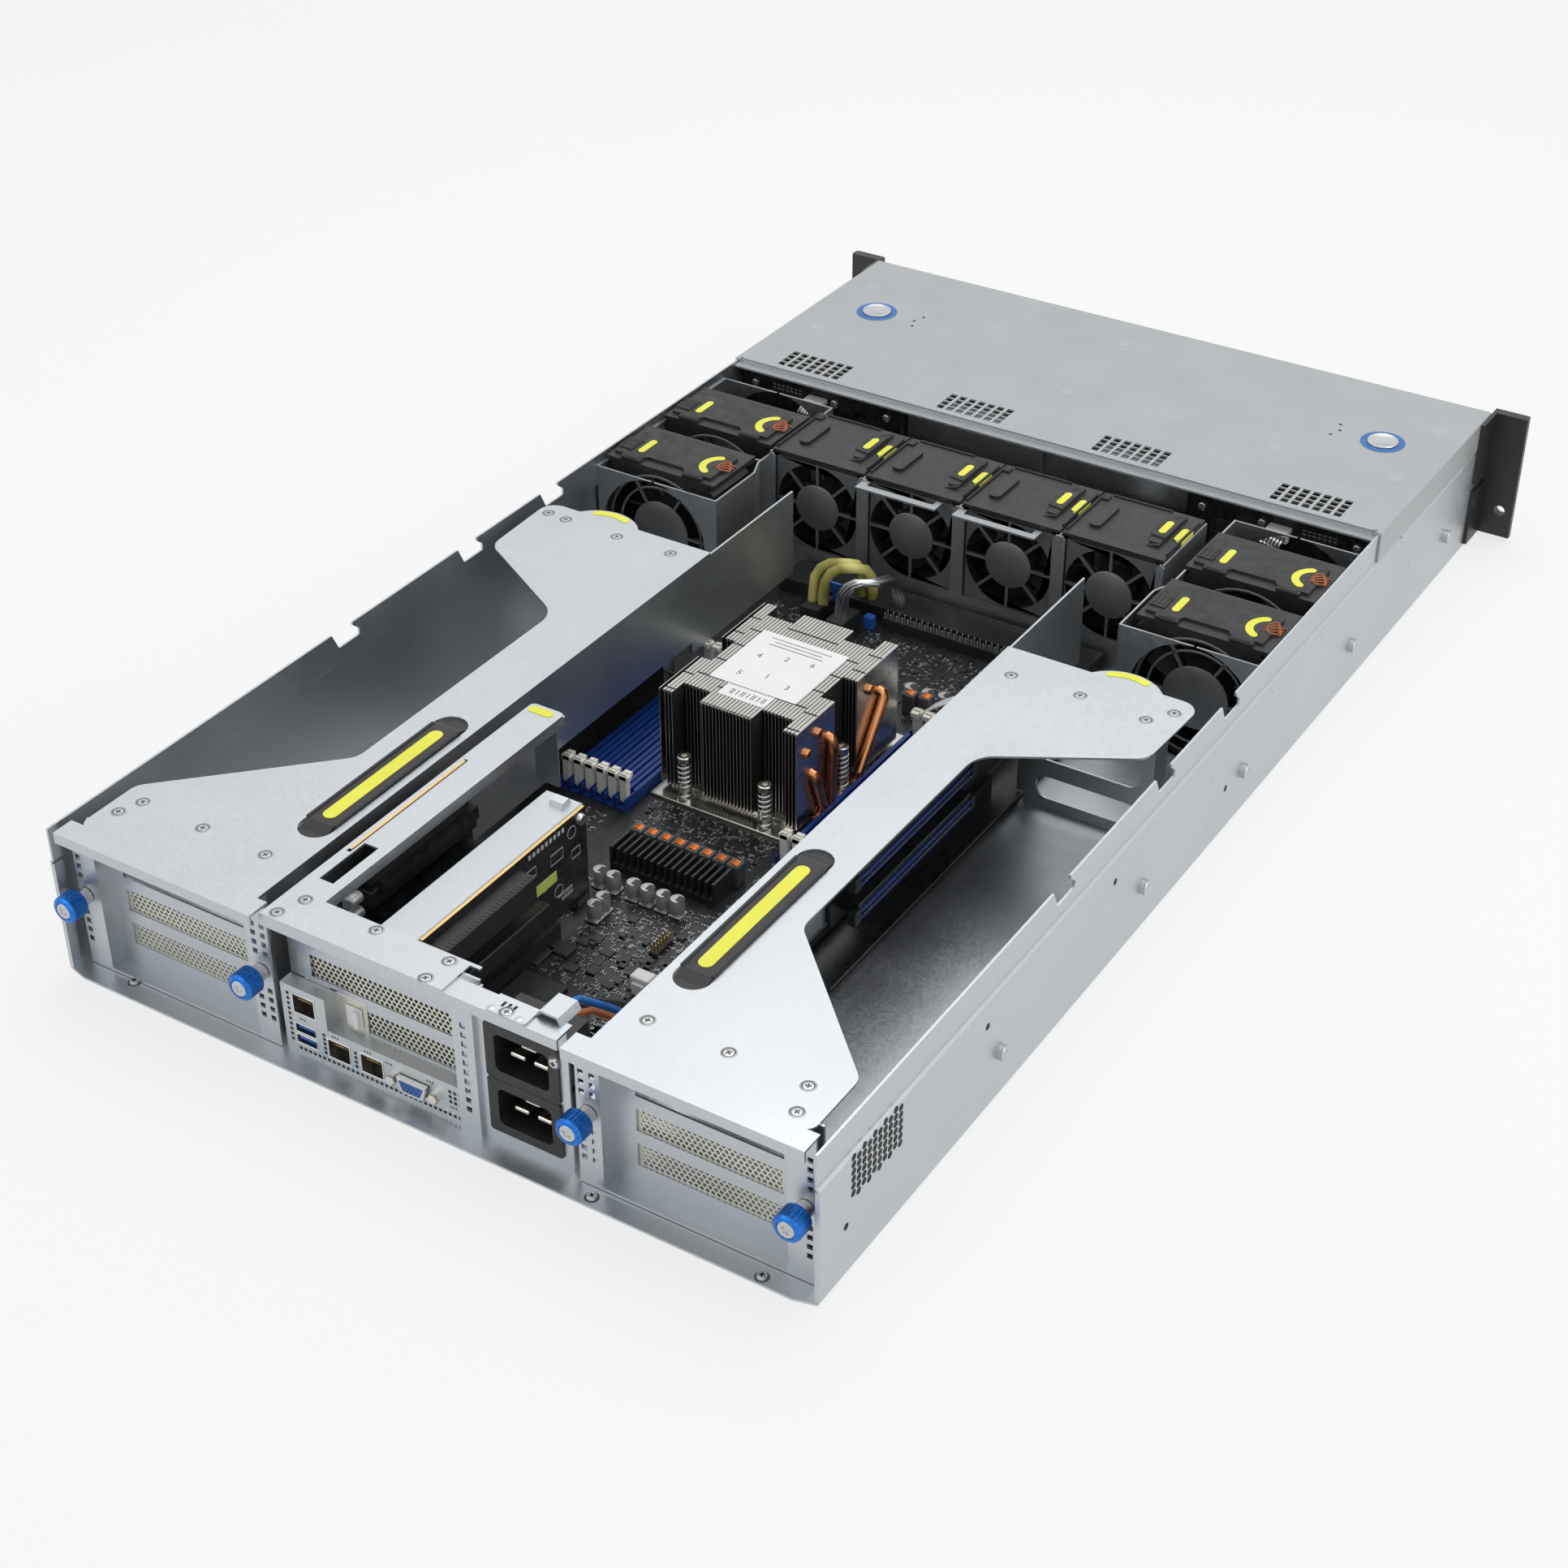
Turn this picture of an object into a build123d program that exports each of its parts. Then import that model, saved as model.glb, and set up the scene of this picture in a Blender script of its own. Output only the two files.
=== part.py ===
from build123d import *
from math import cos, radians, sin, sqrt, tan
import os

# Two-unit rack server with its rear cover off, in millimetres.
# +Z is up, the rear is at +Y, the rack ears are at -Y, and the origin is on the floor plane
# in the middle of the overall width and depth.

# Tray and front cover
body_width = 438.0
body_depth = 794.0
body_height = 87.0
rear_y = 399.0
sheet = 1.2
jog_height = 66.0
jog = 1.35
bend_radius = 2.0
floor_lip = 3.0
hem_width = 6.0
open_depth = 614.0
front_reach = 9.3
flange_bottom = 68.0
cover_lip_depth = 6.0
fit_gap = 0.3

# Hook notches and wall studs, as places along the depth
notch_places = (175.0, 65.5, -12.5)
notch_depth = 10.0
notch_length = 22.0
hook_rise = 8.0
stud_places = (236.0, 85.5, -36.5, -187.0)
front_stud_inset = 57.5
stud_height = 27.5
stud_radius = 4.0
stud_reach = 3.0

# Square vents of the front cover
vent_hole = 4.6
vent_pitch_x = 6.6
vent_pitch_y = 5.5
vent_columns = 7
vent_rows = 4
vent_inner_x = 53.3
vent_outer_x = 169.0
vent_inset = 16.5

# Release buttons
button_x = 177.0
button_offset = -17.0
button_radius = 9.5
button_ring_radius = 13.5
button_thickness = 3.2
button_flange = 1.6
button_sides = 32

# Rack ears
ear_reach = 22.3
ear_thickness = 6.3
ear_bottom = 3.5
ear_top = 86.0
ear_flange_depth = 18.0
rack_screw_reach = 14.0
rack_screw_height = 21.0
rack_hole_radius = 3.4

# Main board
board_top = 6.6
board_sheet = 1.6
board_right = -115.0
board_left = 129.0
board_front = -110.0
board_rear = 376.0
board_step_y = 216.0
board_step_right = -85.0
board_step_left = 99.0
board_notch_x = -34.0
board_notch_y = 300.0

# Processor cooler
cooler_x = 8.75
cooler_width = 85.5
cooler_front = 13.0
cooler_rear = 117.5
cooler_base_height = 4.4
cooler_base_margin = 2.7
cooler_top = 71.5
cooler_grooves = 27
cooler_groove_width = 2.1
cooler_groove_pitch = 3.0
cooler_cut_width = 18.5
cooler_cut_offset = 25.5
cooler_cut_depth = 11.0
cooler_side_cut = 23.0
spring_radius = 4.7
spring_top = 39.0
pipe_radius = 3.0

# Memory sockets
memory_per_side = 6
memory_pitch = 7.5
memory_offset = 69.4
memory_width = 6.5
memory_height = 7.4
memory_front = -2.0
memory_rear = 146.0
memory_groove = 1.5
latch_width = 4.4
latch_height = 19.0
latch_thickness = 5.0
latch_pocket = 11.0

# Regulator heatsink, chokes and capacitors
regulator_x = 1.5
regulator_width = 65.0
regulator_y = 183.0
regulator_depth = 17.0
regulator_height = 14.0
regulator_grooves = 15
choke_count = 8
choke_pitch = 8.6
choke_side = 6.5
choke_height = 5.0
choke_y = 168.0
dam_height = 9.0
plug_height = 12.0
capacitor_radius = 3.7
capacitor_height = 10.4
capacitor_places = (
    (29.5, 206.5), (21.0, 206.5), (8.5, 206.5), (-0.2, 206.5), (-9.8, 206.5), (-18.4, 206.5),
    (41.0, 216.3), (41.0, 224.0), (41.0, 231.7), (15.3, 224.0), (15.3, 231.7),
)

# Riser cages, given for the left one and mirrored
cage_top = 85.0
cage_inner = 95.0
cage_outer = 207.5
cage_waist = 131.0
cage_front = 2.0
cage_rear = 384.5
waist_front = 103.0
waist_rear = 268.0
shoulder_front = 60.0
shoulder_rear = 345.0
tab_x = 165.0
tab_y = 18.0
tab_radius = 26.0
inner_wall_bottom = 29.0
inner_wall_front = -86.0
window_height = 7.0
front_wall_y = 17.0
front_wall_outer = 191.0
strip_height = 8.0
handle_x = 109.0
handle_y = 273.0
handle_length = 122.0
handle_width = 19.0
strap_thickness = 2.2
strap_slope = 6.0
beam_top = 86.0
beam_lip = 6.0
beam_rear = 397.0
post_face = 387.5
post_inner = 88.0
post_middle = 101.0
post_outer = 212.0
post_width = 13.0
post_hole = 3.0
post_hole_pitch = 5.5
slot_face = 377.6
slot_inner = 113.0
slot_outer = 190.0
slot_bottom = 15.5
slot_height = 13.0
slot_pitch = 20.32
foot_height = 1.6

# Riser boards stand in blue slots on the main board
slot_body_width = 7.0
slot_body_height = 11.0
slot_front = 26.0
slot_rear = 161.0
slot_groove_depth = 7.0
riser_board_front = 10.0
riser_board_rear = 190.0
riser_board_top = 80.0
riser_slot_depth = 11.0
right_riser_x = 98.0
left_riser_x = 116.5

# Thumbscrews
thumb_height = 45.0
thumb_outer_x = 207.0
thumb_inner_x = 94.5
thumb_head_radius = 7.5
thumb_head_face = 404.3
thumb_head_length = 11.0
thumb_neck_radius = 4.5
thumb_shank_radius = 2.6
thumb_clearance = 0.35
thumb_collar_radius = 4.2
thumb_collar_length = 2.0

# Rear centre: port panel, inlets, post, beam
panel_y = 385.6
panel_left = 86.0
panel_right = -24.0
panel_height = 22.6
raised_width = 27.0
raised_height = 41.0
post_right = -32.0
post_left = -20.0
post_hole_count = 10
centre_beam_rear = 392.5
centre_beam_right = -83.0
jack_width = 13.6
jack_height = 11.4
jack_depth = 16.0
jack_wall = 1.0
port_height = 5.6
inlet_x = -57.5
inlet_width = 41.0
inlet_height = 32.0
inlet_bottom = 8.0
inlet_recess_width = 30.0
inlet_recess_height = 21.0
inlet_depth = 25.0
inlet_cavity_depth = 18.0
inlet_pin_length = 12.0

# Middle bracket and its slot covers
bracket_top = 86.0
bracket_right = -26.0
bracket_left = 85.7
bracket_arm = 20.5
bracket_front = 182.0
bracket_rear_depth = 22.5
bracket_leg_bottom = 39.0
cover_plane = 377.3
middle_slot_bottom = 23.7
middle_slot_right = -12.9
middle_slot_left = 72.6
middle_riser_x = 82.2
second_riser_x = 22.8
second_shelf_height = 70.6

# Fan wall with its bays
fan_wall_y = -125.0
bay_front = -182.0
bay_pitch = 65.3
bay_centre_x = 4.85
bay_top = 82.0
bay_floor = 19.2
bay_lip = 4.0
divider_flange = 8.0
cable_tab_width = 54.0
cable_tab_depth = 10.0
fan_size = 60.0
fan_depth = 38.0
fan_duct_radius = 28.2
fan_hub_radius = 14.6
fan_centre_z = 52.0
guard_depth = 3.0
guard_spokes = 8
guard_spoke_width = 1.6
rotor_gap = 0.5
blade_count = 7
blade_tip_gap = 0.7
blade_thickness = 1.3
blade_pitch_angle = 38.0
lid_thickness = 1.8

# Side fan cages
side_fan_size = 77.0
side_fan_centre_z = 41.0
side_fan_duct_radius = 36.5
side_fan_hub_radius = 19.5
side_cage_rear = -58.0
side_cage_front = -199.0
side_cage_middle = -115.0
side_wall_x = 131.0
side_step_rear = -100.5
side_step_front = -113.3
side_fan_rear_y = -66.0
side_fan_front_y = -128.0
side_guard_spokes = 6

# Front bays
bay_wall_x = 98.8
tray_rows = 3
tray_pitch = 26.8
tray_height = 25.4
tray_width = 113.0
tray_plug_room = 8.0
bezel_reach = 4.0
rail_width = 3.0
supply_width = 95.0
supply_height = 80.0
supply_plug_room = 4.0
backplane_gap = 4.0

# Internal leads
lead_radius = 2.6
thick_lead_radius = 4.2
lead_rise = 27.0
lead_run = 20.0
lead_corner_share = 0.33

half_width = body_width / 2
front_y = rear_y - body_depth
wall_inner = half_width - sheet
upper_outer = half_width - jog
upper_inner = upper_outer - sheet
wall_top = body_height - sheet
cover_rear = rear_y - open_depth
cover_depth = cover_rear - front_y
button_y = (cover_rear + front_y) / 2 + button_offset
backplane_y = cover_rear - backplane_gap
rack_screw_spacing = body_width + 2 * rack_screw_reach
wall_rear = rear_y - floor_lip
os.makedirs("parts", exist_ok=True)


def level(height):
    """Horizontal plane at a height, drawn in X and Y, extruded upwards."""
    return Plane.XY.offset(height)


def across(depth):
    """Upright plane across the body, drawn in X and Z, extruded towards the front."""
    return Plane.XZ.offset(-depth)


def along(side):
    """Upright plane along the body, drawn in Y and Z, extruded towards +X."""
    return Plane.YZ.offset(side)


def rectangle(first, second, mode=Mode.ADD):
    """Rectangle between two limits on each axis of the sketch."""
    centre = ((first[0] + first[1]) / 2, (second[0] + second[1]) / 2)
    with Locations(centre):
        Rectangle(abs(first[1] - first[0]), abs(second[1] - second[0]), mode=mode)


def polygon(*points, mode=Mode.ADD):
    """Closed outline through its corners, each written where it is in the sketch."""
    with BuildLine() as outline:
        Polyline(*points, close=True)
    make_face(outline.edges(), mode=mode)


def round_corner(x, y, radius):
    """Round the sketch corner that is nearest to a place."""
    fillet(vertices().sort_by_distance((x, y, 0))[0], radius=radius)


def slab(plane, first, second, thickness, mode=Mode.ADD):
    """Rectangular plate on a plane."""
    with BuildSketch(plane) as profile:
        rectangle(first, second)
    extrude(profile.sketch, amount=thickness, mode=mode)


def save(part, name):
    """Name a finished piece and write it."""
    part.label = name
    export_step(part, "parts/" + name + ".step")


def mirrored(part):
    """The same piece for the other side."""
    return mirror(part, about=Plane.YZ)


# Chassis tray: floor and walls from one bent section
with BuildPart() as chassis_tray:
    with BuildSketch(across(rear_y)):
        with BuildLine():
            Polyline(
                (0, 0),
                (half_width, 0),
                (half_width, jog_height),
                (upper_outer, jog_height + jog),
                (upper_outer, wall_top),
                (upper_inner, wall_top),
                (upper_inner, jog_height + jog - sheet / 2),
                (wall_inner, jog_height - sheet / 2),
                (wall_inner, sheet),
                (0, sheet),
            )
            mirror(about=Plane.YZ)
        make_face()
        fillet(vertices().filter_by_position(Axis.Y, -0.1, 0.1).filter_by(lambda v: abs(v.X) > 1), bend_radius)
    extrude(amount=body_depth)
    slab(along(-half_width), (wall_rear, rear_y), (sheet, wall_top), body_width, Mode.SUBTRACT)
    with BuildSketch(level(0)):
        corner_cut = 4 * floor_lip
        polygon((half_width, rear_y), (half_width - corner_cut, rear_y), (half_width, wall_rear))
        mirror(about=Plane.YZ)
    extrude(amount=sheet, mode=Mode.SUBTRACT)
    # Rear edge of each wall folded flat onto its inside
    with BuildSketch(across(wall_rear)):
        rectangle((wall_inner - sheet, wall_inner), (sheet, jog_height - sheet))
        mirror(about=Plane.YZ)
    extrude(amount=hem_width)
    # Hook notches in the upper strip of both walls
    with BuildSketch(along(-half_width)):
        for place in notch_places:
            bottom = wall_top - notch_depth
            rear_edge = place + notch_length / 2
            front_edge = place - notch_length / 2
            polygon(
                (rear_edge, wall_top),
                (rear_edge - sheet * 4, bottom),
                (front_edge, bottom),
                (front_edge, bottom + hook_rise / 2),
                (front_edge + sheet * 4, bottom + hook_rise),
                (front_edge + sheet * 4, wall_top),
            )
    extrude(amount=body_width, mode=Mode.SUBTRACT)
    # Studs that hang the body in its rack rails
    with BuildSketch(along(-half_width - stud_reach)):
        with Locations(*[(place, stud_height) for place in (*stud_places, front_y + front_stud_inset)]):
            Circle(stud_radius)
    extrude(amount=stud_reach)
    with BuildSketch(along(half_width)):
        with Locations(*[(place, stud_height) for place in (*stud_places, front_y + front_stud_inset)]):
            Circle(stud_radius)
    extrude(amount=stud_reach)
save(chassis_tray.part, "chassis_tray")

# Front cover with square vents, a hemmed rear edge and two button holes
with BuildPart() as front_cover:
    with BuildSketch(across(cover_rear)):
        with BuildLine():
            Polyline(
                (0, body_height),
                (half_width, body_height),
                (half_width, flange_bottom),
                (half_width - sheet, flange_bottom),
                (half_width - sheet, wall_top),
                (0, wall_top),
            )
            mirror(about=Plane.YZ)
        make_face()
        fillet(vertices().filter_by_position(Axis.Y, body_height - 0.1, body_height + 0.1).filter_by(
            lambda v: abs(v.X) > 1), bend_radius / 2)
    extrude(amount=cover_depth)
    # Hemmed ridge and the lower lip that the rear cover slides over
    ridge_half = half_width - 2 * bend_radius
    slab(across(cover_rear), (-ridge_half, ridge_half), (body_height, body_height + sheet), 3 * sheet)
    with BuildSketch(along(-upper_inner + fit_gap)):
        polygon(
            (cover_rear, body_height),
            (cover_rear, wall_top - sheet),
            (cover_rear + cover_lip_depth, wall_top - sheet),
            (cover_rear + cover_lip_depth, wall_top - 2 * sheet),
            (cover_rear - sheet, wall_top - 2 * sheet),
            (cover_rear - sheet, body_height),
        )
    extrude(amount=2 * (upper_inner - fit_gap))
    with BuildSketch(level(wall_top)):
        for centre in (-vent_outer_x, -vent_inner_x, vent_inner_x, vent_outer_x):
            with Locations((centre, cover_rear - vent_inset)):
                with GridLocations(vent_pitch_x, vent_pitch_y, vent_columns, vent_rows):
                    Rectangle(vent_hole, vent_hole)
        with Locations((button_x, button_y), (-button_x, button_y)):
            RegularPolygon(button_radius + fit_gap, button_sides, major_radius=False)
    extrude(amount=sheet, mode=Mode.SUBTRACT)
    # Printed rings round the buttons stand a little proud
    with BuildSketch(level(body_height)):
        with Locations((button_x, button_y), (-button_x, button_y)):
            RegularPolygon(button_ring_radius, button_sides)
            RegularPolygon(button_radius + fit_gap, button_sides, major_radius=False, mode=Mode.SUBTRACT)
    extrude(amount=sheet / 4)
save(front_cover.part, "front_cover")

# Release buttons, each with a flange under the cover
with BuildPart() as cover_button_left:
    with BuildSketch(level(wall_top - fit_gap - button_flange)):
        with Locations((button_x, button_y)):
            RegularPolygon(button_ring_radius - sheet, button_sides)
    extrude(amount=button_flange)
    with BuildSketch(level(wall_top - fit_gap)):
        with Locations((button_x, button_y)):
            RegularPolygon(button_radius, button_sides, major_radius=False)
    extrude(amount=button_thickness)
save(cover_button_left.part, "cover_button_left")
save(mirrored(cover_button_left.part), "cover_button_right")

# Rack ears: a flange on the wall and a plate that stands out, with a hole for the rack screw
with BuildPart() as rack_ears:
    ear_face = front_y - front_reach
    with BuildSketch(level(ear_bottom)):
        polygon(
            (half_width, ear_face),
            (half_width + ear_reach, ear_face),
            (half_width + ear_reach, ear_face + ear_thickness),
            (half_width + 2 * sheet, ear_face + ear_thickness),
            (half_width + 2 * sheet, front_y + ear_flange_depth),
            (half_width, front_y + ear_flange_depth),
        )
        round_corner(half_width + ear_reach, ear_face, 2 * sheet)
    extrude(amount=ear_top - ear_bottom)
    with BuildSketch(across(ear_face + ear_thickness)):
        with Locations((rack_screw_spacing / 2, rack_screw_height)):
            Circle(rack_hole_radius)
    extrude(amount=ear_thickness, mode=Mode.SUBTRACT)
    with BuildSketch(along(half_width)):
        rectangle((front_y, front_y + ear_flange_depth), (ear_top / 2 - 2 * sheet, ear_top / 2 + 2 * sheet))
    extrude(amount=2 * sheet, mode=Mode.SUBTRACT)
    mirror(about=Plane.YZ)
save(rack_ears.part, "rack_ears")

# Main board on standoffs, stepped in behind the riser cages
with BuildPart() as motherboard:
    with BuildSketch(level(board_top - board_sheet)):
        polygon(
            (board_right, board_front),
            (board_left, board_front),
            (board_left, board_step_y),
            (board_step_left, board_step_y),
            (board_step_left, board_rear),
            (board_notch_x, board_rear),
            (board_notch_x, board_notch_y),
            (board_step_right, board_notch_y),
            (board_step_right, board_step_y),
            (board_right, board_step_y),
        )
    extrude(amount=board_sheet)
    with BuildSketch(level(sheet)):
        standoffs = [(x, y) for x in (board_right + 7, 9, board_step_left - 7) for y in (-70, 70, 200)]
        with Locations(*standoffs):
            RegularPolygon(3, 6)
    extrude(amount=board_top - board_sheet - sheet)
save(motherboard.part, "motherboard")

# Processor cooler: base plate, six spring screws and three heat pipes that climb the right side
cooler_left = cooler_x + cooler_width / 2
cooler_right = cooler_x - cooler_width / 2
cooler_middle = (cooler_front + cooler_rear) / 2
base_front = cooler_front - 3 * cooler_base_margin
base_rear = cooler_rear + 3 * cooler_base_margin
spring_places = [
    (cooler_x + side * cooler_cut_offset, y)
    for side in (-1, 1)
    for y in (base_front + spring_radius, base_rear - spring_radius)
]
spring_places.append((cooler_right - cooler_base_margin + spring_radius, cooler_middle + 3))
spring_places.append((cooler_left + cooler_base_margin - spring_radius, cooler_middle + 3))
with BuildPart() as heatsink_base:
    with BuildSketch(level(board_top)):
        rectangle(
            (cooler_right - cooler_base_margin, cooler_left + cooler_base_margin),
            (base_front, base_rear),
        )
    extrude(amount=cooler_base_height)
    with BuildSketch(level(board_top + cooler_base_height)):
        with Locations(*spring_places):
            RegularPolygon(spring_radius, 12)
    extrude(amount=spring_top - board_top - cooler_base_height)
    pipe_x = cooler_right - pipe_radius - fit_gap / 3
    pipe_ends = ((32.9, 58.0, 53.8, 15.8), (86.2, 88.0, 53.8, 15.8), (103.0, 96.0, 40.0, 15.8))
    for top_y, low_y, top_z, low_z in pipe_ends:
        with BuildSketch(Plane(origin=(pipe_x, low_y, low_z), z_dir=(0, top_y - low_y, top_z - low_z))):
            RegularPolygon(pipe_radius, 8)
        extrude(amount=((top_y - low_y) ** 2 + (top_z - low_z) ** 2) ** 0.5)
    foot_z = board_top + cooler_base_height
    slab(level(foot_z), (cooler_right - cooler_base_margin, cooler_right), (54.0, 100.0), 2 * pipe_radius)
save(heatsink_base.part, "heatsink_base")

# Fin stack, cut back over the spring screws
with BuildPart() as heatsink_fins:
    fins_bottom = board_top + cooler_base_height
    with BuildSketch(level(fins_bottom)):
        rectangle((cooler_right, cooler_left), (cooler_front, cooler_rear))
        for side in (-1, 1):
            cut_centre = cooler_x + side * cooler_cut_offset
            cut_limits = (cut_centre - cooler_cut_width / 2, cut_centre + cooler_cut_width / 2)
            rectangle(cut_limits, (cooler_front, cooler_front + cooler_cut_depth), mode=Mode.SUBTRACT)
            rectangle(cut_limits, (cooler_rear - cooler_cut_depth, cooler_rear), mode=Mode.SUBTRACT)
            edge = cooler_x + side * cooler_width / 2
            side_limits = (cooler_middle + 3 - cooler_side_cut / 2, cooler_middle + 3 + cooler_side_cut / 2)
            rectangle((edge, edge - side * cooler_cut_depth), side_limits, mode=Mode.SUBTRACT)
    extrude(amount=cooler_top - fins_bottom)
    with BuildSketch(across(cooler_rear)):
        with Locations((cooler_x, (fins_bottom + 2 * sheet + cooler_top) / 2)):
            with GridLocations(cooler_groove_pitch, 1, cooler_grooves, 1):
                Rectangle(cooler_groove_width, cooler_top - fins_bottom - 2 * sheet)
    extrude(amount=cooler_rear - cooler_front, mode=Mode.SUBTRACT)
save(heatsink_fins.part, "heatsink_fins")

# Memory sockets in two banks, each socket with a groove and a pocket for its latches
memory_places = [
    cooler_x + side * (memory_offset + (index - (memory_per_side - 1) / 2) * memory_pitch)
    for side in (-1, 1)
    for index in range(memory_per_side)
]
with BuildPart() as dimm_slots:
    with BuildSketch(level(board_top)):
        for place in memory_places:
            with Locations((place, (memory_front + memory_rear) / 2)):
                Rectangle(memory_width, memory_rear - memory_front)
    extrude(amount=memory_height)
    with BuildSketch(level(board_top + 1)):
        for place in memory_places:
            with Locations((place, (memory_front + memory_rear) / 2)):
                Rectangle(memory_groove, memory_rear - memory_front)
            for end in (memory_front, memory_rear - latch_pocket):
                rectangle(
                    (place - latch_width / 2 - fit_gap, place + latch_width / 2 + fit_gap),
                    (end, end + latch_pocket),
                )
    extrude(amount=memory_height - 1, mode=Mode.SUBTRACT)
save(dimm_slots.part, "dimm_slots")

# Latches of one row turn about one line across both banks
latch_foot = board_top + 1 + fit_gap + latch_thickness / 3
latch_rear_y = memory_rear - latch_pocket / 2
latch_front_y = memory_front + latch_pocket / 2


def latch_row(pivot_y, outward):
    """Twelve latches whose hooked tops lean over the module."""
    half = latch_thickness / 2
    bottom = latch_foot - latch_thickness / 3
    with BuildPart() as row:
        with BuildSketch(along(0)):
            polygon(
                (pivot_y - outward * half * 0.3, bottom),
                (pivot_y + outward * half * 0.3, bottom),
                (pivot_y + outward * half, bottom + half),
                (pivot_y + outward * half, bottom + latch_height),
                (pivot_y - outward * half * 1.6, bottom + latch_height),
                (pivot_y - outward * half * 1.6, bottom + latch_height - half),
                (pivot_y - outward * half * 0.4, bottom + latch_height - 2 * half),
                (pivot_y - outward * half * 0.4, bottom + 3 * half),
            )
        extrude(amount=latch_width / 2, both=True)
    with BuildPart() as latches:
        with Locations(*[(place, 0, 0) for place in memory_places]):
            add(row.part)
    return latches.part


save(latch_row(latch_rear_y, 1), "dimm_latches_rear")
save(latch_row(latch_front_y, -1), "dimm_latches_front")

# Parts soldered to the board: regulator heatsink, chokes, capacitors, chips, headers and slots
left_slot_x = left_riser_x
right_slot_x = -right_riser_x
with BuildPart() as board_parts:
    # Regulator heatsink, a comb of thin fins
    with BuildSketch(level(board_top)):
        with Locations((regulator_x, regulator_y)):
            Rectangle(regulator_width, regulator_depth)
    extrude(amount=regulator_height)
    with BuildSketch(level(board_top + 3 * sheet)):
        with Locations((regulator_x, regulator_y)):
            with GridLocations(regulator_width / (regulator_grooves + 0.5), 1, regulator_grooves, 1):
                Rectangle(regulator_width / (regulator_grooves + 0.5) * 0.7, regulator_depth)
    extrude(amount=regulator_height, mode=Mode.SUBTRACT)
    with BuildSketch(level(board_top)):
        with Locations((regulator_x, choke_y)):
            with GridLocations(choke_pitch, 1, choke_count, 1):
                Rectangle(choke_side, choke_side)
        with Locations((32.5, 225)):
            Rectangle(11, 11)
        with Locations((31.4, 295.5), (31.4, 304.9)):
            Rectangle(6, 5)
    extrude(amount=choke_height)
    with BuildSketch(level(board_top)):
        with Locations(*capacitor_places):
            RegularPolygon(capacitor_radius, 12)
    extrude(amount=capacitor_height)
    with BuildSketch(level(board_top)):
        with Locations((5.5, 296.5)):
            Rectangle(25, 21)
        with Locations((24.0, 272.0)):
            Rectangle(15, 15)
        with Locations((14.0, 262.0)):
            Rectangle(12, 9)
    extrude(amount=2 * sheet)
    # Air dam in front of the fan wall, header row and the plugs of the sleeved cables
    slab(level(board_top), (board_right + 20, board_left - 17), (board_front - 12, board_front + 12), dam_height)
    slab(level(board_top), (-62, 36), (board_front + 13, board_front + 19), dam_height - 2)
    slab(level(board_top), (68, 80), (-90, -70), plug_height)
    slab(level(board_top), (47, 59), (-84, -64), plug_height)
    # Slots for the riser boards
    with BuildSketch(level(board_top)):
        for slot_x in (left_slot_x, right_slot_x):
            with Locations((slot_x, (slot_front + slot_rear) / 2)):
                Rectangle(slot_body_width, slot_rear - slot_front)
        with Locations((middle_riser_x, 287), (second_riser_x - 0.2, 300)):
            Rectangle(slot_body_width, 90)
    extrude(amount=slot_body_height)
    with BuildSketch(level(board_top + slot_body_height - slot_groove_depth)):
        for slot_x in (left_slot_x, right_slot_x):
            with Locations((slot_x, (slot_front + slot_rear) / 2)):
                Rectangle(board_sheet + 2 * fit_gap, slot_rear - slot_front)
    extrude(amount=slot_groove_depth, mode=Mode.SUBTRACT)
save(board_parts.part, "board_parts")


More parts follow.
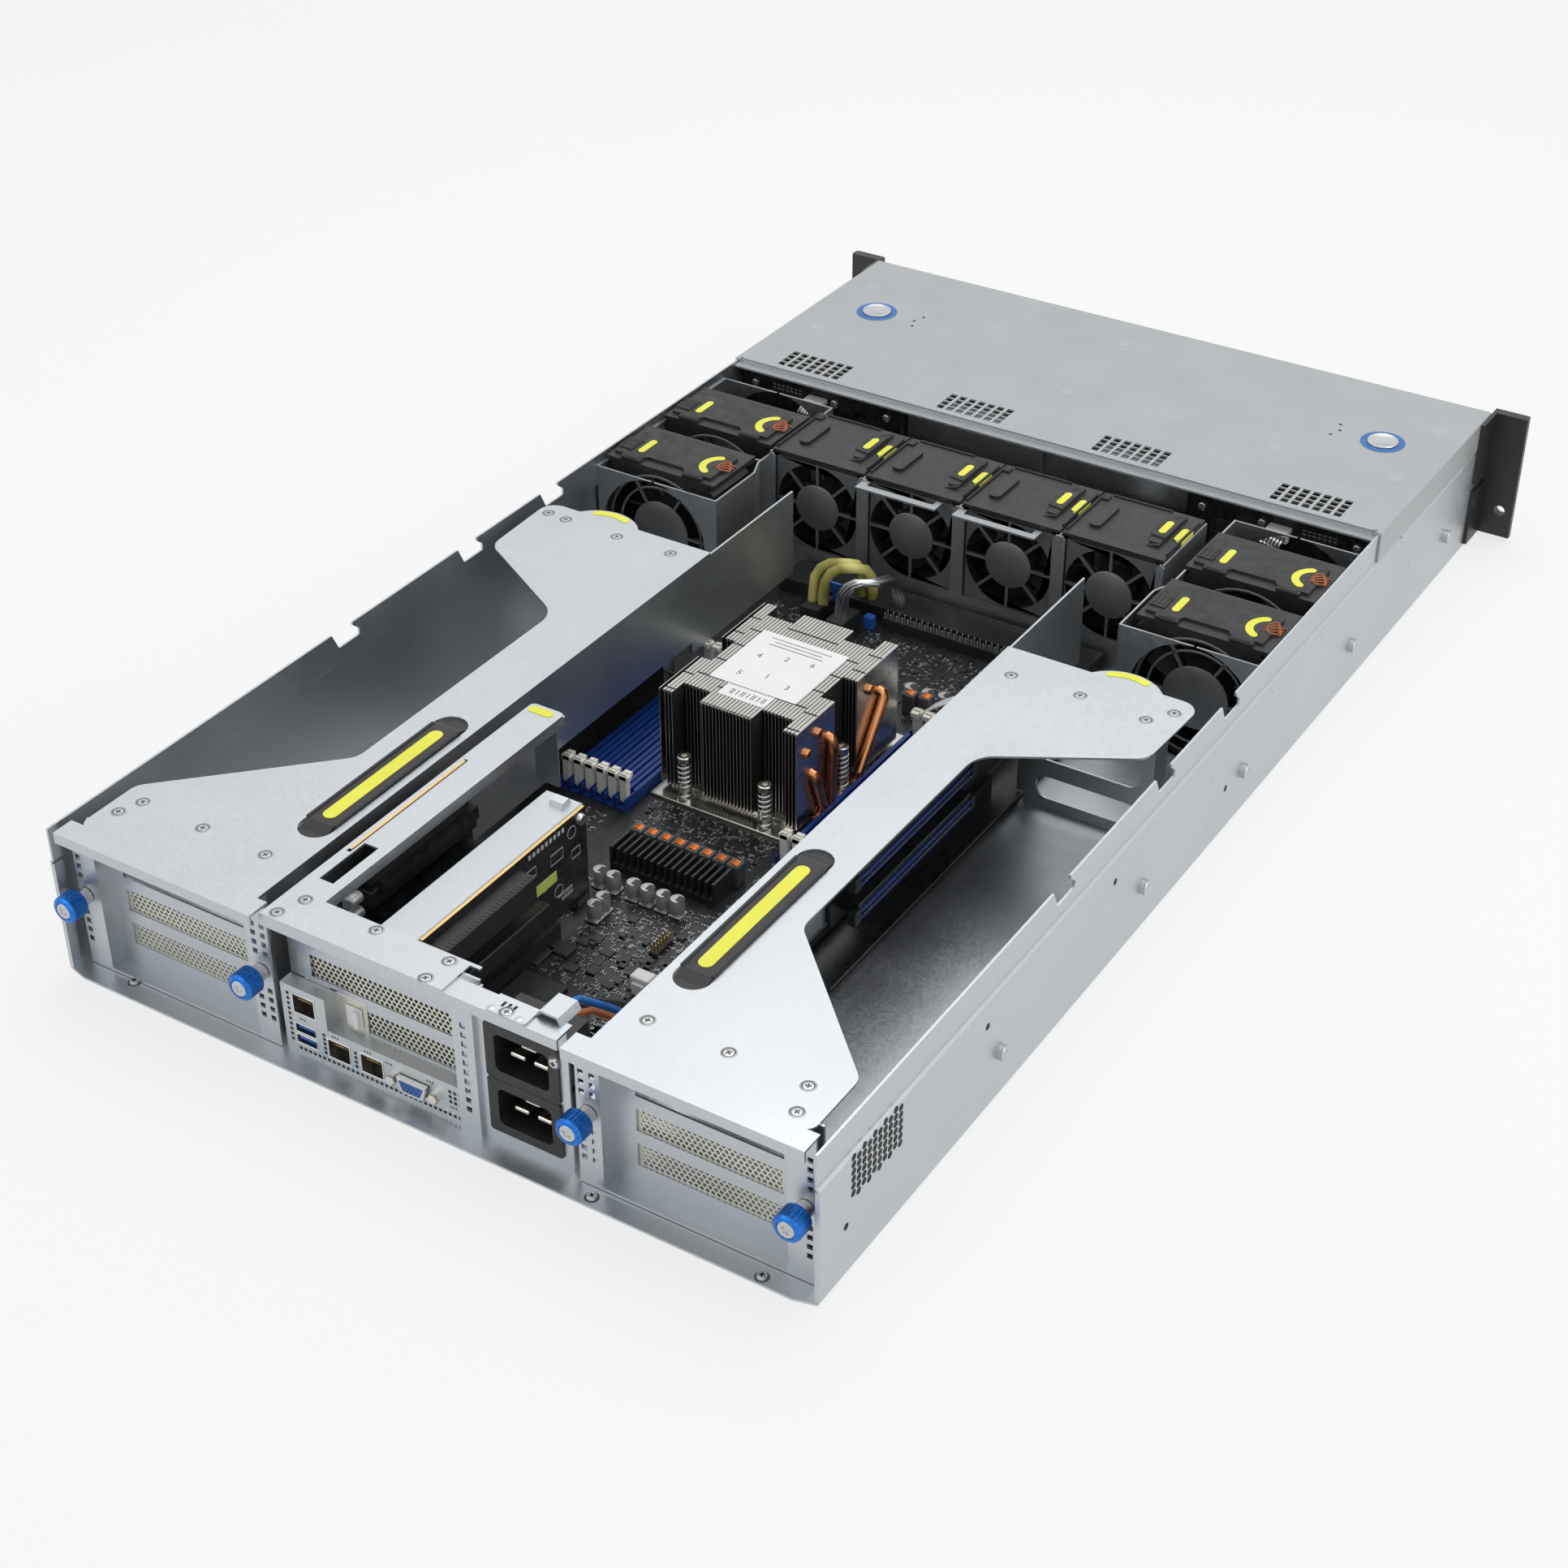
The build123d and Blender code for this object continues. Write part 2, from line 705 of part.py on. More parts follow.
def cage_frame(foot_inner):
    """Bent frame of a riser cage: top plate, inner wall, rear bracket and front wall."""
    with BuildPart() as frame:
        # Top plate with a waist, a rounded tab at the front and a recess for the handle strap
        with BuildSketch(level(cage_top - sheet)):
            polygon(
                (cage_inner, cage_rear),
                (cage_outer, cage_rear),
                (cage_outer, shoulder_rear),
                (cage_waist, waist_rear),
                (cage_waist, waist_front),
                (cage_outer - 2.5, shoulder_front),
                (cage_outer, cage_front),
                (cage_inner, cage_front),
            )
            round_corner(cage_outer, shoulder_rear, 10)
            round_corner(cage_waist, waist_rear, 12)
            round_corner(cage_waist, waist_front, 18)
            round_corner(cage_outer - 2.5, shoulder_front, 12)
            round_corner(cage_outer, cage_front, 10)
            round_corner(cage_outer, cage_rear, 6)
            with Locations((tab_x, tab_y)):
                Circle(tab_radius)
            with Locations((handle_x, handle_y)):
                SlotOverall(handle_length, handle_width, rotation=90, mode=Mode.SUBTRACT)
        extrude(amount=sheet)
        # Inner wall, lowest over the board and longest towards the fan wall
        with BuildSketch(along(cage_inner)):
            polygon(
                (inner_wall_front, cage_top - sheet),
                (inner_wall_front, inner_wall_bottom),
                (cage_front + 3 * window_height, inner_wall_bottom),
                (cage_front + 3 * window_height, inner_wall_bottom + window_height),
                (memory_rear + window_height, inner_wall_bottom + window_height),
                (memory_rear + 2 * window_height, inner_wall_bottom - window_height),
                (slot_face, inner_wall_bottom - window_height),
                (slot_face, cage_top - sheet),
            )
        extrude(amount=sheet)
        # Rear bracket: slot frame between two return walls
        with BuildSketch(across(slot_face)):
            rectangle((cage_inner, post_outer - 2 * sheet), (sheet + fit_gap, cage_top - sheet))
            for row in range(2):
                low = slot_bottom + row * slot_pitch
                rectangle((slot_inner, slot_outer), (low, low + slot_height), mode=Mode.SUBTRACT)
            rectangle((slot_inner, slot_outer), (2 * slot_pitch + slot_bottom, cage_top - 3 * beam_lip),
                      mode=Mode.SUBTRACT)
        extrude(amount=sheet)
        with BuildSketch(level(sheet + fit_gap)):
            rectangle((post_outer - post_width - sheet, post_outer - post_width), (slot_face, post_face))
            rectangle((post_middle - sheet, post_middle), (slot_face, post_face))
        extrude(amount=cage_top - 2 * sheet - fit_gap)
        # Posts with columns of square holes and the bore of each thumbscrew
        with BuildSketch(across(post_face)):
            rectangle((post_outer - post_width - sheet, post_outer), (sheet + fit_gap, cage_top))
            rectangle((post_inner, post_middle), (sheet + fit_gap, cage_top))
            with Locations((thumb_outer_x, thumb_height), (thumb_inner_x, thumb_height)):
                Circle(thumb_shank_radius + thumb_clearance, mode=Mode.SUBTRACT)
            hole_steps = (-5, -4, -3, -2, 2, 3, 4, 5)
            for height in [thumb_height + step * post_hole_pitch for step in hole_steps]:
                with Locations((post_inner + post_hole, height), (post_inner + 3 * post_hole, height)):
                    Rectangle(post_hole, post_hole, mode=Mode.SUBTRACT)
                with Locations((post_outer - post_hole, height)):
                    Rectangle(post_hole, post_hole, mode=Mode.SUBTRACT)
        extrude(amount=sheet)
        # Beam over the posts with a lip that hangs down at the rear
        with BuildSketch(along(post_inner)):
            polygon(
                (cage_rear, beam_top),
                (beam_rear, beam_top),
                (beam_rear, beam_top - beam_lip),
                (beam_rear - sheet, beam_top - beam_lip),
                (beam_rear - sheet, beam_top - sheet),
                (cage_rear, beam_top - sheet),
            )
        extrude(amount=post_outer - post_inner)
        slab(level(cage_top - sheet), (cage_inner, post_outer - post_width), (slot_face - sheet, post_face), sheet)
        # Foot plate on the floor behind the slots
        slab(level(sheet + fit_gap), (post_middle, post_outer - post_width), (slot_face - sheet, post_face), foot_height)
        # Front wall with two rounded windows and a strip on the floor
        with BuildSketch(across(front_wall_y)):
            rectangle((cage_inner, front_wall_outer), (strip_height, cage_top - sheet))
            rectangle((foot_inner, front_wall_outer), (sheet + fit_gap, strip_height))
            rectangle((cage_inner, right_riser_x + 2 * window_height), (strip_height, inner_wall_bottom), mode=Mode.SUBTRACT)
            centre = (foot_inner + front_wall_outer) / 2
            span = front_wall_outer - foot_inner - 2 * window_height
            with Locations((centre, strip_height + window_height)):
                SlotOverall(span, 2 * window_height, mode=Mode.SUBTRACT)
            with Locations((centre, (strip_height + 2 * window_height + cage_top) / 2)):
                RectangleRounded(span, cage_top - strip_height - 5 * window_height, window_height, mode=Mode.SUBTRACT)
        extrude(amount=sheet)
        slab(along(front_wall_outer - sheet), (cage_front, front_wall_y), (strip_height, cage_top - sheet), sheet)
    return frame.part


def cage_board(board_x):
    """Riser board with a key at the bottom that plugs in, two card slots and its hex spacers."""
    with BuildPart() as board:
        key_bottom = board_top + slot_body_height - slot_groove_depth + fit_gap
        with BuildSketch(along(board_x - board_sheet / 2)):
            rectangle((riser_board_front, riser_board_rear), (board_top + slot_body_height + sheet, riser_board_top))
            rectangle((slot_front + sheet, slot_rear - sheet), (key_bottom, riser_board_top))
            rectangle(
                (front_wall_y - sheet - fit_gap, front_wall_y + fit_gap),
                (board_top, riser_board_top),
                mode=Mode.SUBTRACT,
            )
        extrude(amount=board_sheet)
        for row in range(2):
            low = slot_bottom + 3 * fit_gap + slot_pitch * (row + 0.5)
            with BuildSketch(along(board_x + board_sheet / 2)):
                rectangle((slot_front + 40, slot_rear + 20), (low, low + slot_body_width))
            extrude(amount=riser_slot_depth)
        spacer = board_x - board_sheet / 2 - cage_inner - sheet
        with BuildSketch(along(cage_inner + sheet)):
            with Locations((slot_rear + 20, riser_board_top - 8), (slot_front + 20, riser_board_top - 8)):
                RegularPolygon(2.5, 6)
        extrude(amount=spacer)
    return board.part


def cage_covers():
    """Two slot covers behind the windows of the slot frame, each with a screw tab."""
    with BuildPart() as covers:
        for row in range(2):
            low = slot_bottom + row * slot_pitch
            with BuildSketch(across(slot_face - sheet)):
                rectangle((slot_inner - 3 * sheet, slot_outer + 3 * sheet), (low - sheet, low + slot_height + sheet))
            extrude(amount=sheet / 2)
    return covers.part


def cage_handle():
    """Black strap that bridges the recess of the top plate, arched in the middle."""
    half = handle_length / 2
    low = cage_top - strap_thickness - sheet
    with BuildPart() as strap:
        with BuildSketch(along(handle_x - handle_width / 2 + sheet)):
            polygon(
                (handle_y - half - strap_slope, low),
                (handle_y - half + strap_slope, low),
                (handle_y - half + 2 * strap_slope, cage_top - strap_thickness / 2),
                (handle_y + half - 2 * strap_slope, cage_top - strap_thickness / 2),
                (handle_y + half - strap_slope, low),
                (handle_y + half + strap_slope, low),
                (handle_y + half + strap_slope, low + strap_thickness),
                (handle_y + half - strap_slope, low + strap_thickness),
                (handle_y + half - 2 * strap_slope, cage_top + strap_thickness / 2),
                (handle_y - half + 2 * strap_slope, cage_top + strap_thickness / 2),
                (handle_y - half + strap_slope, low + strap_thickness),
                (handle_y - half - strap_slope, low + strap_thickness),
            )
        extrude(amount=handle_width - 2 * sheet)
    return strap.part


def thumbscrew(screw_x):
    """Captive screw: round head, neck, shank through the post and a collar behind it."""
    with BuildPart() as screw:
        with BuildSketch(across(thumb_head_face)):
            with Locations((screw_x, thumb_height)):
                RegularPolygon(thumb_head_radius, 24)
        extrude(amount=thumb_head_length)
        with BuildSketch(across(thumb_head_face - thumb_head_length)):
            with Locations((screw_x, thumb_height)):
                RegularPolygon(thumb_neck_radius, 16)
        extrude(amount=thumb_head_face - thumb_head_length - post_face - fit_gap)
        with BuildSketch(across(post_face + fit_gap)):
            with Locations((screw_x, thumb_height)):
                RegularPolygon(thumb_shank_radius, 12)
        extrude(amount=sheet + 2 * fit_gap)
        with BuildSketch(across(post_face - sheet - fit_gap)):
            with Locations((screw_x, thumb_height)):
                RegularPolygon(thumb_collar_radius, 16)
        extrude(amount=thumb_collar_length)
    return screw.part


# The two riser cages and what rides on them
save(cage_frame(board_left + sheet), "riser_frame_left")
save(mirrored(cage_frame(-board_right + sheet)), "riser_frame_right")
save(cage_board(left_riser_x), "riser_board_left")
save(mirrored(cage_board(right_riser_x)), "riser_board_right")
save(cage_covers(), "slot_covers_left")
save(mirrored(cage_covers()), "slot_covers_right")
save(cage_handle(), "riser_handle_left")
save(mirrored(cage_handle()), "riser_handle_right")
save(thumbscrew(thumb_outer_x), "thumbscrew_left_outer")
save(thumbscrew(thumb_inner_x), "thumbscrew_left_inner")
save(mirrored(thumbscrew(thumb_outer_x)), "thumbscrew_right_outer")
save(mirrored(thumbscrew(thumb_inner_x)), "thumbscrew_right_inner")

# Rear frame: centre beam, channel post with square holes, inlet panel and latch bracket
beam_height = bracket_top - sheet
with BuildPart() as rear_frame:
    with BuildSketch(along(centre_beam_right)):
        polygon(
            (centre_beam_rear - 12, beam_height),
            (centre_beam_rear, beam_height),
            (centre_beam_rear, beam_height - beam_lip),
            (centre_beam_rear - sheet, beam_height - beam_lip),
            (centre_beam_rear - sheet, beam_height - sheet),
            (centre_beam_rear - 12, beam_height - sheet),
        )
    extrude(amount=post_inner - fit_gap - sheet - centre_beam_right)
    # Channel post, its rear face and its right side both pierced
    hole_heights = [13 + 1.5 * sheet + index * post_hole_pitch for index in range(post_hole_count)]
    with BuildSketch(across(post_face)):
        rectangle((post_right, post_left), (sheet, beam_height - sheet))
        with Locations(*[((post_right + post_left) / 2, height) for height in hole_heights]):
            Rectangle(post_hole, post_hole, mode=Mode.SUBTRACT)
    extrude(amount=sheet)
    with BuildSketch(along(post_right)):
        rectangle((slot_face, post_face), (sheet, beam_height - sheet))
        with Locations(*[((slot_face + post_face) / 2, height) for height in hole_heights]):
            Rectangle(post_hole, post_hole, mode=Mode.SUBTRACT)
    extrude(amount=sheet)
    # Panel that carries the power inlets
    with BuildSketch(across(post_face - 2 * sheet)):
        rectangle((centre_beam_right, post_right + sheet), (sheet, beam_height - sheet))
        for row in range(2):
            low = inlet_bottom + row * inlet_height
            rectangle(
                (inlet_x - inlet_width / 2 + sheet, inlet_x + inlet_width / 2 - sheet),
                (low + sheet, low + inlet_height - sheet),
                mode=Mode.SUBTRACT,
            )
    extrude(amount=sheet)
    # Latch bracket on the beam with a raised box that takes the rear cover's hook
    with BuildSketch(level(beam_height)):
        rectangle((-66, -44), (centre_beam_rear - 12, centre_beam_rear))
        chamfer(vertices().group_by(Axis.Y)[-1], sheet)
    extrude(amount=sheet)
    with BuildSketch(across(centre_beam_rear - 8.5)):
        polygon((-66, bracket_top), (-68, bracket_top + 3), (-78, bracket_top + 3), (-80, beam_height),
                (-78.5, beam_height), (-77, bracket_top + 3 - sheet), (-69, bracket_top + 3 - sheet),
                (-66, beam_height))
    extrude(amount=14.5)
save(rear_frame.part, "rear_frame")

# Port panel with a raised box at its left end and a shelf that runs forward
shelf_depth = panel_y - cover_plane
jack_places = ((65.5, 25.8), (46.0, board_top), (26.2, board_top))
port_places = ((66.3, board_top + 0.4), (66.3, 2 * board_top + 0.6))
port_width = 13.0
with BuildPart() as io_panel:
    with BuildSketch(across(panel_y)):
        rectangle((panel_right + 2 * fit_gap, panel_left), (sheet, panel_height))
        rectangle((panel_left - raised_width, panel_left), (sheet, raised_height))
        for left, low in jack_places:
            rectangle((left, left + jack_width), (low, low + jack_height), mode=Mode.SUBTRACT)
        for left, low in port_places:
            rectangle((left, left + port_width), (low, low + port_height), mode=Mode.SUBTRACT)
        with Locations((7.4, 12)):
            Trapezoid(18, 9, 75, rotation=180, mode=Mode.SUBTRACT)
    extrude(amount=sheet)
    with BuildSketch(across(panel_y - sheet)):
        polygon(
            (panel_right + 2 * fit_gap, panel_height),
            (panel_left - raised_width, panel_height),
            (panel_left - raised_width, raised_height),
            (panel_left, raised_height),
            (panel_left, raised_height - sheet),
            (panel_left - raised_width + sheet, raised_height - sheet),
            (panel_left - raised_width + sheet, panel_height - sheet),
            (panel_right + 2 * fit_gap, panel_height - sheet),
        )
    extrude(amount=shelf_depth - sheet)
save(io_panel.part, "io_panel")


def socket(left, low, width, height):
    """Open metal shell of one socket, with its contact bar on the cavity's floor."""
    slab(across(panel_y), (left, left + width), (low, low + height), jack_depth)
    wall = jack_wall / 2
    slab(across(panel_y), (left + wall, left + width - wall), (low + wall, low + height - wall),
         jack_depth - 2 * jack_wall, Mode.SUBTRACT)


with BuildPart() as rear_ports:
    for left, low in jack_places:
        socket(left, low, jack_width, jack_height)
    for left, low in port_places:
        socket(left, low, port_width, port_height)
    with BuildSketch(across(panel_y + 3)):
        with Locations((7.4, 12)):
            Trapezoid(16.6, 7.8, 75, rotation=180)
    extrude(amount=12)
    with BuildSketch(across(panel_y)):
        with Locations((19.9, 12), (-5.1, 12)):
            RegularPolygon(2.6, 6)
    extrude(amount=-4)
    slab(across(panel_y - sheet), (-3, 18), (board_top, 17), 9)
    slab(across(panel_y - sheet), (66, 78), (2 * board_top + 6.2, jack_places[0][1]), jack_depth - sheet)
    slab(across(panel_y - sheet), (60.8, 64.8), (board_top, jack_places[0][1] + 4), jack_depth - sheet)
save(rear_ports.part, "rear_ports")

# Power inlets: flanged bodies with a deep recess and three flat pins
with BuildPart() as power_inlets:
    inlet_face = post_face - 2 * sheet
    for row in range(2):
        low = inlet_bottom + row * inlet_height
        middle = low + inlet_height / 2
        with BuildSketch(across(inlet_face + sheet)):
            with Locations((inlet_x, middle)):
                Rectangle(inlet_width, inlet_height - fit_gap)
            chamfer(vertices(), sheet)
        extrude(amount=sheet)
        with BuildSketch(across(inlet_face)):
            with Locations((inlet_x, middle)):
                Rectangle(inlet_width - 3 * sheet, inlet_height - 3 * sheet)
        extrude(amount=inlet_depth)
        with BuildSketch(across(inlet_face + sheet)):
            with Locations((inlet_x, middle)):
                Rectangle(inlet_recess_width, inlet_recess_height)
            chamfer(vertices(), bend_radius)
        extrude(amount=inlet_cavity_depth, mode=Mode.SUBTRACT)
        with BuildSketch(across(inlet_face + sheet - inlet_cavity_depth + inlet_pin_length)):
            with Locations((inlet_x, middle + 4), (inlet_x - 6.5, middle - 3.5), (inlet_x + 6.5, middle - 3.5)):
                Rectangle(8, 2)
        extrude(amount=inlet_pin_length)
save(power_inlets.part, "power_inlets")

# Middle bracket: rear strip, left arm with a rounded tab and a leg, and the frame of the middle covers
with BuildPart() as middle_bracket:
    strip_front = centre_beam_rear - bracket_rear_depth
    with BuildSketch(level(beam_height)):
        polygon(
            (bracket_left, centre_beam_rear),
            (bracket_right + 5.6, centre_beam_rear),
            (bracket_right + 5.6, strip_front + 2),
            (bracket_right, strip_front + 2),
            (bracket_right, strip_front),
            (bracket_left - bracket_arm, strip_front),
            (bracket_left - bracket_arm, bracket_front),
            (bracket_left, bracket_front),
        )
        round_corner(bracket_left, bracket_front, 3)
        round_corner(bracket_left - bracket_arm, bracket_front, 3)
        with Locations((middle_riser_x, 287.7)):
            Rectangle(2.3, 91.5, mode=Mode.SUBTRACT)
        rectangle((71.3, 79.7), (324, 357.3), mode=Mode.SUBTRACT)
    extrude(amount=sheet)
    slab(across(bracket_front + sheet), (bracket_left - 15, bracket_left), (bracket_leg_bottom, beam_height), sheet)
    slab(along(bracket_left - bracket_arm), (bracket_front, strip_front), (beam_height - 5, beam_height), sheet)
    raised_right = panel_left - raised_width
    middle_windows = [
        (low, (window_left, window_right))
        for low, window_left, window_right in (
            (middle_slot_bottom, middle_slot_right, raised_right - 2 * sheet),
            (middle_slot_bottom + slot_pitch, middle_slot_right, middle_slot_left),
        )
    ]
    with BuildSketch(across(cover_plane)):
        rectangle((post_right + 2 * sheet, bracket_left), (panel_height, beam_height))
        rectangle((raised_right - sheet, bracket_left), (panel_height, raised_height + sheet / 2), mode=Mode.SUBTRACT)
        for low, limits in middle_windows:
            rectangle(limits, (low, low + slot_height), mode=Mode.SUBTRACT)
    extrude(amount=sheet)
    for low, limits in middle_windows:
        with BuildSketch(across(cover_plane - sheet)):
            rectangle((limits[0] - 2 * sheet, limits[1] + sheet), (low - sheet, low + slot_height + sheet))
        extrude(amount=sheet / 2)
save(middle_bracket.part, "middle_bracket")

# Middle riser boards: one under the left arm and one below a bent shelf
with BuildPart() as middle_riser_boards:
    low = board_top + slot_body_height
    slab(along(middle_riser_x - board_sheet / 2), (243, 332), (low, bracket_top + sheet / 4), board_sheet)
    slab(along(middle_riser_x - board_sheet / 2 - riser_slot_depth), (250, 325), (60, 60 + slot_body_width),
         riser_slot_depth)
    slab(along(middle_riser_x - board_sheet / 2 - riser_slot_depth), (250, 325), (38, 38 + slot_body_width),
         riser_slot_depth)
    slab(along(second_riser_x - board_sheet / 2), (226, 355), (low, second_shelf_height), board_sheet)
    shelf_left = second_riser_x + 23
    slab(level(second_shelf_height - sheet), (second_riser_x + board_sheet / 2, shelf_left),
         (225, cover_plane - 1.5 * sheet), sheet)
    slab(along(second_riser_x + board_sheet / 2), (240, 345), (48, 48 + slot_body_width), riser_slot_depth)
save(middle_riser_boards.part, "middle_riser_boards")

# Fan wall: raised floor with a rolled lip, pierced rear skirt, dividers with rounded flanges
bay_edges = [bay_centre_x + (index - 2) * bay_pitch for index in range(5)]
bay_places = [bay_centre_x + (index - 1.5) * bay_pitch for index in range(4)]
with BuildPart() as fan_wall:
    with BuildSketch(along(bay_edges[0])):
        polygon(
            (fan_wall_y, sheet),
            (fan_wall_y, bay_floor + bay_lip),
            (fan_wall_y - sheet, bay_floor + bay_lip),
            (fan_wall_y - sheet, bay_floor),
            (bay_front, bay_floor),
            (bay_front, sheet),
            (bay_front + sheet, sheet),
            (bay_front + sheet, bay_floor - sheet),
            (fan_wall_y - sheet, bay_floor - sheet),
            (fan_wall_y - sheet, sheet),
        )
    extrude(amount=bay_edges[-1] - bay_edges[0])
    for edge in bay_edges:
        slab(along(edge - sheet / 2), (bay_front, fan_wall_y), (bay_floor, bay_top), sheet)
        with BuildSketch(across(fan_wall_y + sheet)):
            left_limit = min(edge + divider_flange / 2, bay_edges[-1] + sheet / 2)
            right_limit = max(edge - divider_flange / 2, bay_edges[0] - sheet / 2)
            rectangle((right_limit, left_limit), (bay_floor, bay_top))
            chamfer(vertices(), divider_flange / 4)
        extrude(amount=sheet)
    # Two brackets that hold the cables over the middle fans
    for place in bay_places[1:3]:
        with BuildSketch(level(bay_top - 2 * sheet)):
            tab_left = place + bay_pitch / 2
            tab_right = tab_left - cable_tab_width
            rectangle((tab_right, tab_left), (fan_wall_y, fan_wall_y + cable_tab_depth))
            rectangle(
                (tab_right + divider_flange / 2, tab_left - divider_flange / 2 - sheet),
                (fan_wall_y, fan_wall_y + cable_tab_depth / 2),
                mode=Mode.SUBTRACT,
            )
        extrude(amount=sheet)
save(fan_wall.part, "fan_wall")


def fan_module(size, depth, centre, rear, duct, hub, spokes, lid):
    """Fan housing with a round duct, spokes that hold the hub, and a lid with two grips."""
    x, z = centre
    lid_half_width, lid_rear, lid_front, lid_top = lid
    with BuildPart() as module:
        with BuildSketch(across(rear)):
            with Locations((x, z)):
                Rectangle(size, size)
            chamfer(vertices(), size / 16)
            with Locations((x, z)):
                RegularPolygon(duct, 24, major_radius=False, mode=Mode.SUBTRACT)
        extrude(amount=depth)
        with BuildSketch(across(rear)):
            with Locations((x, z)):
                RegularPolygon(hub, 16)
                with PolarLocations((hub + duct) / 2, spokes):
                    Rectangle(duct - hub + 3, guard_spoke_width)
        extrude(amount=guard_depth)
        slab(level(z + size / 2), (x - lid_half_width, x + lid_half_width), (lid_front, lid_rear),
             lid_top - z - size / 2)
        # Raised grips that a finger and thumb squeeze
        with BuildSketch(level(lid_top)):
            grip_y = (lid_rear + lid_front) / 2
            with Locations((x - lid_half_width * 0.6, grip_y), (x + lid_half_width * 0.6, grip_y)):
                Rectangle(4 * lid_thickness, (lid_rear - lid_front) / 2)
                chamfer(vertices(), lid_thickness)
        extrude(amount=lid_thickness)
    return module.part


def fan_rotor(depth, centre, rear, duct, hub):
    """Hub with slanted blades that turns in the duct in front of the spokes."""
    x, z = centre
    rotor_rear = rear - guard_depth - rotor_gap
    rotor_length = depth - guard_depth - 2 * rotor_gap - sheet
    with BuildPart() as rotor:
        with BuildSketch(across(rotor_rear)):
            with Locations((x, z)):
                RegularPolygon(hub, 16)
        extrude(amount=rotor_length)
        middle = rotor_rear - rotor_length / 2
        root = hub * 0.85
        half_chord = rotor_length * 0.4 * sin(radians(blade_pitch_angle))
        tip = sqrt((duct - blade_tip_gap) ** 2 - half_chord**2)
        for index in range(blade_count):
            turn = radians(360 * index / blade_count)
            blade_plane = Plane(origin=(x, middle, z), x_dir=(0, 1, 0), z_dir=(cos(turn), 0, sin(turn)))
            with BuildSketch(blade_plane.offset(root)):
                Rectangle(rotor_length * 0.8, blade_thickness, rotation=blade_pitch_angle)
            extrude(amount=tip - root)
    return rotor.part


# Four fans in the wall
fan_rear = fan_wall_y - sheet - fit_gap
for index, place in enumerate(bay_places):
    name = "fan_" + str(index + 1)
    centre = (place, fan_centre_z)
    lid = (bay_pitch / 2 - sheet / 2 - fit_gap, fan_rear, bay_front, bay_top + lid_thickness)
    save(
        fan_module(fan_size, fan_depth, centre, fan_rear, fan_duct_radius, fan_hub_radius, guard_spokes, lid),
        name + "_module",
    )
    save(fan_rotor(fan_depth, centre, fan_rear, fan_duct_radius, fan_hub_radius), name + "_rotor")

side_inner = bay_edges[-1] + sheet / 2
cage_right_limit = upper_inner
side_cage_outer = cage_right_limit - sheet
side_fan_x = (side_inner + sheet + side_cage_outer) / 2
side_centre = (side_fan_x, side_fan_centre_z + 2 * fit_gap + sheet)

# Side fan cages: bent sheet round two fans in a row, with a round window at the rear and middle
with BuildPart() as side_fan_cages:
    top = side_fan_centre_z + side_fan_size / 2
    slab(level(sheet), (side_inner, cage_right_limit), (side_cage_front, side_step_front), sheet)
    slab(level(sheet), (side_wall_x, cage_right_limit), (side_step_front, side_cage_rear), sheet)
    slab(along(side_cage_outer), (side_cage_front, side_cage_rear), (2 * sheet, top), sheet)
    # Inner wall steps outwards beside the fan wall
    with BuildSketch(level(2 * sheet)):
        polygon(
            (side_wall_x, side_cage_rear),
            (side_wall_x, side_step_rear),
            (side_inner, side_step_front),
            (side_inner, side_cage_front),
            (side_inner + sheet, side_cage_front),
            (side_inner + sheet, side_step_front),
            (side_wall_x + sheet, side_step_rear),
            (side_wall_x + sheet, side_cage_rear),
        )
    extrude(amount=top - 2 * sheet)
    for plane_y, inner in (
        (side_cage_rear, side_wall_x),
        (side_cage_middle, side_inner),
        (side_cage_front + sheet, side_inner),
    ):
        with BuildSketch(across(plane_y)):
            rectangle((inner, cage_right_limit), (2 * sheet, top))
            with Locations(side_centre):
                RegularPolygon(side_fan_duct_radius, 24, major_radius=False, mode=Mode.SUBTRACT)
        extrude(amount=sheet)
    mirror(about=Plane.YZ)
save(side_fan_cages.part, "side_fan_cages")

# Two fans in a row in each side cage, counted from the rear
for index, rear in enumerate((side_fan_rear_y, side_fan_front_y)):
    lid_top = side_centre[1] + side_fan_size / 2 + 1.5 * lid_thickness
    lid_half = side_cage_outer - fit_gap - side_fan_x
    lid_front = rear - fan_depth - 4 * lid_thickness
    lid = (lid_half, rear, lid_front, lid_top)
    module = fan_module(side_fan_size, fan_depth, side_centre, rear, side_fan_duct_radius, side_fan_hub_radius,
                        side_guard_spokes, lid)
    rotor = fan_rotor(fan_depth, side_centre, rear, side_fan_duct_radius, side_fan_hub_radius)
    for side, copy in (("left", lambda part: part), ("right", mirrored)):
        name = "side_fan_" + side + "_" + str(index + 1)
        save(copy(module), name + "_module")
        save(copy(rotor), name + "_rotor")

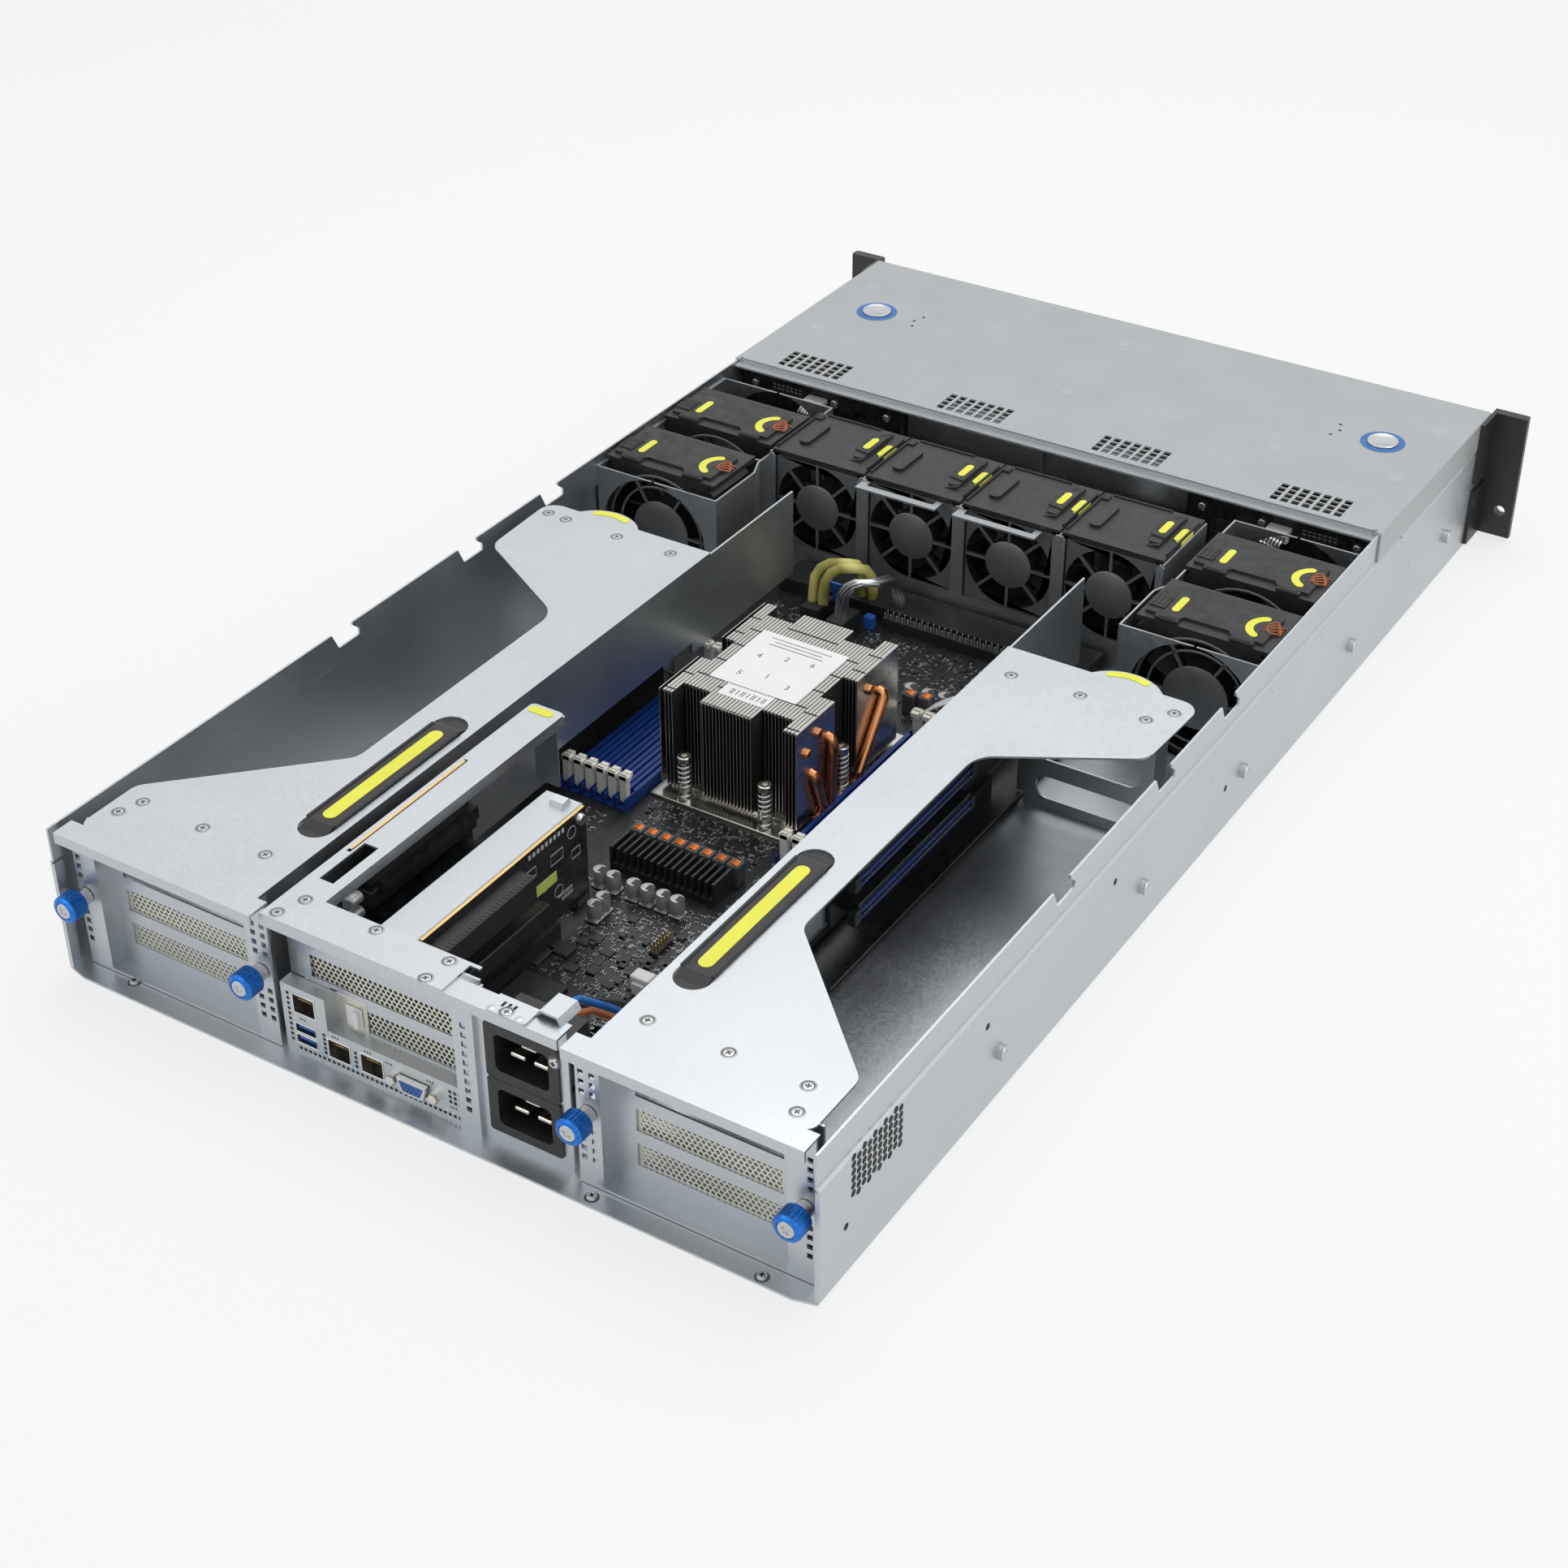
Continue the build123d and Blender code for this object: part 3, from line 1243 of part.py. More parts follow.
# Front bays: upright walls with rails for the drive trays, and a bay for the power supplies
bay_rear = backplane_y
rail_heights = [sheet + fit_gap + row * tray_pitch for row in range(tray_rows)]
with BuildPart() as front_bays:
    slab(level(sheet), (bay_wall_x, wall_inner), (bay_rear, front_y), sheet / 2)
    slab(along(bay_wall_x), (bay_rear, front_y), (sheet, wall_top - fit_gap), sheet)
    tray_inner = bay_wall_x + sheet + fit_gap
    tray_outer = tray_inner + tray_width
    slab(along(tray_outer + fit_gap), (bay_rear, front_y), (sheet, wall_top - fit_gap), sheet)
    with BuildSketch(across(front_y)):
        for low in rail_heights[1:]:
            rectangle((bay_wall_x, tray_inner + rail_width), (low - sheet, low - fit_gap))
            rectangle((tray_outer - rail_width, tray_outer + sheet), (low - sheet, low - fit_gap))
    extrude(amount=front_y - bay_rear)
    mirror(about=Plane.YZ)
    slab(along(-sheet / 2), (bay_rear, front_y), (sheet, wall_top - fit_gap), sheet)
save(front_bays.part, "front_bays")


def drive_tray(low):
    """Tray with a drive in it: side rails, a front bezel with a lever, and a connector cut."""
    with BuildPart() as tray:
        slab(level(low + sheet / 2), (tray_inner, tray_outer), (front_y, bay_rear - tray_plug_room), tray_height - sheet)
        with BuildSketch(across(front_y + fit_gap)):
            rectangle((tray_inner, tray_outer), (low + sheet / 2, low + tray_height - sheet / 2))
        extrude(amount=bezel_reach)
        # Release lever on the bezel
        with BuildSketch(across(front_y - bezel_reach + fit_gap)):
            rectangle((tray_inner + 8, tray_inner + 30), (low + 7, low + tray_height - 7))
            chamfer(vertices(), sheet)
        extrude(amount=sheet)
        # Side channels that run over the rails
        slab(along(tray_inner), (front_y + 5, bay_rear - tray_plug_room), (low + 8, low + tray_height - 8), sheet,
             Mode.SUBTRACT)
        slab(along(tray_outer - sheet), (front_y + 5, bay_rear - tray_plug_room), (low + 8, low + tray_height - 8),
             sheet, Mode.SUBTRACT)
    return tray.part


for row, low in enumerate(rail_heights):
    tray = drive_tray(low + sheet / 2)
    save(tray, "drive_tray_left_" + str(row + 1))
    save(mirrored(tray), "drive_tray_right_" + str(row + 1))

# Power supply modules with a bow handle and a fan mouth at the front
with BuildPart() as power_supply_left:
    supply_left = sheet / 2 + fit_gap
    supply_right = supply_left + supply_width
    supply_low = sheet + fit_gap
    slab(level(supply_low), (supply_left, supply_right), (front_y, bay_rear - supply_plug_room), supply_height)
    middle_x = (supply_left + supply_right) / 2
    with BuildSketch(across(front_y)):
        with Locations((middle_x + 12, supply_low + supply_height / 2)):
            RegularPolygon(26, 16, mode=Mode.ADD)
            RegularPolygon(10, 12, mode=Mode.SUBTRACT)
    extrude(amount=-6, mode=Mode.SUBTRACT)
    with BuildSketch(level(supply_low + supply_height / 2 - 4)):
        handle_front = front_y - front_reach
        rectangle((supply_left + 4, supply_left + 22), (handle_front, front_y))
        rectangle((supply_left + 7, supply_left + 19), (handle_front + 3, front_y), mode=Mode.SUBTRACT)
    extrude(amount=8)
save(power_supply_left.part, "power_supply_left")
save(mirrored(power_supply_left.part), "power_supply_right")

# Backplanes on the rear of the bays, with a connector for each tray and supply
with BuildPart() as backplanes:
    board_outer = tray_outer + fit_gap + sheet
    slab(across(bay_rear + board_sheet), (bay_wall_x, board_outer), (2 * sheet, wall_top - 4), board_sheet)
    for low in rail_heights:
        slab(across(bay_rear + board_sheet), (tray_inner + 30, tray_outer - 20), (low + 6, low + 16), -4)
    slab(across(bay_rear + board_sheet), (sheet, bay_wall_x), (2 * sheet, 62), board_sheet)
    slab(across(bay_rear), (middle_x - 25, middle_x + 25), (20, 34), 3)
    mirror(about=Plane.YZ)
save(backplanes.part, "backplanes")


def lead(section_radius, sides, *points):
    """Tube of a lead: straight runs, with each corner cut back as far as the runs allow."""
    places = [Vector(*point) for point in points]
    course = [places[0]]
    for before, at, after in zip(places, places[1:], places[2:]):
        cut = lead_corner_share * min((at - before).length, (after - at).length)
        course.append(at + (before - at).normalized() * cut)
        course.append(at + (after - at).normalized() * cut)
    course.append(places[-1])
    with BuildLine() as path:
        Polyline(*course)
    with BuildSketch(path.line ^ 0) as section:
        RegularPolygon(section_radius, sides)
    sweep(section.sketch, path=path.line, transition=Transition.RIGHT)


# Power leads from the inlets, gathered in a thick sleeve that runs along the right riser cage
with BuildPart() as power_leads:
    inlet_front = post_face - 2 * sheet - inlet_depth
    lead(
        thick_lead_radius, 6,
        (-88.5, 262, 12.5), (-89, 205, 12.0), (-88.6, 148, 12.6), (-89, 90, 12.0), (-88.4, 34, 13.2),
        (-89, -22, 19), (-86, -70, 24), (-75, -104, 27.5), (-64, fan_wall_y + sheet + 2.6, 29),
    )
    lead(
        lead_radius, 6,
        (-50, inlet_front - fit_gap, 58), (-51, inlet_front - 17, 57.5), (-59, 327, 51), (-72, 309, 38),
        (-83, 292, 22), (-87.6, 276, 15), (-88.5, 262.2, 14.9),
    )
    lead(
        lead_radius, 6,
        (-62, inlet_front - fit_gap, 20), (-63, inlet_front - 16, 19.5), (-70, 330, 16), (-80, 312, 12), (-86, 292, 9.6),
        (-89, 274, 9.2), (-89, 262.2, 9.4),
    )
save(power_leads.part, "power_leads")

# Sleeved cables that rise from the board connectors and dive behind the air dam
with BuildPart() as signal_leads:
    plug_top = board_top + plug_height + fit_gap
    dam_top = board_top + dam_height + fit_gap
    for x, y, radius in ((77.2, -80, lead_radius), (69.8, -80, lead_radius), (53, -72, thick_lead_radius)):
        crest = plug_top + lead_rise - (77 - x) / 8
        end_x = x - lead_run
        end_y = board_front + 2 * lead_radius
        lead(radius, 6, (x, y, plug_top), (x, y, crest), (end_x, end_y, crest), (end_x, end_y, dam_top))
save(signal_leads.part, "signal_leads")
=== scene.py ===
# %% [markdown]
# # A two-unit rack server, dressed for the camera
# The solids of this server come from CAD and arrive here as a fixed frame. This lesson gives them
# their finishes and adds the small things that a sheet-metal shop and a board factory leave on a
# real one: screws, rivets, stamped marks, perforated covers, board parts, labels and wires.
# Every length is written in millimetres, as on a drawing, and divided by a thousand on the way in.

# %% Open the frame
import bpy
import bmesh
import math
import random
from mathutils import Matrix, Vector


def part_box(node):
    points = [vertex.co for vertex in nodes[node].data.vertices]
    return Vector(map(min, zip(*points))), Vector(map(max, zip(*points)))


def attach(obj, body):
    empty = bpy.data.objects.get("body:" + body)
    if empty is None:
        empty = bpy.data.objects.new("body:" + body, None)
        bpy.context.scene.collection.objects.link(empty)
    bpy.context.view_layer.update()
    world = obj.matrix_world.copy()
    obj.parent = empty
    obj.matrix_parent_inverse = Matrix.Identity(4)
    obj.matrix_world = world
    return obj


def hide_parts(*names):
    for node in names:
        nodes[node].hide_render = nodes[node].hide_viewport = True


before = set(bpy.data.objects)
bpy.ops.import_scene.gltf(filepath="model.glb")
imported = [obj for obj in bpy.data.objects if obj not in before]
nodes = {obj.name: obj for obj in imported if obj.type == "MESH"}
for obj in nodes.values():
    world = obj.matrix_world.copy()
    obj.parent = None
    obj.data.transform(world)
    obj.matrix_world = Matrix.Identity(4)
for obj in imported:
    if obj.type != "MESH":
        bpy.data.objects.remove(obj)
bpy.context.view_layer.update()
MM = 0.001
TURN = 2 * math.pi
BOTH_SIDES = (("left", 1), ("right", -1))

# %% [markdown]
# ## The camera
# The photograph looks down on the corner between the rear and the right side, which is at minus x.
# Its direction and lens were solved from the known corners of the body, so the camera is a plain
# matrix: right, up, back and place.

# %% Camera
PHOTO_SIZE = 1932
FOCAL_PIXELS = 3280.0
SENSOR = 36.0
camera_data = bpy.data.cameras.new("photo_camera")
camera_data.sensor_width = SENSOR
camera_data.lens = FOCAL_PIXELS / PHOTO_SIZE * SENSOR
camera = bpy.data.objects.new("photo_camera", camera_data)
right = Vector((-0.84676, -0.53198, -0.00178)).normalized()
forward = Vector((0.43917, -0.69713, -0.56669)).normalized()
up = right.cross(forward)
camera.matrix_world = Matrix.Translation((-0.63836, 1.08891, 0.82791)) @ Matrix(
    ((right.x, up.x, -forward.x), (right.y, up.y, -forward.y), (right.z, up.z, -forward.z))
).to_4x4()
bpy.context.scene.collection.objects.link(camera)
bpy.context.scene.camera = camera
bpy.context.scene.view_settings.view_transform = "Standard"
print("lens", round(camera_data.lens, 2), "mm")

# %% [markdown]
# ## Building finishes
# A finish here is a small tree of shader nodes. Writing them by hand takes many lines, so three
# helpers keep it short: one adds a node, one starts a finish with its plain numbers on the
# shader's own sockets, and one gives a noise that reads the object's coordinates in metres.

# %% Finish helpers
def add(tree, kind, *links, **settings):
    """Add a node, set its properties and values, and link outputs to its inputs in order."""
    made = tree.nodes.new(kind)
    for name, value in settings.items():
        if name.startswith("in_"):
            key = name[3:].replace("_", " ")
            made.inputs[int(key) if key.isdigit() else key].default_value = value
        else:
            setattr(made, name, value)
    for index, output in enumerate(links):
        if output is not None:
            tree.links.new(output, made.inputs[index])
    return made


def finish(name, colour, roughness=0.5, metallic=0.0):
    """Start a finish and return its tree, its shader and the place on the object."""
    made = bpy.data.materials.new(name)
    made.use_nodes = True
    tree = made.node_tree
    shader = tree.nodes["Principled BSDF"]
    shader.inputs["Base Color"].default_value = (*colour, 1)
    shader.inputs["Roughness"].default_value = roughness
    shader.inputs["Metallic"].default_value = metallic
    place = add(tree, "ShaderNodeTexCoord").outputs["Object"]
    return made, tree, shader, place


def noise(tree, place, scale, detail=3.0, stretch=(1, 1, 1)):
    """Noise of a number of waves per metre, stretched along an axis."""
    mapping = add(tree, "ShaderNodeMapping", place)
    mapping.inputs["Scale"].default_value = [scale * s for s in stretch]
    return add(tree, "ShaderNodeTexNoise", mapping.outputs[0], in_Scale=1.0, in_Detail=detail).outputs["Fac"]


print("a node, a finish and a noise")

# %% Mixing helpers
def span(tree, value, low, high, from_low=0.3, from_high=0.7):
    """Stretch a value to a range."""
    made = add(tree, "ShaderNodeMapRange", value)
    for index, number in zip((1, 2, 3, 4), (from_low, from_high, low, high)):
        made.inputs[index].default_value = number
    return made.outputs[0]


def blend_colours(tree, factor, first, second):
    """Mix two colours, each a fixed one or the output of a node."""
    made = add(tree, "ShaderNodeMix", factor, data_type="RGBA")
    for index, colour in ((6, first), (7, second)):
        if isinstance(colour, tuple):
            made.inputs[index].default_value = (*colour, 1)
        else:
            tree.links.new(colour, made.inputs[index])
    return made.outputs[2]


def bump(tree, shader, height, strength, distance):
    """Turn a height into relief on the shader."""
    made = add(tree, "ShaderNodeBump", in_Strength=strength, in_Distance=distance)
    tree.links.new(height, made.inputs["Height"])
    tree.links.new(made.outputs[0], shader.inputs["Normal"])


print("finish helpers ready")

# %% [markdown]
# ## Galvanised sheet
# Zinc-coated steel is bright but never a mirror. Crystals of zinc, the spangle, reflect a little
# lighter or darker, the rolling leaves faint streaks, and handling leaves soft smudges. Voronoi
# cells give the crystals, a stretched noise the streaks, and a slow noise the smudges.

# %% Galvanised sheet
def galvanised(name, light, dark, rough_low, rough_high):
    """Zinc between two tones, with its gloss between two roughnesses."""
    made, tree, shader, place = finish(name, light, 0.4, 1.0)
    crystals = add(tree, "ShaderNodeTexVoronoi", place, in_Scale=900.0)
    tint = add(tree, "ShaderNodeSeparateColor", crystals.outputs["Color"]).outputs[0]
    streaks = noise(tree, place, 900.0, 2.0, (1, 0.03, 1))
    smudges = noise(tree, place, 14.0, 4.0)
    both = add(tree, "ShaderNodeMath", tint, streaks, operation="ADD").outputs[0]
    level = span(tree, both, 0.0, 1.0, 0.3, 1.7)
    colour = blend_colours(tree, level, dark, light)
    tree.links.new(colour, shader.inputs["Base Color"])
    worn = add(tree, "ShaderNodeMath", smudges, tint, operation="MULTIPLY_ADD", in_2=0.0).outputs[0]
    mixed = add(tree, "ShaderNodeMath", smudges, worn, operation="ADD").outputs[0]
    tree.links.new(span(tree, mixed, rough_low, rough_high, 0.35, 1.0), shader.inputs["Roughness"])
    fine = noise(tree, place, 2600.0, 2.0)
    bump(tree, shader, fine, 0.06, 0.00005)
    return made


zinc = galvanised("zinc_sheet", (0.545, 0.575, 0.60), (0.50, 0.53, 0.555), 0.34, 0.46)
# Painted shade: a darker copy of the same zinc for the sheets inside the chassis, standing in for the shade
# that falls there.
zinc_shaded_inside = galvanised("zinc_sheet_inside", (0.42, 0.44, 0.455), (0.37, 0.39, 0.405), 0.36, 0.50)
print("zinc finishes ready")

# %% [markdown]
# ## Paints, plastics and plated parts
# The front cover is a satin grey over steel, slightly cooler than the zinc. The fan bodies and
# connector shells are moulded in black with a fine spark-eroded grain. Both get a little
# unevenness in gloss, because a perfectly even gloss is what makes a render look like one.

# %% Paints and plastics
def grained(name, colour, roughness, metallic=0.0, grain=2200.0, relief=0.12, drift=0.12):
    """A finish with fine grain, slow drift in colour and uneven gloss."""
    made, tree, shader, place = finish(name, colour, roughness, metallic)
    slow = noise(tree, place, 30.0, 4.0)
    paler = tuple(min(1.0, c * (1 + drift) + 0.004) for c in colour)
    deeper = tuple(c * (1 - drift) for c in colour)
    tree.links.new(blend_colours(tree, span(tree, slow, 0.0, 1.0), deeper, paler),
                   shader.inputs["Base Color"])
    gloss = noise(tree, place, 160.0, 3.0)
    tree.links.new(span(tree, gloss, roughness * 0.85, min(1.0, roughness * 1.2)), shader.inputs["Roughness"])
    bump(tree, shader, noise(tree, place, grain, 2.0), relief, 0.00008)
    return made


cover_paint = grained("cover_satin_grey", (0.43, 0.445, 0.455), 0.42, 0.55, 1500.0, 0.05, drift=0.03)
ear_paint = grained("ear_satin_black", (0.013, 0.013, 0.014), 0.38, 0.0, 1200.0, 0.10)
black_plastic = grained("moulded_black", (0.012, 0.012, 0.013), 0.45)
soft_black = grained("soft_black", (0.018, 0.018, 0.019), 0.6)
rotor_black = grained("rotor_black", (0.022, 0.022, 0.024), 0.5)
slot_blue = grained("slot_blue", (0.008, 0.045, 0.235), 0.36)
socket_blue = grained("socket_blue", (0.012, 0.11, 0.42), 0.32)
ivory = grained("latch_ivory", (0.84, 0.82, 0.72), 0.42, drift=0.05)
white_plastic = grained("white_plastic", (0.80, 0.80, 0.78), 0.42, drift=0.04)
yellow_plastic = grained("marker_yellow", (0.86, 0.86, 0.07), 0.42, drift=0.05)
ring_blue = grained("ring_blue", (0.008, 0.135, 0.47), 0.38, drift=0.05)
nickel = grained("nickel_plate", (0.66, 0.64, 0.58), 0.26, 1.0, 1800.0, 0.04, drift=0.06)
screw_steel = grained("screw_steel", (0.52, 0.53, 0.54), 0.34, 1.0, 1800.0, 0.04, drift=0.06)
shell_steel = grained("connector_shell", (0.66, 0.65, 0.62), 0.27, 1.0, 1800.0, 0.05, drift=0.06)
copper = grained("heat_pipe_copper", (0.72, 0.30, 0.13), 0.24, 1.0, 900.0, 0.05, drift=0.15)
gold = grained("contact_gold", (0.86, 0.62, 0.26), 0.25, 1.0, 1800.0, 0.04, drift=0.06)
# Painted shade: a near-black finish laid in holes, slots, vents, mouths and screw crosses in place of the
# shade inside them.
dark_cavity = grained("dark_cavity", (0.006, 0.006, 0.007), 0.7)
print("paints and plastics ready")

# %% [markdown]
# ## Anodised knobs
# The thumbscrews are knurled aluminium under a blue anodic film. The film tints the metal, so it
# is a metal with a blue base colour, and the turned face has fine rings.

# %% Anodised knob
knob_blue, tree, shader, place = finish("anodised_blue", (0.012, 0.115, 0.42), 0.34, 0.8)
rings = noise(tree, place, 4000.0, 1.0, (0.02, 1, 0.02))
bump(tree, shader, rings, 0.12, 0.00005)
tint = noise(tree, place, 500.0, 3.0)
tree.links.new(blend_colours(tree, span(tree, tint, 0.0, 1.0), (0.014, 0.13, 0.5), (0.03, 0.22, 0.72)),
               shader.inputs["Base Color"])
print("anodised finish ready")

# %% [markdown]
# ## Solder mask
# The boards are black with a gloss lacquer over copper. Where copper lies under the lacquer the
# black is a little lighter, and the edges of pours and tracks show as faint relief. Brick cells
# at two sizes give tracks that run along and across, as a router lays them.

# %% Board black
board_black, tree, shader, place = finish("board_black", (0.008, 0.009, 0.010), 0.34)
cells = add(tree, "ShaderNodeTexVoronoi", place, in_Scale=260.0, distance="CHEBYCHEV")
pours = span(tree, cells.outputs["Distance"], 0.0, 1.0, 0.40, 0.44)
tracks = noise(tree, place, 480.0, 1.0, (1, 0.06, 1))
along_tracks = span(tree, tracks, 0.0, 1.0, 0.53, 0.55)
height = add(tree, "ShaderNodeMath", pours, along_tracks, operation="MAXIMUM").outputs[0]
tree.links.new(blend_colours(tree, height, (0.006, 0.007, 0.008), (0.017, 0.019, 0.020)),
               shader.inputs["Base Color"])
bump(tree, shader, height, 0.35, 0.00006)
print("board finish ready")

# %% [markdown]
# ## Which solid wears what
# Each CAD solid has one material slot, so a solid of one stuff simply takes its finish. Solids of
# mixed stuff take the finish of their largest part, and their other parts are laid over them later.

# %% Dress the solids
FINISH_OF = {
    "chassis_tray": zinc, "front_cover": cover_paint, "rack_ears": ear_paint, "rear_frame": zinc,
    "io_panel": zinc, "rear_ports": shell_steel, "power_inlets": black_plastic, "motherboard": board_black,
    "heatsink_base": nickel, "heatsink_fins": nickel, "dimm_slots": slot_blue, "board_parts": black_plastic,
    "middle_bracket": zinc, "middle_riser_boards": board_black, "fan_wall": zinc_shaded_inside,
    "side_fan_cages": zinc_shaded_inside, "front_bays": zinc_shaded_inside, "backplanes": board_black,
    "power_leads": soft_black, "signal_leads": yellow_plastic, "dimm_latches_rear": ivory,
    "dimm_latches_front": ivory,
}
for side, _ in BOTH_SIDES:
    FINISH_OF[f"riser_frame_{side}"] = zinc
    FINISH_OF[f"riser_board_{side}"] = board_black
    FINISH_OF[f"slot_covers_{side}"] = shell_steel
    FINISH_OF[f"riser_handle_{side}"] = black_plastic
    FINISH_OF[f"cover_button_{side}"] = screw_steel
    FINISH_OF[f"power_supply_{side}"] = zinc_shaded_inside
    for place_name in ("outer", "inner"):
        FINISH_OF[f"thumbscrew_{side}_{place_name}"] = knob_blue
    for number in (1, 2, 3):
        FINISH_OF[f"drive_tray_{side}_{number}"] = black_plastic
    for number in (1, 2):
        FINISH_OF[f"side_fan_{side}_{number}_module"] = black_plastic
        FINISH_OF[f"side_fan_{side}_{number}_rotor"] = rotor_black
for number in (1, 2, 3, 4):
    FINISH_OF[f"fan_{number}_module"] = black_plastic
    FINISH_OF[f"fan_{number}_rotor"] = rotor_black
for name, solid in nodes.items():
    solid.data.materials.clear()
    solid.data.materials.append(FINISH_OF[name])
print("dressed", len(nodes), "solids")

# %% [markdown]
# ## Shapes from a few rules
# Small hardware is made from plain rules: a block with its edges taken off, a turned profile, an
# outline given a thickness, and a pipe along a few points. A Shape gathers them in millimetres
# and turns them into one mesh that rides on one body of the server.

# %% Rings and the faces between them
def circle(count, radius=1.0):
    """Points on a circle, as pairs."""
    return [(radius * math.cos(TURN * i / count), radius * math.sin(TURN * i / count)) for i in range(count)]


def band(first, second, count):
    """Faces between two rings of as many points, which start at these two numbers."""
    return [(first + i, first + (i + 1) % count, second + (i + 1) % count, second + i) for i in range(count)]


def zipper(first, second):
    """Join two rings of points, each a list of (angle, index), with triangles."""
    faces, i, j = [], 0, 0
    while i < len(first) or j < len(second):
        here, there = first[i % len(first)], second[j % len(second)]
        next_a = first[(i + 1) % len(first)][0] + TURN * ((i + 1) // len(first))
        next_b = second[(j + 1) % len(second)][0] + TURN * ((j + 1) // len(second))
        if j >= len(second) or (i < len(first) and next_a <= next_b):
            faces.append((here[1], first[(i + 1) % len(first)][1], there[1]))
            i += 1
        else:
            faces.append((here[1], second[(j + 1) % len(second)][1], there[1]))
            j += 1
    return faces


print("a band of four joins", len(band(0, 4, 4)), "faces")

# %% Shape helper
SMOOTH_BELOW = math.radians(32)
ORDER_OF = {"z": lambda a, b, c: (a, b, c), "y": lambda a, b, c: (a, c, b), "x": lambda a, b, c: (c, a, b)}


class Shape:
    """Points in millimetres and the faces between them."""

    def __init__(self):
        self.points, self.faces = [], []

    def put(self, points, faces):
        """Add points, and faces that count from the first of them."""
        start = len(self.points)
        self.points += [Vector(p) for p in points]
        self.faces += [tuple(start + i for i in face) for face in faces]
        return self

    def block(self, low, high, edge=0.2):
        """A box between two corners, with its edges cut off."""
        made = bmesh.new()
        bmesh.ops.create_cube(made, size=1.0)
        size = [h - l for l, h in zip(low, high)]
        for vertex in made.verts:
            vertex.co = [l + s * (c + 0.5) for l, s, c in zip(low, size, vertex.co)]
        if edge:
            bmesh.ops.bevel(made, geom=list(made.edges), offset=min(edge, min(size) * 0.4), segments=1,
                            affect="EDGES")
        made.verts.index_update()
        self.put([v.co for v in made.verts], [[v.index for v in f.verts] for f in made.faces])
        made.free()
        return self

    def stack(self, rings):
        """Rings of as many points each, joined in order and closed at both ends."""
        count = len(rings[0])
        last = count * (len(rings) - 1)
        faces = [tuple(range(count))[::-1], tuple(range(last, last + count))]
        for start in range(0, last, count):
            faces += band(start, start + count, count)
        return self.put([point for ring in rings for point in ring], faces)

    def hoop(self, rings):
        """Rings of as many points each, joined in order, the last one to the first."""
        count = len(rings[0])
        faces = []
        for level in range(len(rings)):
            faces += band(level * count, (level + 1) % len(rings) * count, count)
        return self.put([point for ring in rings for point in ring], faces)

    def turned(self, centre, axis, profile, sides=24, knurl=0.0):
        """A profile of (radius, height) turned round an axis. Knurl lets in every second step."""
        turn = Vector(axis).to_track_quat("Z", "Y")
        rings = []
        for radius, height in profile:
            rings.append([])
            for step in range(sides):
                reach = radius * (1 - knurl * (step % 2))
                angle = TURN * step / sides
                local = Vector((reach * math.cos(angle), reach * math.sin(angle), height))
                rings[-1].append(Vector(centre) + turn @ local)
        return self.stack(rings)

    def outline(self, plane, corners, low, high):
        """A closed outline given a thickness. The plane is the axis that the thickness runs along."""
        order = ORDER_OF[plane]
        return self.stack([[order(a, b, level) for a, b in corners] for level in (low, high)])

    def pipe(self, points, radius, sides=10, flat=1.0):
        """A round or flattened tube through points."""
        places = [Vector(p) for p in points]
        rings, side = [], None
        for index, place in enumerate(places):
            ahead = places[min(index + 1, len(places) - 1)] - places[max(index - 1, 0)]
            ahead.normalize()
            side = ahead.orthogonal() if side is None else side - ahead * side.dot(ahead)
            side.normalize()
            other = ahead.cross(side)
            rings.append([place + side * a + other * flat * b for a, b in circle(sides, radius)])
        return self.stack(rings)

    def mesh(self, name):
        """The mesh in metres, with its faces outwards and its edges sharp."""
        data = bpy.data.meshes.new(name)
        data.from_pydata([tuple(p * MM for p in point) for point in self.points], [], self.faces)
        made = bmesh.new()
        made.from_mesh(data)
        bmesh.ops.recalc_face_normals(made, faces=made.faces)
        made.to_mesh(data)
        made.free()
        data.shade_smooth()
        data.set_sharp_from_angle(angle=SMOOTH_BELOW)
        return data


print("a block has", len(Shape().block((0, 0, 0), (1, 1, 1)).faces), "faces")

# %% Pieces that ride on a body
def settle(data, body, material, hides=(), name=None):
    """Make a piece of a mesh, give it its finish and let it ride on its body."""
    made = bpy.data.objects.new(name or data.name, data)
    bpy.context.scene.collection.objects.link(made)
    data.materials.clear()
    data.materials.append(material)
    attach(made, body)
    if hides:
        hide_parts(*hides)
    return made


def piece(name, body, shape, material, hides=()):
    """A Shape as a piece, and a line about it."""
    print(name, len(shape.faces), "faces on", body)
    return settle(shape.mesh(name), body, material, hides)

# %% [markdown]
# ## One tree for everything that repeats
# Screws, rivets, perforations and board parts are one small shape set at many places. A Geometry
# Nodes tree does that: it puts the shape on every point of a mesh, turned by the point's own
# attribute and grown by another, makes the copies real and gives them one finish.

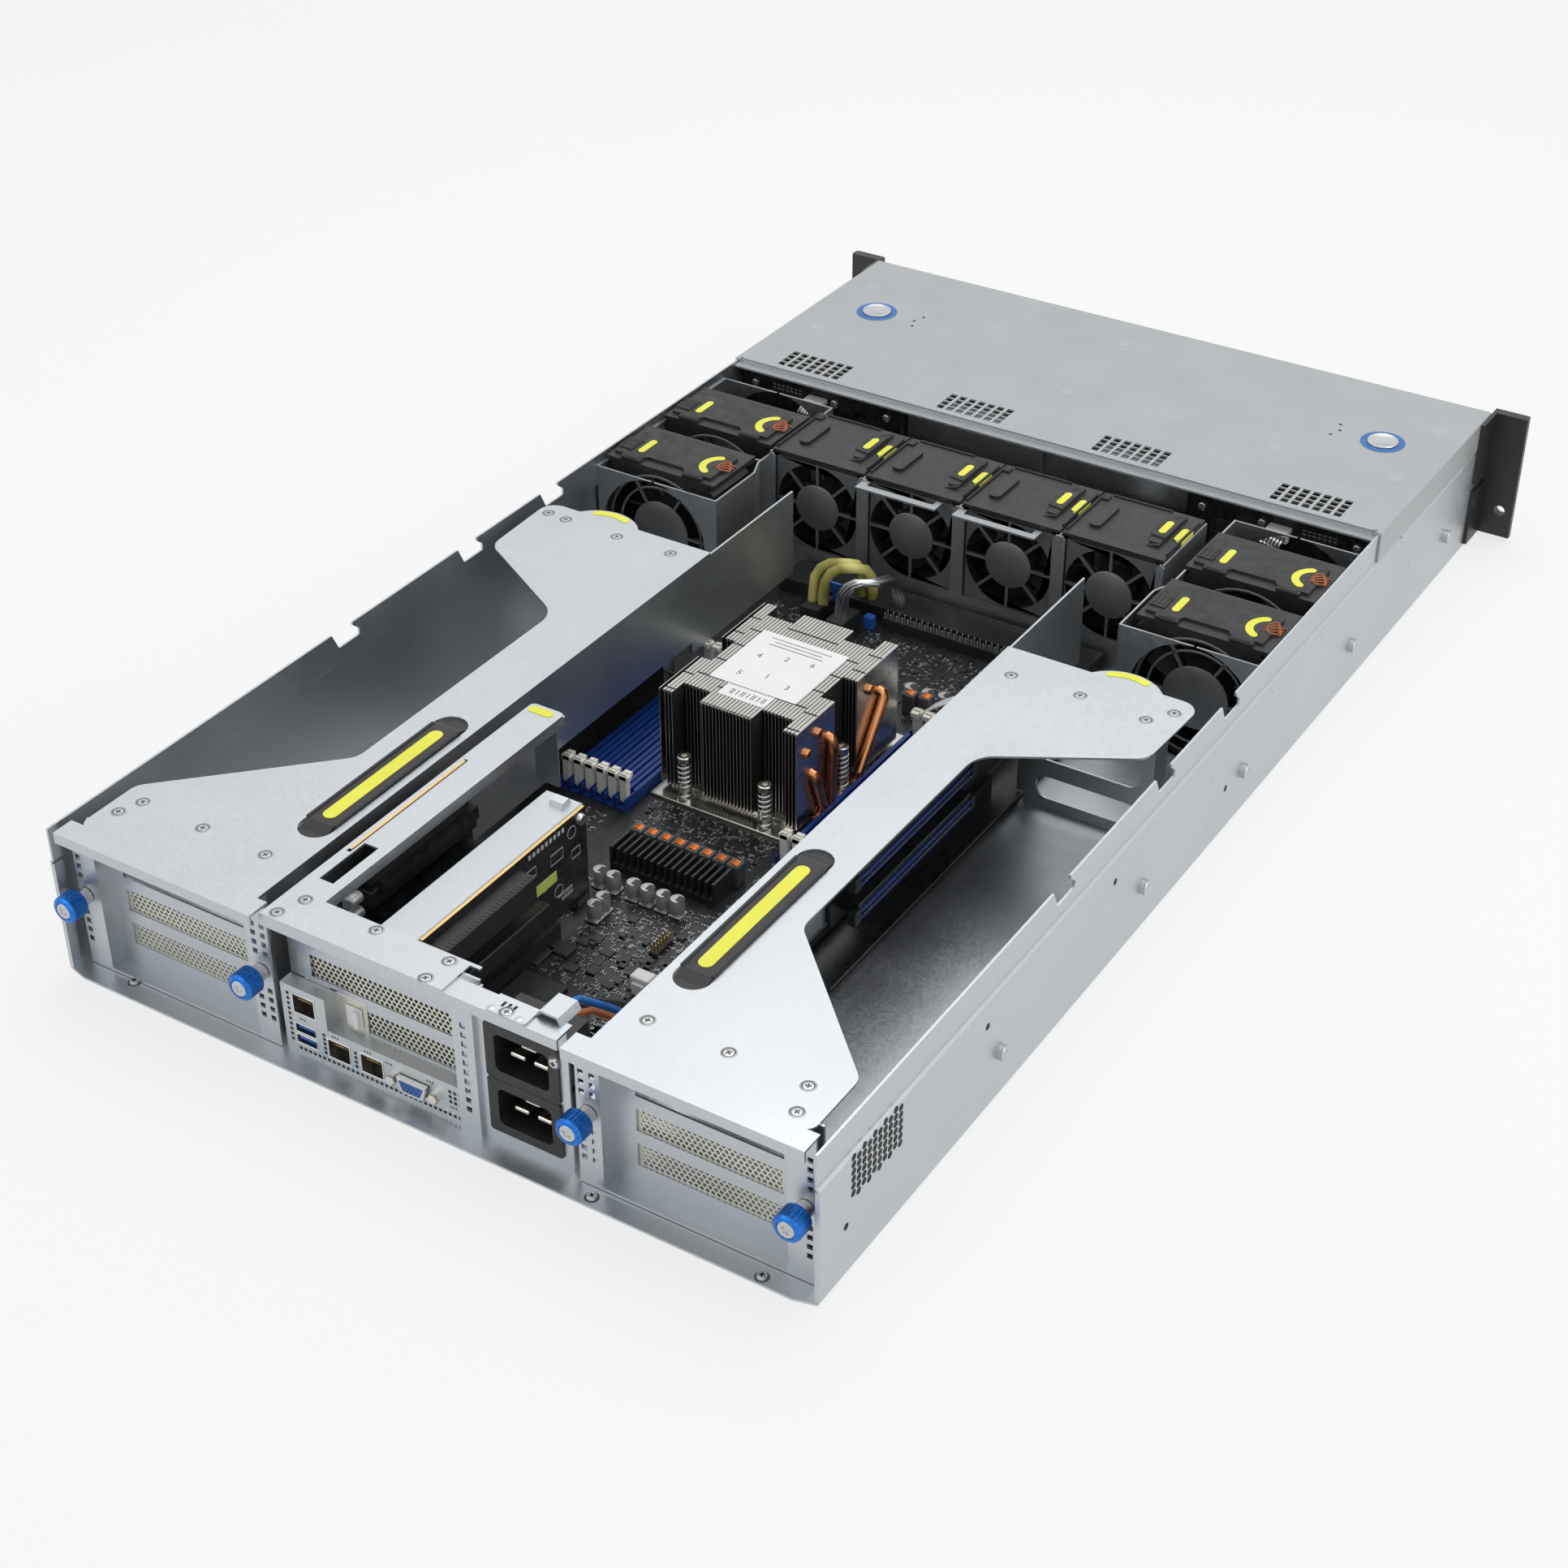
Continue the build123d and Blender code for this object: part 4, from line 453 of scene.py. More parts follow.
# %% Repeat tree
repeat_tree = bpy.data.node_groups.new("repeat_on_points", "GeometryNodeTree")
for label, kind in (("Places", "NodeSocketGeometry"), ("Item", "NodeSocketObject"),
                    ("Finish", "NodeSocketMaterial"), ("Grow", "NodeSocketFloat")):
    repeat_tree.interface.new_socket(label, in_out="INPUT", socket_type=kind)
repeat_tree.interface.new_socket("Copies", in_out="OUTPUT", socket_type="NodeSocketGeometry")
entry = add(repeat_tree, "NodeGroupInput")
source = add(repeat_tree, "GeometryNodeObjectInfo", entry.outputs["Item"], in_As_Instance=True)
turns = add(repeat_tree, "GeometryNodeInputNamedAttribute", data_type="FLOAT_VECTOR", in_Name="turn")
sizes = add(repeat_tree, "GeometryNodeInputNamedAttribute", data_type="FLOAT_VECTOR", in_Name="size")
scaled = add(repeat_tree, "ShaderNodeVectorMath", sizes.outputs["Attribute"], operation="SCALE")
repeat_tree.links.new(entry.outputs["Grow"], scaled.inputs["Scale"])
points = add(repeat_tree, "GeometryNodeMeshToPoints", entry.outputs["Places"])
copies = add(repeat_tree, "GeometryNodeInstanceOnPoints", points.outputs[0])
repeat_tree.links.new(source.outputs["Geometry"], copies.inputs["Instance"])
repeat_tree.links.new(turns.outputs["Attribute"], copies.inputs["Rotation"])
repeat_tree.links.new(scaled.outputs[0], copies.inputs["Scale"])
real = add(repeat_tree, "GeometryNodeRealizeInstances", copies.outputs[0])
coated = add(repeat_tree, "GeometryNodeSetMaterial", real.outputs[0])
repeat_tree.links.new(entry.outputs["Finish"], coated.inputs["Material"])
add(repeat_tree, "NodeGroupOutput", coated.outputs[0])
socket_of = {item.name: item.identifier for item in repeat_tree.interface.items_tree
             if item.in_out == "INPUT"}
print("inputs of the tree", list(socket_of))

# %% Repeat helper
def repeat(name, body, item, places, material, hides=(), grow=1.0):
    """Set one Shape at many places. A place is (x, y, z), with a turn and a size where they differ."""
    item_object = bpy.data.objects.new(name + "_item", item.mesh(name + "_item"))
    bpy.context.scene.collection.objects.link(item_object)
    data = bpy.data.meshes.new(name + "_places")
    data.from_pydata([[c * MM for c in place[0:3]] for place in places], [], [])
    turn = data.attributes.new("turn", "FLOAT_VECTOR", "POINT")
    size = data.attributes.new("size", "FLOAT_VECTOR", "POINT")
    for index, place in enumerate(places):
        turn.data[index].vector = place[3] if len(place) > 3 else (0, 0, 0)
        size.data[index].vector = place[4] if len(place) > 4 else (1, 1, 1)
    carrier = bpy.data.objects.new(name, data)
    bpy.context.scene.collection.objects.link(carrier)
    modifier = carrier.modifiers.new("repeat", "NODES")
    modifier.node_group = repeat_tree
    modifier[socket_of["Item"]] = item_object
    modifier[socket_of["Finish"]] = material
    modifier[socket_of["Grow"]] = grow
    evaluated = carrier.evaluated_get(bpy.context.evaluated_depsgraph_get())
    result = bpy.data.meshes.new_from_object(evaluated)
    bpy.data.objects.remove(carrier)
    bpy.data.objects.remove(item_object)
    result.name = name
    print(name, len(places), "copies,", len(result.polygons), "faces")
    return settle(result, body, material, hides, name)

# %% [markdown]
# ## Cross-head screws
# Sheet metal is held by flat countersunk screws whose heads lie flush, and by pan heads on the
# floor lip and the inlet post. The cross is a real recess: a cross-shaped ring of points let into
# the head, so it catches its own shadow when the light moves.

# %% Screw heads
FLAT_HEAD_RADIUS = 2.9
PAN_HEAD_RADIUS = 2.7
CROSS_REACH = 0.52
CROSS_WIDTH = 0.16
CROSS_DEPTH = 0.32
HEAD_SIDES = 20


def screw_head(radius, rise, rim, seat=0.0):
    """A head on the plane z = 0, with a cross recess and, for a countersunk one, a dished seat."""
    profile = [(radius, 0.0), (radius * rim, rise * 0.8), (radius * 0.72, rise)]
    if seat:
        profile = [(radius * 1.25, 0.02), (radius * 1.1, 0.1), (radius, -seat), (radius * 0.96, 0.0),
                   (radius * 0.7, rise)]
    points = [(a, b, height) for reach, height in profile for a, b in circle(HEAD_SIDES, reach)]
    last = len(points) - HEAD_SIDES
    faces = [tuple(range(HEAD_SIDES))[::-1]]
    for start in range(0, last, HEAD_SIDES):
        faces += band(start, start + HEAD_SIDES, HEAD_SIDES)
    tip, far = math.atan2(CROSS_WIDTH, CROSS_REACH), math.hypot(CROSS_REACH, CROSS_WIDTH)
    corners = []
    for quarter in range(4):
        base = TURN * quarter / 4
        corners += [(base + tip, far), (base + TURN / 8, CROSS_WIDTH * math.sqrt(2)),
                    (base + TURN / 4 - tip, far)]
    lip, count = len(points), len(corners)
    for share, height in ((1.0, rise), (0.8, rise - radius * CROSS_DEPTH)):
        points += [(radius * reach * share * math.cos(angle), radius * reach * share * math.sin(angle),
                    height) for angle, reach in corners]
    faces += zipper([(TURN * i / HEAD_SIDES, last + i) for i in range(HEAD_SIDES)],
                    [(angle, lip + i) for i, (angle, _) in enumerate(corners)])
    faces += band(lip, lip + count, count) + [tuple(range(lip + count, lip + 2 * count))]
    return Shape().put(points, faces)


print("a screw head has", len(screw_head(1, 1, 0.9).faces), "faces")

# %% Screws in their places
flat_screw = screw_head(FLAT_HEAD_RADIUS, 0.12, 0.96, 0.35)
pan_screw = screw_head(PAN_HEAD_RADIUS, 1.5, 0.9)
TO_REAR = (-TURN / 4, 0, 0)
TO_LEFT = (0, TURN / 4, 0)
TO_RIGHT = (0, -TURN / 4, 0)
CAGE_TOP = 85.0
right_cage_screws = [(-108.9, 360.5), (-150.8, 359.9), (-191.2, 360.2), (-195.8, 376.7), (-110.1, 26.9),
                     (-149.6, 25.4), (-188.5, 28.3), (-198.2, 15.1)]
left_cage_screws = [(198.9, 366.2), (194.6, 353.8), (154.8, 354.7), (114.6, 355.4), (200, 12.9), (187, 13.9),
                    (150.5, 14.8), (113.6, 14.8)]


def tilt(index):
    """Screws stop where they are tight, so each cross is turned by its own angle."""
    return (index * 2.399) % 1.5


cage_at = {side: [(x, y, CAGE_TOP, (0, 0, tilt(i))) for i, (x, y) in enumerate(spots)]
           for side, spots in (("right", right_cage_screws), ("left", left_cage_screws))}
for side, at in cage_at.items():
    repeat(f"cage_screws_{side}", f"riser_cage_{side}", flat_screw, at, screw_steel)
bracket_screws = [(74.2, 373.6, 86), (79, 387.8, 86), (31.6, 374.2, 86), (-10.7, 374.6, 86),
                  (-9.1, 389.6, 86), (-54, 389.5, 86)]
lip_screws = [(182.9, 388.5), (-98.3, 393.6), (-189.4, 394.9)]
pan_places = [(x, y, 1.2, (0, 0, tilt(i))) for i, (x, y) in enumerate(lip_screws)]
bracket_at = [(x, y, z, (0, 0, tilt(i))) for i, (x, y, z) in enumerate(bracket_screws)]
repeat("bracket_screws", "chassis", flat_screw, bracket_at, screw_steel)
pan_places.append((-81.4, 392.6, 71.6, TO_REAR))
repeat("pan_screws", "chassis", pan_screw, pan_places, screw_steel)

# %% [markdown]
# ## Perforated slot covers
# Each empty slot is closed by a plated cover full of small round holes in staggered rows. One
# tile of sheet with a round hole, front and back joined through the hole, is repeated by the
# tree, and solid margins close the cover round the tiles.

# %% Perforated covers
HOLE_PITCH = 3.0
ROW_PITCH = 2.5
HOLE_RADIUS = 1.02
COVER_SHEET = 0.6
SLOT_FACE = 376.4
ivory_sheet = grained("cover_plating", (0.60, 0.585, 0.52), 0.34, 0.9, 1500.0, 0.05, drift=0.05)


def perforated_tile():
    """A tile of sheet in X and Z with a twelve-sided hole."""
    ring = 12
    corners = [(HOLE_PITCH / 2, ROW_PITCH / 2), (-HOLE_PITCH / 2, ROW_PITCH / 2),
               (-HOLE_PITCH / 2, -ROW_PITCH / 2), (HOLE_PITCH / 2, -ROW_PITCH / 2)]
    points, layers = [], []
    for y in (0, -COVER_SHEET):
        outer = sorted((math.atan2(z, x) % TURN, len(points) + i) for i, (x, z) in enumerate(corners))
        points += [(x, y, z) for x, z in corners]
        inner = [(TURN * i / ring, len(points) + i) for i in range(ring)]
        points += [(HOLE_RADIUS * math.cos(a), y, HOLE_RADIUS * math.sin(a)) for a, _ in inner]
        layers.append((outer, inner))
    faces = zipper(*layers[0]) + [face[::-1] for face in zipper(*layers[1])]
    front, back = layers[0][1], layers[1][1]
    faces += [(front[i][1], back[i][1], back[(i + 1) % ring][1], front[(i + 1) % ring][1])
              for i in range(ring)]
    return Shape().put(points, faces)


def cover_places(left, right_end, low, high, face):
    """Staggered places of tiles in a window, and half the width and height that they fill."""
    rows = int((high - low) / ROW_PITCH)
    columns = int((right_end - left - HOLE_PITCH / 2) / HOLE_PITCH)
    middle_x, middle_z = (left + right_end) / 2, (low + high) / 2
    spots = []
    for row in range(rows):
        shift = HOLE_PITCH / 4 * (1 if row % 2 else -1)
        for column in range(columns):
            spots.append((middle_x + (column - (columns - 1) / 2) * HOLE_PITCH + shift, face,
                          middle_z + (row - (rows - 1) / 2) * ROW_PITCH))
    return spots, columns * HOLE_PITCH / 2, rows * ROW_PITCH / 2


tile = perforated_tile()
print("a tile has", len(tile.faces), "faces")

# %% Slot covers
SLOT_LOW, SLOT_PITCH, WINDOW_HIGH = 15.5, 20.32, 13
WINDOW_INNER, WINDOW_OUTER, COVER_HALF = 113, 190, 42
back = SLOT_FACE - COVER_SHEET
for side, sign in BOTH_SIDES:
    spots, margins = [], Shape()
    left, right_end = sorted((sign * WINDOW_INNER, sign * WINDOW_OUTER))
    middle_x = sign * (WINDOW_INNER + WINDOW_OUTER) / 2
    for row in range(2):
        low = SLOT_LOW + row * SLOT_PITCH
        found, half_x, half_z = cover_places(left, right_end, low, low + WINDOW_HIGH, SLOT_FACE)
        spots += found
        middle_z = low + WINDOW_HIGH / 2
        for bottom, top in ((middle_z + half_z, low + 14.2), (low - 1.2, middle_z - half_z)):
            margins.block((middle_x - COVER_HALF, back, bottom), (middle_x + COVER_HALF, SLOT_FACE, top), 0.1)
        for end in (-1, 1):
            xs = sorted((middle_x + end * (half_x - HOLE_PITCH / 4), middle_x + end * COVER_HALF))
            margins.block((xs[0], back - 0.05, middle_z - half_z),
                          (xs[1], SLOT_FACE - 0.05, middle_z + half_z), 0.05)
        # Folded edge that stiffens the cover
        margins.block((middle_x - 38, back - 4, low - 1.2), (middle_x + 38, back, low - 0.6), 0.1)
    repeat(f"cover_perforations_{side}", f"riser_cage_{side}", tile, spots, ivory_sheet,
           (f"slot_covers_{side}",))
    piece(f"cover_margins_{side}", f"riser_cage_{side}", margins, ivory_sheet)

# %% Covers of the middle bracket
middle_spots, shade_sheet = [], Shape()
for left, right_end, tiles_end, low in ((-12.9, 56.6, 44.6, 23.7), (-12.9, 72.6, 72.6, 44.0)):
    middle_spots += cover_places(left, tiles_end, low, low + WINDOW_HIGH, 376.75)[0]
    # Painted shade: a near-black sheet just behind the perforated covers, in place of the shade behind the
    # holes.
    shade_sheet.block((left, 376.1, low), (right_end, 376.14, low + WINDOW_HIGH), 0)
repeat("cover_perforations_middle", "chassis", tile, middle_spots, ivory_sheet)
piece("cover_backing_middle", "chassis", shade_sheet, dark_cavity)

# %% [markdown]
# ## Captive thumbscrews
# A thumbscrew has a blue anodised head with a straight knurl, a bright screw set in its middle, a
# plain shoulder, and its shank through the post. It turns and it travels with the cage, so each
# one replaces its solid and rides on its own body.

# %% Thumbscrews
THUMB_Z = 45.0
for side, sign in BOTH_SIDES:
    for place_name, x in (("outer", 207.0), ("inner", 94.5)):
        body = f"thumbscrew_{side}_{place_name}"
        centre = (sign * x, 0, THUMB_Z)
        head = Shape().turned(centre, (0, 1, 0),
                              [(4.6, 393.6), (6.6, 393.6), (7.3, 394.2), (7.3, 402.6), (6.4, 403.6),
                               (5.2, 404.1), (4.7, 404.1), (4.5, 403.4)], 60, 0.035)
        piece(f"knob_{side}_{place_name}", body, head, knob_blue, (body,))
        neck = Shape().turned(centre, (0, 1, 0),
                              [(4.2, 384.0), (4.2, 386.0), (2.6, 386.1), (2.6, 387.8), (4.4, 387.85),
                               (4.4, 393.6)], 24)
        bolt = screw_head(4.4, 0.35, 0.93)
        turn = Matrix.Rotation(TO_REAR[0], 4, "X")
        swing = Matrix.Rotation(tilt(int(x) + sign), 4, "Z")
        neck.put([Vector(centre) + Vector((0, 403.7, 0)) + turn @ swing @ p for p in bolt.points], bolt.faces)
        piece(f"shoulder_{side}_{place_name}", body, neck, screw_steel)

# %% [markdown]
# ## Marks on the front cover
# The cover carries its two release buttons in blue rings, round weld marks where rails sit under
# it, and two groups of three tiny holes. The weld marks are only a change in the paint, a
# twentieth of a millimetre high.

# %% Cover marks
COVER_TOP = 87.0
BUTTON_X, BUTTON_Y = 177.0, -322.0
marks = [(199, -354.5), (199, -282), (16, -365), (16, -283), (-124, -282), (-200.6, -354), (-200.6, -282)]
weld_paint = grained("weld_marks", (0.47, 0.485, 0.50), 0.35, 0.5, 1500.0, 0.05, drift=0.03)
weld_mark = Shape().turned((0, 0, 0), (0, 0, 1), [(4.2, -0.05), (4.2, 0.03), (3.9, 0.05)], 24)
repeat("cover_weld_marks", "chassis", weld_mark, [(x, y, COVER_TOP) for x, y in marks], weld_paint)
# The pin holes are flat near-black discs: painted shade in place of open holes.
pin_hole = Shape().turned((0, 0, 0), (0, 0, 1), [(1.1, -0.05), (1.1, 0.02)], 14)
PIN_HOLES = ((146.4, -330.7), (149.1, -322.9), (146.2, -315.3))
holes = [(sign * x, y, COVER_TOP) for sign in (1, -1) for x, y in PIN_HOLES]
repeat("cover_pin_holes", "chassis", pin_hole, holes, dark_cavity)
for side, sign in BOTH_SIDES:
    centre = (sign * BUTTON_X, BUTTON_Y, 0)
    levels = ((9.8, 87.0), (10.0, 87.45), (13.2, 87.45), (13.6, 87.05))
    hollow = Shape().hoop([[(centre[0] + a, centre[1] + b, height) for a, b in circle(64, radius)]
                           for radius, height in levels])
    piece(f"button_ring_{side}", "chassis", hollow, ring_blue)
    disc = Shape().turned(centre, (0, 0, 1),
                          [(12.2, 83.9), (12.2, 85.4), (9.45, 85.5), (9.45, 88.0), (9.0, 88.6), (8.3, 88.7),
                           (7.9, 88.45), (0.5, 88.4)], 48)
    piece(f"button_disc_{side}", f"cover_button_{side}", disc, screw_steel, (f"cover_button_{side}",))

# %% [markdown]
# ## The processor cooler
# The cooler is a stack of thin sheets on a nickel-plated base. Each sheet has its top edge folded
# over to keep the spacing, so from above the stack looks nearly closed, with rows of small gaps
# where the folds interlock. Three sheet shapes cover the whole stack: full depth, cut back over
# the spring screws, and split round the side screws. The tree repeats each along the width.

# %% Fins of the cooler
COOLER_X = 8.75
COOLER_HALF = 42.75
COOLER_FRONT, COOLER_REAR = 13.0, 117.5
COOLER_TOP = 71.5
COOLER_FLOOR = 11.2
FIN_SHEET = 0.38
FOLD = 1.6
FIN_PITCH = 2.15
FOLD_STEP = 17.4
SHORT_FROM, SPLIT_FROM = 16.25, 34.75
# Painted shade: the sheets below the folds are near-black, in place of the shade between the fins; the folds
# keep the bright metal.
shaded = grained("fin_between", (0.055, 0.05, 0.045), 0.4, 0.6)
stamped = grained("stamped_fin", (0.50, 0.49, 0.465), 0.36, 0.8, 1200.0, 0.04, drift=0.05)


def fin(parts):
    """One sheet over the given stretches of depth, and its bright folds and rear edges."""
    sheet, folds = Shape(), Shape()
    for start, end in parts:
        sheet.block((0, start, COOLER_FLOOR), (FIN_SHEET, end, COOLER_TOP - 0.2), 0)
        folds.outline("y", [(0, COOLER_FLOOR), (FIN_SHEET, COOLER_FLOOR), (FIN_SHEET, COOLER_TOP - 1.6),
                            (FOLD * 0.7, COOLER_TOP - 0.6), (FOLD, COOLER_TOP - 0.3), (FOLD, COOLER_TOP),
                            (0, COOLER_TOP)], end - 0.5, end + 0.05)
        place = start
        while place < end - 1:
            stop = min(place + FOLD_STEP - 1.2, end)
            folds.block((0, place, COOLER_TOP - 0.3), (FOLD, stop, COOLER_TOP), 0)
            place += FOLD_STEP
    return sheet, folds


print("fin of", COOLER_REAR - COOLER_FRONT, "by", COOLER_TOP - COOLER_FLOOR, "mm")

# %% Stack of fins
groups = {"full": [], "short": [], "split": []}
cut_middle = (COOLER_FRONT + COOLER_REAR) / 2 + 3
for index in range(int(2 * COOLER_HALF / FIN_PITCH)):
    x = COOLER_X - COOLER_HALF + 0.2 + index * FIN_PITCH
    reach = abs(x - COOLER_X)
    kind = "full" if reach <= SHORT_FROM else "split" if reach >= SPLIT_FROM else "short"
    groups[kind].append((x, 0, 0))
stretches = {
    "full": [(COOLER_FRONT, COOLER_REAR)],
    "short": [(COOLER_FRONT + 11, COOLER_REAR - 11)],
    "split": [(COOLER_FRONT, cut_middle - 11.5), (cut_middle + 11.5, COOLER_REAR)],
}
for kind, stretch in stretches.items():
    hides = ("heatsink_fins",) if kind == "full" else ()
    sheet_shape, fold_shape = fin(stretch)
    # The sheets wear the painted shade between the fins, the folds the bright metal.
    repeat(f"cooler_sheets_{kind}", "chassis", sheet_shape, groups[kind], shaded, hides)
    repeat(f"cooler_folds_{kind}", "chassis", fold_shape, groups[kind], stamped)

# %% [markdown]
# ## Base, springs, pipes and label of the cooler
# Six spring screws press the base down, each a post with a coil round it. Copper pipes leave the
# base, climb the right side and turn into the stack. A white label on top carries the plain
# order in which the screws are tightened.

# %% Base and springs
base = Shape().block((-36.7, 4.9, 6.6), (54.2, 125.6, 8.6), 0.3)
base.block((-30.0, 16, 8.6), (48.0, 114, 11.1), 0.3)
SPRINGS = [(COOLER_X + s * 25.5, y) for s in (-1, 1) for y in (9.6, 120.9)] + [(-32.0, 68.25), (49.5, 68.25)]
COIL_RADIUS, COIL_STEPS = 3.6, 12
COIL_POINTS = 7 * COIL_STEPS
posts, coils = Shape(), Shape()
for x, y in SPRINGS:
    posts.turned((x, y, 0), (0, 0, 1),
                 [(4.6, 8.6), (4.6, 10.6), (2.1, 10.8), (2.1, 33.0), (3.9, 33.2), (3.9, 36.2), (3.4, 36.8),
                  (1.6, 36.9), (1.5, 35.6)], 18)
    coils.pipe([(x + COIL_RADIUS * math.cos(TURN * i / COIL_STEPS),
                 y + COIL_RADIUS * math.sin(TURN * i / COIL_STEPS), 11.2 + 21.4 * i / COIL_POINTS)
                for i in range(COIL_POINTS + 1)], 0.55, 6)
piece("cooler_base", "chassis", base, nickel, ("heatsink_base",))
piece("cooler_posts", "chassis", posts, nickel)
piece("cooler_springs", "chassis", coils, screw_steel)

# %% Heat pipes and side sheets
PIPE_X = -37.4
pipes = Shape()
for top_y, low_y, top_z in ((32.9, 58.0, 53.8), (86.2, 88.0, 53.8), (103.0, 96.0, 40.0)):
    bend = [(-28, low_y, 9.6), (-34, low_y, 10.4), (-36.6, low_y, 13.0), (PIPE_X, low_y, 16.0)]
    for step in range(1, 8):
        part = step / 8
        bend.append((PIPE_X, low_y + (top_y - low_y) * part, 16 + (top_z - 20) * part))
    bend += [(PIPE_X + 0.4, top_y, top_z - 3.2), (PIPE_X + 1.8, top_y, top_z - 0.8), (-33.0, top_y, top_z)]
    pipes.pipe(bend, 2.9, 12)
for y, z in ((45.0, 60.5), (27.5, 45.0), (97.5, 62.0), (108.5, 55.0)):
    pipes.turned((-36.2, y, z), (1, 0, 0), [(1.2, -0.8), (2.4, -0.3), (3.0, 0.6), (3.0, 3.0)], 14)
piece("cooler_pipes", "chassis", pipes, copper)
side_sheet = Shape()
for start, end in stretches["split"]:
    side_sheet.block((-34.3, start, COOLER_FLOOR), (-33.9, end, COOLER_TOP), 0.05)
    side_sheet.block((51.4, start, COOLER_FLOOR), (51.8, end, COOLER_TOP), 0.05)
piece("cooler_side_sheets", "chassis", side_sheet, nickel)

# %% Printed numbers
label_white = grained("label_paper", (0.86, 0.87, 0.88), 0.5, 0.0, 900.0, 0.03, drift=0.015)
ink = grained("label_ink", (0.05, 0.05, 0.055), 0.6)


def numeral(text, x, y, height, size, turn=0.0):
    """A printed number as a flat mesh, placed in the mesh itself."""
    curve = bpy.data.curves.new("numeral", "FONT")
    curve.body, curve.size, curve.align_x, curve.align_y = text, size * MM, "CENTER", "CENTER"
    curve.resolution_u = 3
    holder = bpy.data.objects.new("numeral", curve)
    bpy.context.scene.collection.objects.link(holder)
    data = bpy.data.meshes.new_from_object(holder.evaluated_get(bpy.context.evaluated_depsgraph_get()))
    bpy.data.objects.remove(holder)
    data.transform(Matrix.Translation((x * MM, y * MM, height * MM)) @ Matrix.Rotation(turn, 4, "Z"))
    return data


def merged(name, meshes):
    """Several meshes as one."""
    made = bmesh.new()
    for data in meshes:
        made.from_mesh(data)
    result = bpy.data.meshes.new(name)
    made.to_mesh(result)
    made.free()
    return result


print("label finishes ready")

# %% Label with the order of the screws
label = Shape().block((-18, 38, COOLER_TOP + 0.02), (36, 93, COOLER_TOP + 0.17), 0.05)
label.block((-6, 94, COOLER_TOP + 0.02), (23, 105, COOLER_TOP + 0.17), 0.05)
piece("cooler_label", "chassis", label, label_white)
ORDER = {"1": (9, 78), "2": (9, 58), "3": (-6, 82), "4": (24, 62), "5": (24, 82), "6": (-6, 56)}
prints = [numeral(text, x, y, COOLER_TOP + 0.19, 6.0, math.pi) for text, (x, y) in ORDER.items()]
lines = Shape()
for row, width in enumerate((38, 30, 34)):
    lines.block((9 - width / 2, 42.5 + row * 3.2, COOLER_TOP + 0.17),
                (9 + width / 2, 43.1 + row * 3.2, COOLER_TOP + 0.19), 0)
for column in range(18):
    if (column * 7) % 5 < 3:
        lines.block((-3.5 + column * 1.3, 97, COOLER_TOP + 0.17),
                    (-2.9 + column * 1.3, 102, COOLER_TOP + 0.19), 0)
prints.append(lines.mesh("label_lines"))
settle(merged("cooler_label_print", prints), "chassis", ink)

# %% [markdown]
# ## Yellow touch marks
# Everything a technician may pull is marked in yellow: a bar on each handle strap, an arc on the
# front tab of each cage, a bar on the middle bracket and bars on the fan lids. They are thin
# inlays with rounded ends, so one helper draws a bar and one an arc.

# %% Touch marks
def bar(shape, x, y, z, length, width, along_x=False, thick=0.35):
    """A flat bar with round ends, along the depth or across it."""
    corners = []
    for end in (1, -1):
        for step in range(9):
            angle = TURN / 4 * (step / 4 - 1) + (0 if end > 0 else TURN / 2)
            a = end * (length - width) / 2 + math.cos(angle) * width / 2
            b = math.sin(angle) * width / 2
            corners.append((x + a, y + b) if along_x else (x - b, y + a))
    return shape.outline("z", corners, z, z + thick)


def arc(shape, x, y, z, radius, width, start, end, thick=0.3, steps=18):
    """A flat arc with round ends, in degrees."""
    corners = []
    first, last = math.radians(start), math.radians(end)
    for step in range(steps + 1):
        angle = first + (last - first) * step / steps
        corners.append((x + (radius + width / 2) * math.cos(angle),
                        y + (radius + width / 2) * math.sin(angle)))
    for step in range(1, 6):
        turn = last + math.pi * step / 6
        corners.append((x + radius * math.cos(last) + width / 2 * math.cos(turn),
                        y + radius * math.sin(last) + width / 2 * math.sin(turn)))
    for step in range(steps + 1):
        angle = last + (first - last) * step / steps
        corners.append((x + (radius - width / 2) * math.cos(angle),
                        y + (radius - width / 2) * math.sin(angle)))
    for step in range(1, 6):
        turn = first + math.pi + math.pi * step / 6
        corners.append((x + radius * math.cos(first) + width / 2 * math.cos(turn),
                        y + radius * math.sin(first) + width / 2 * math.sin(turn)))
    return shape.outline("z", corners, z, z + thick)


print("mark helpers ready")

# %% Marks on handles and tabs
STRAP_X, STRAP_Y = 109, 273
for side, sign in BOTH_SIDES:
    body = f"riser_cage_{side}"
    marks = bar(Shape(), sign * STRAP_X, STRAP_Y + 0.5, 86.1, 89, 7.6)
    marks = arc(marks, sign * 165, 18, 85.0, 22.5, 4.6, 248, 300)
    piece(f"cage_marks_{side}", body, marks, yellow_plastic)
    rim = Shape()
    for start, stop in ((-9.2, -7.4), (7.4, 9.2)):
        rim.block((sign * STRAP_X + start, STRAP_Y - 49, 85.2), (sign * STRAP_X + stop, STRAP_Y + 49, 87.0),
                  0.5)
    piece(f"strap_rims_{side}", body, rim, black_plastic)
tab_mark = bar(Shape(), 77.0, 187.0, 86.0, 15, 5.4, along_x=True)
piece("bracket_mark", "chassis", tab_mark, yellow_plastic)

# %% [markdown]
# ## Fan modules
# The rear face of each small fan is a grey die-cast guard with eight spokes round a blank hub,
# and its lid is a soft black cover with pleats. The larger side fans have a guard of two rings
# and six spokes, and a lid with two latches, a yellow bar and a yellow arc.

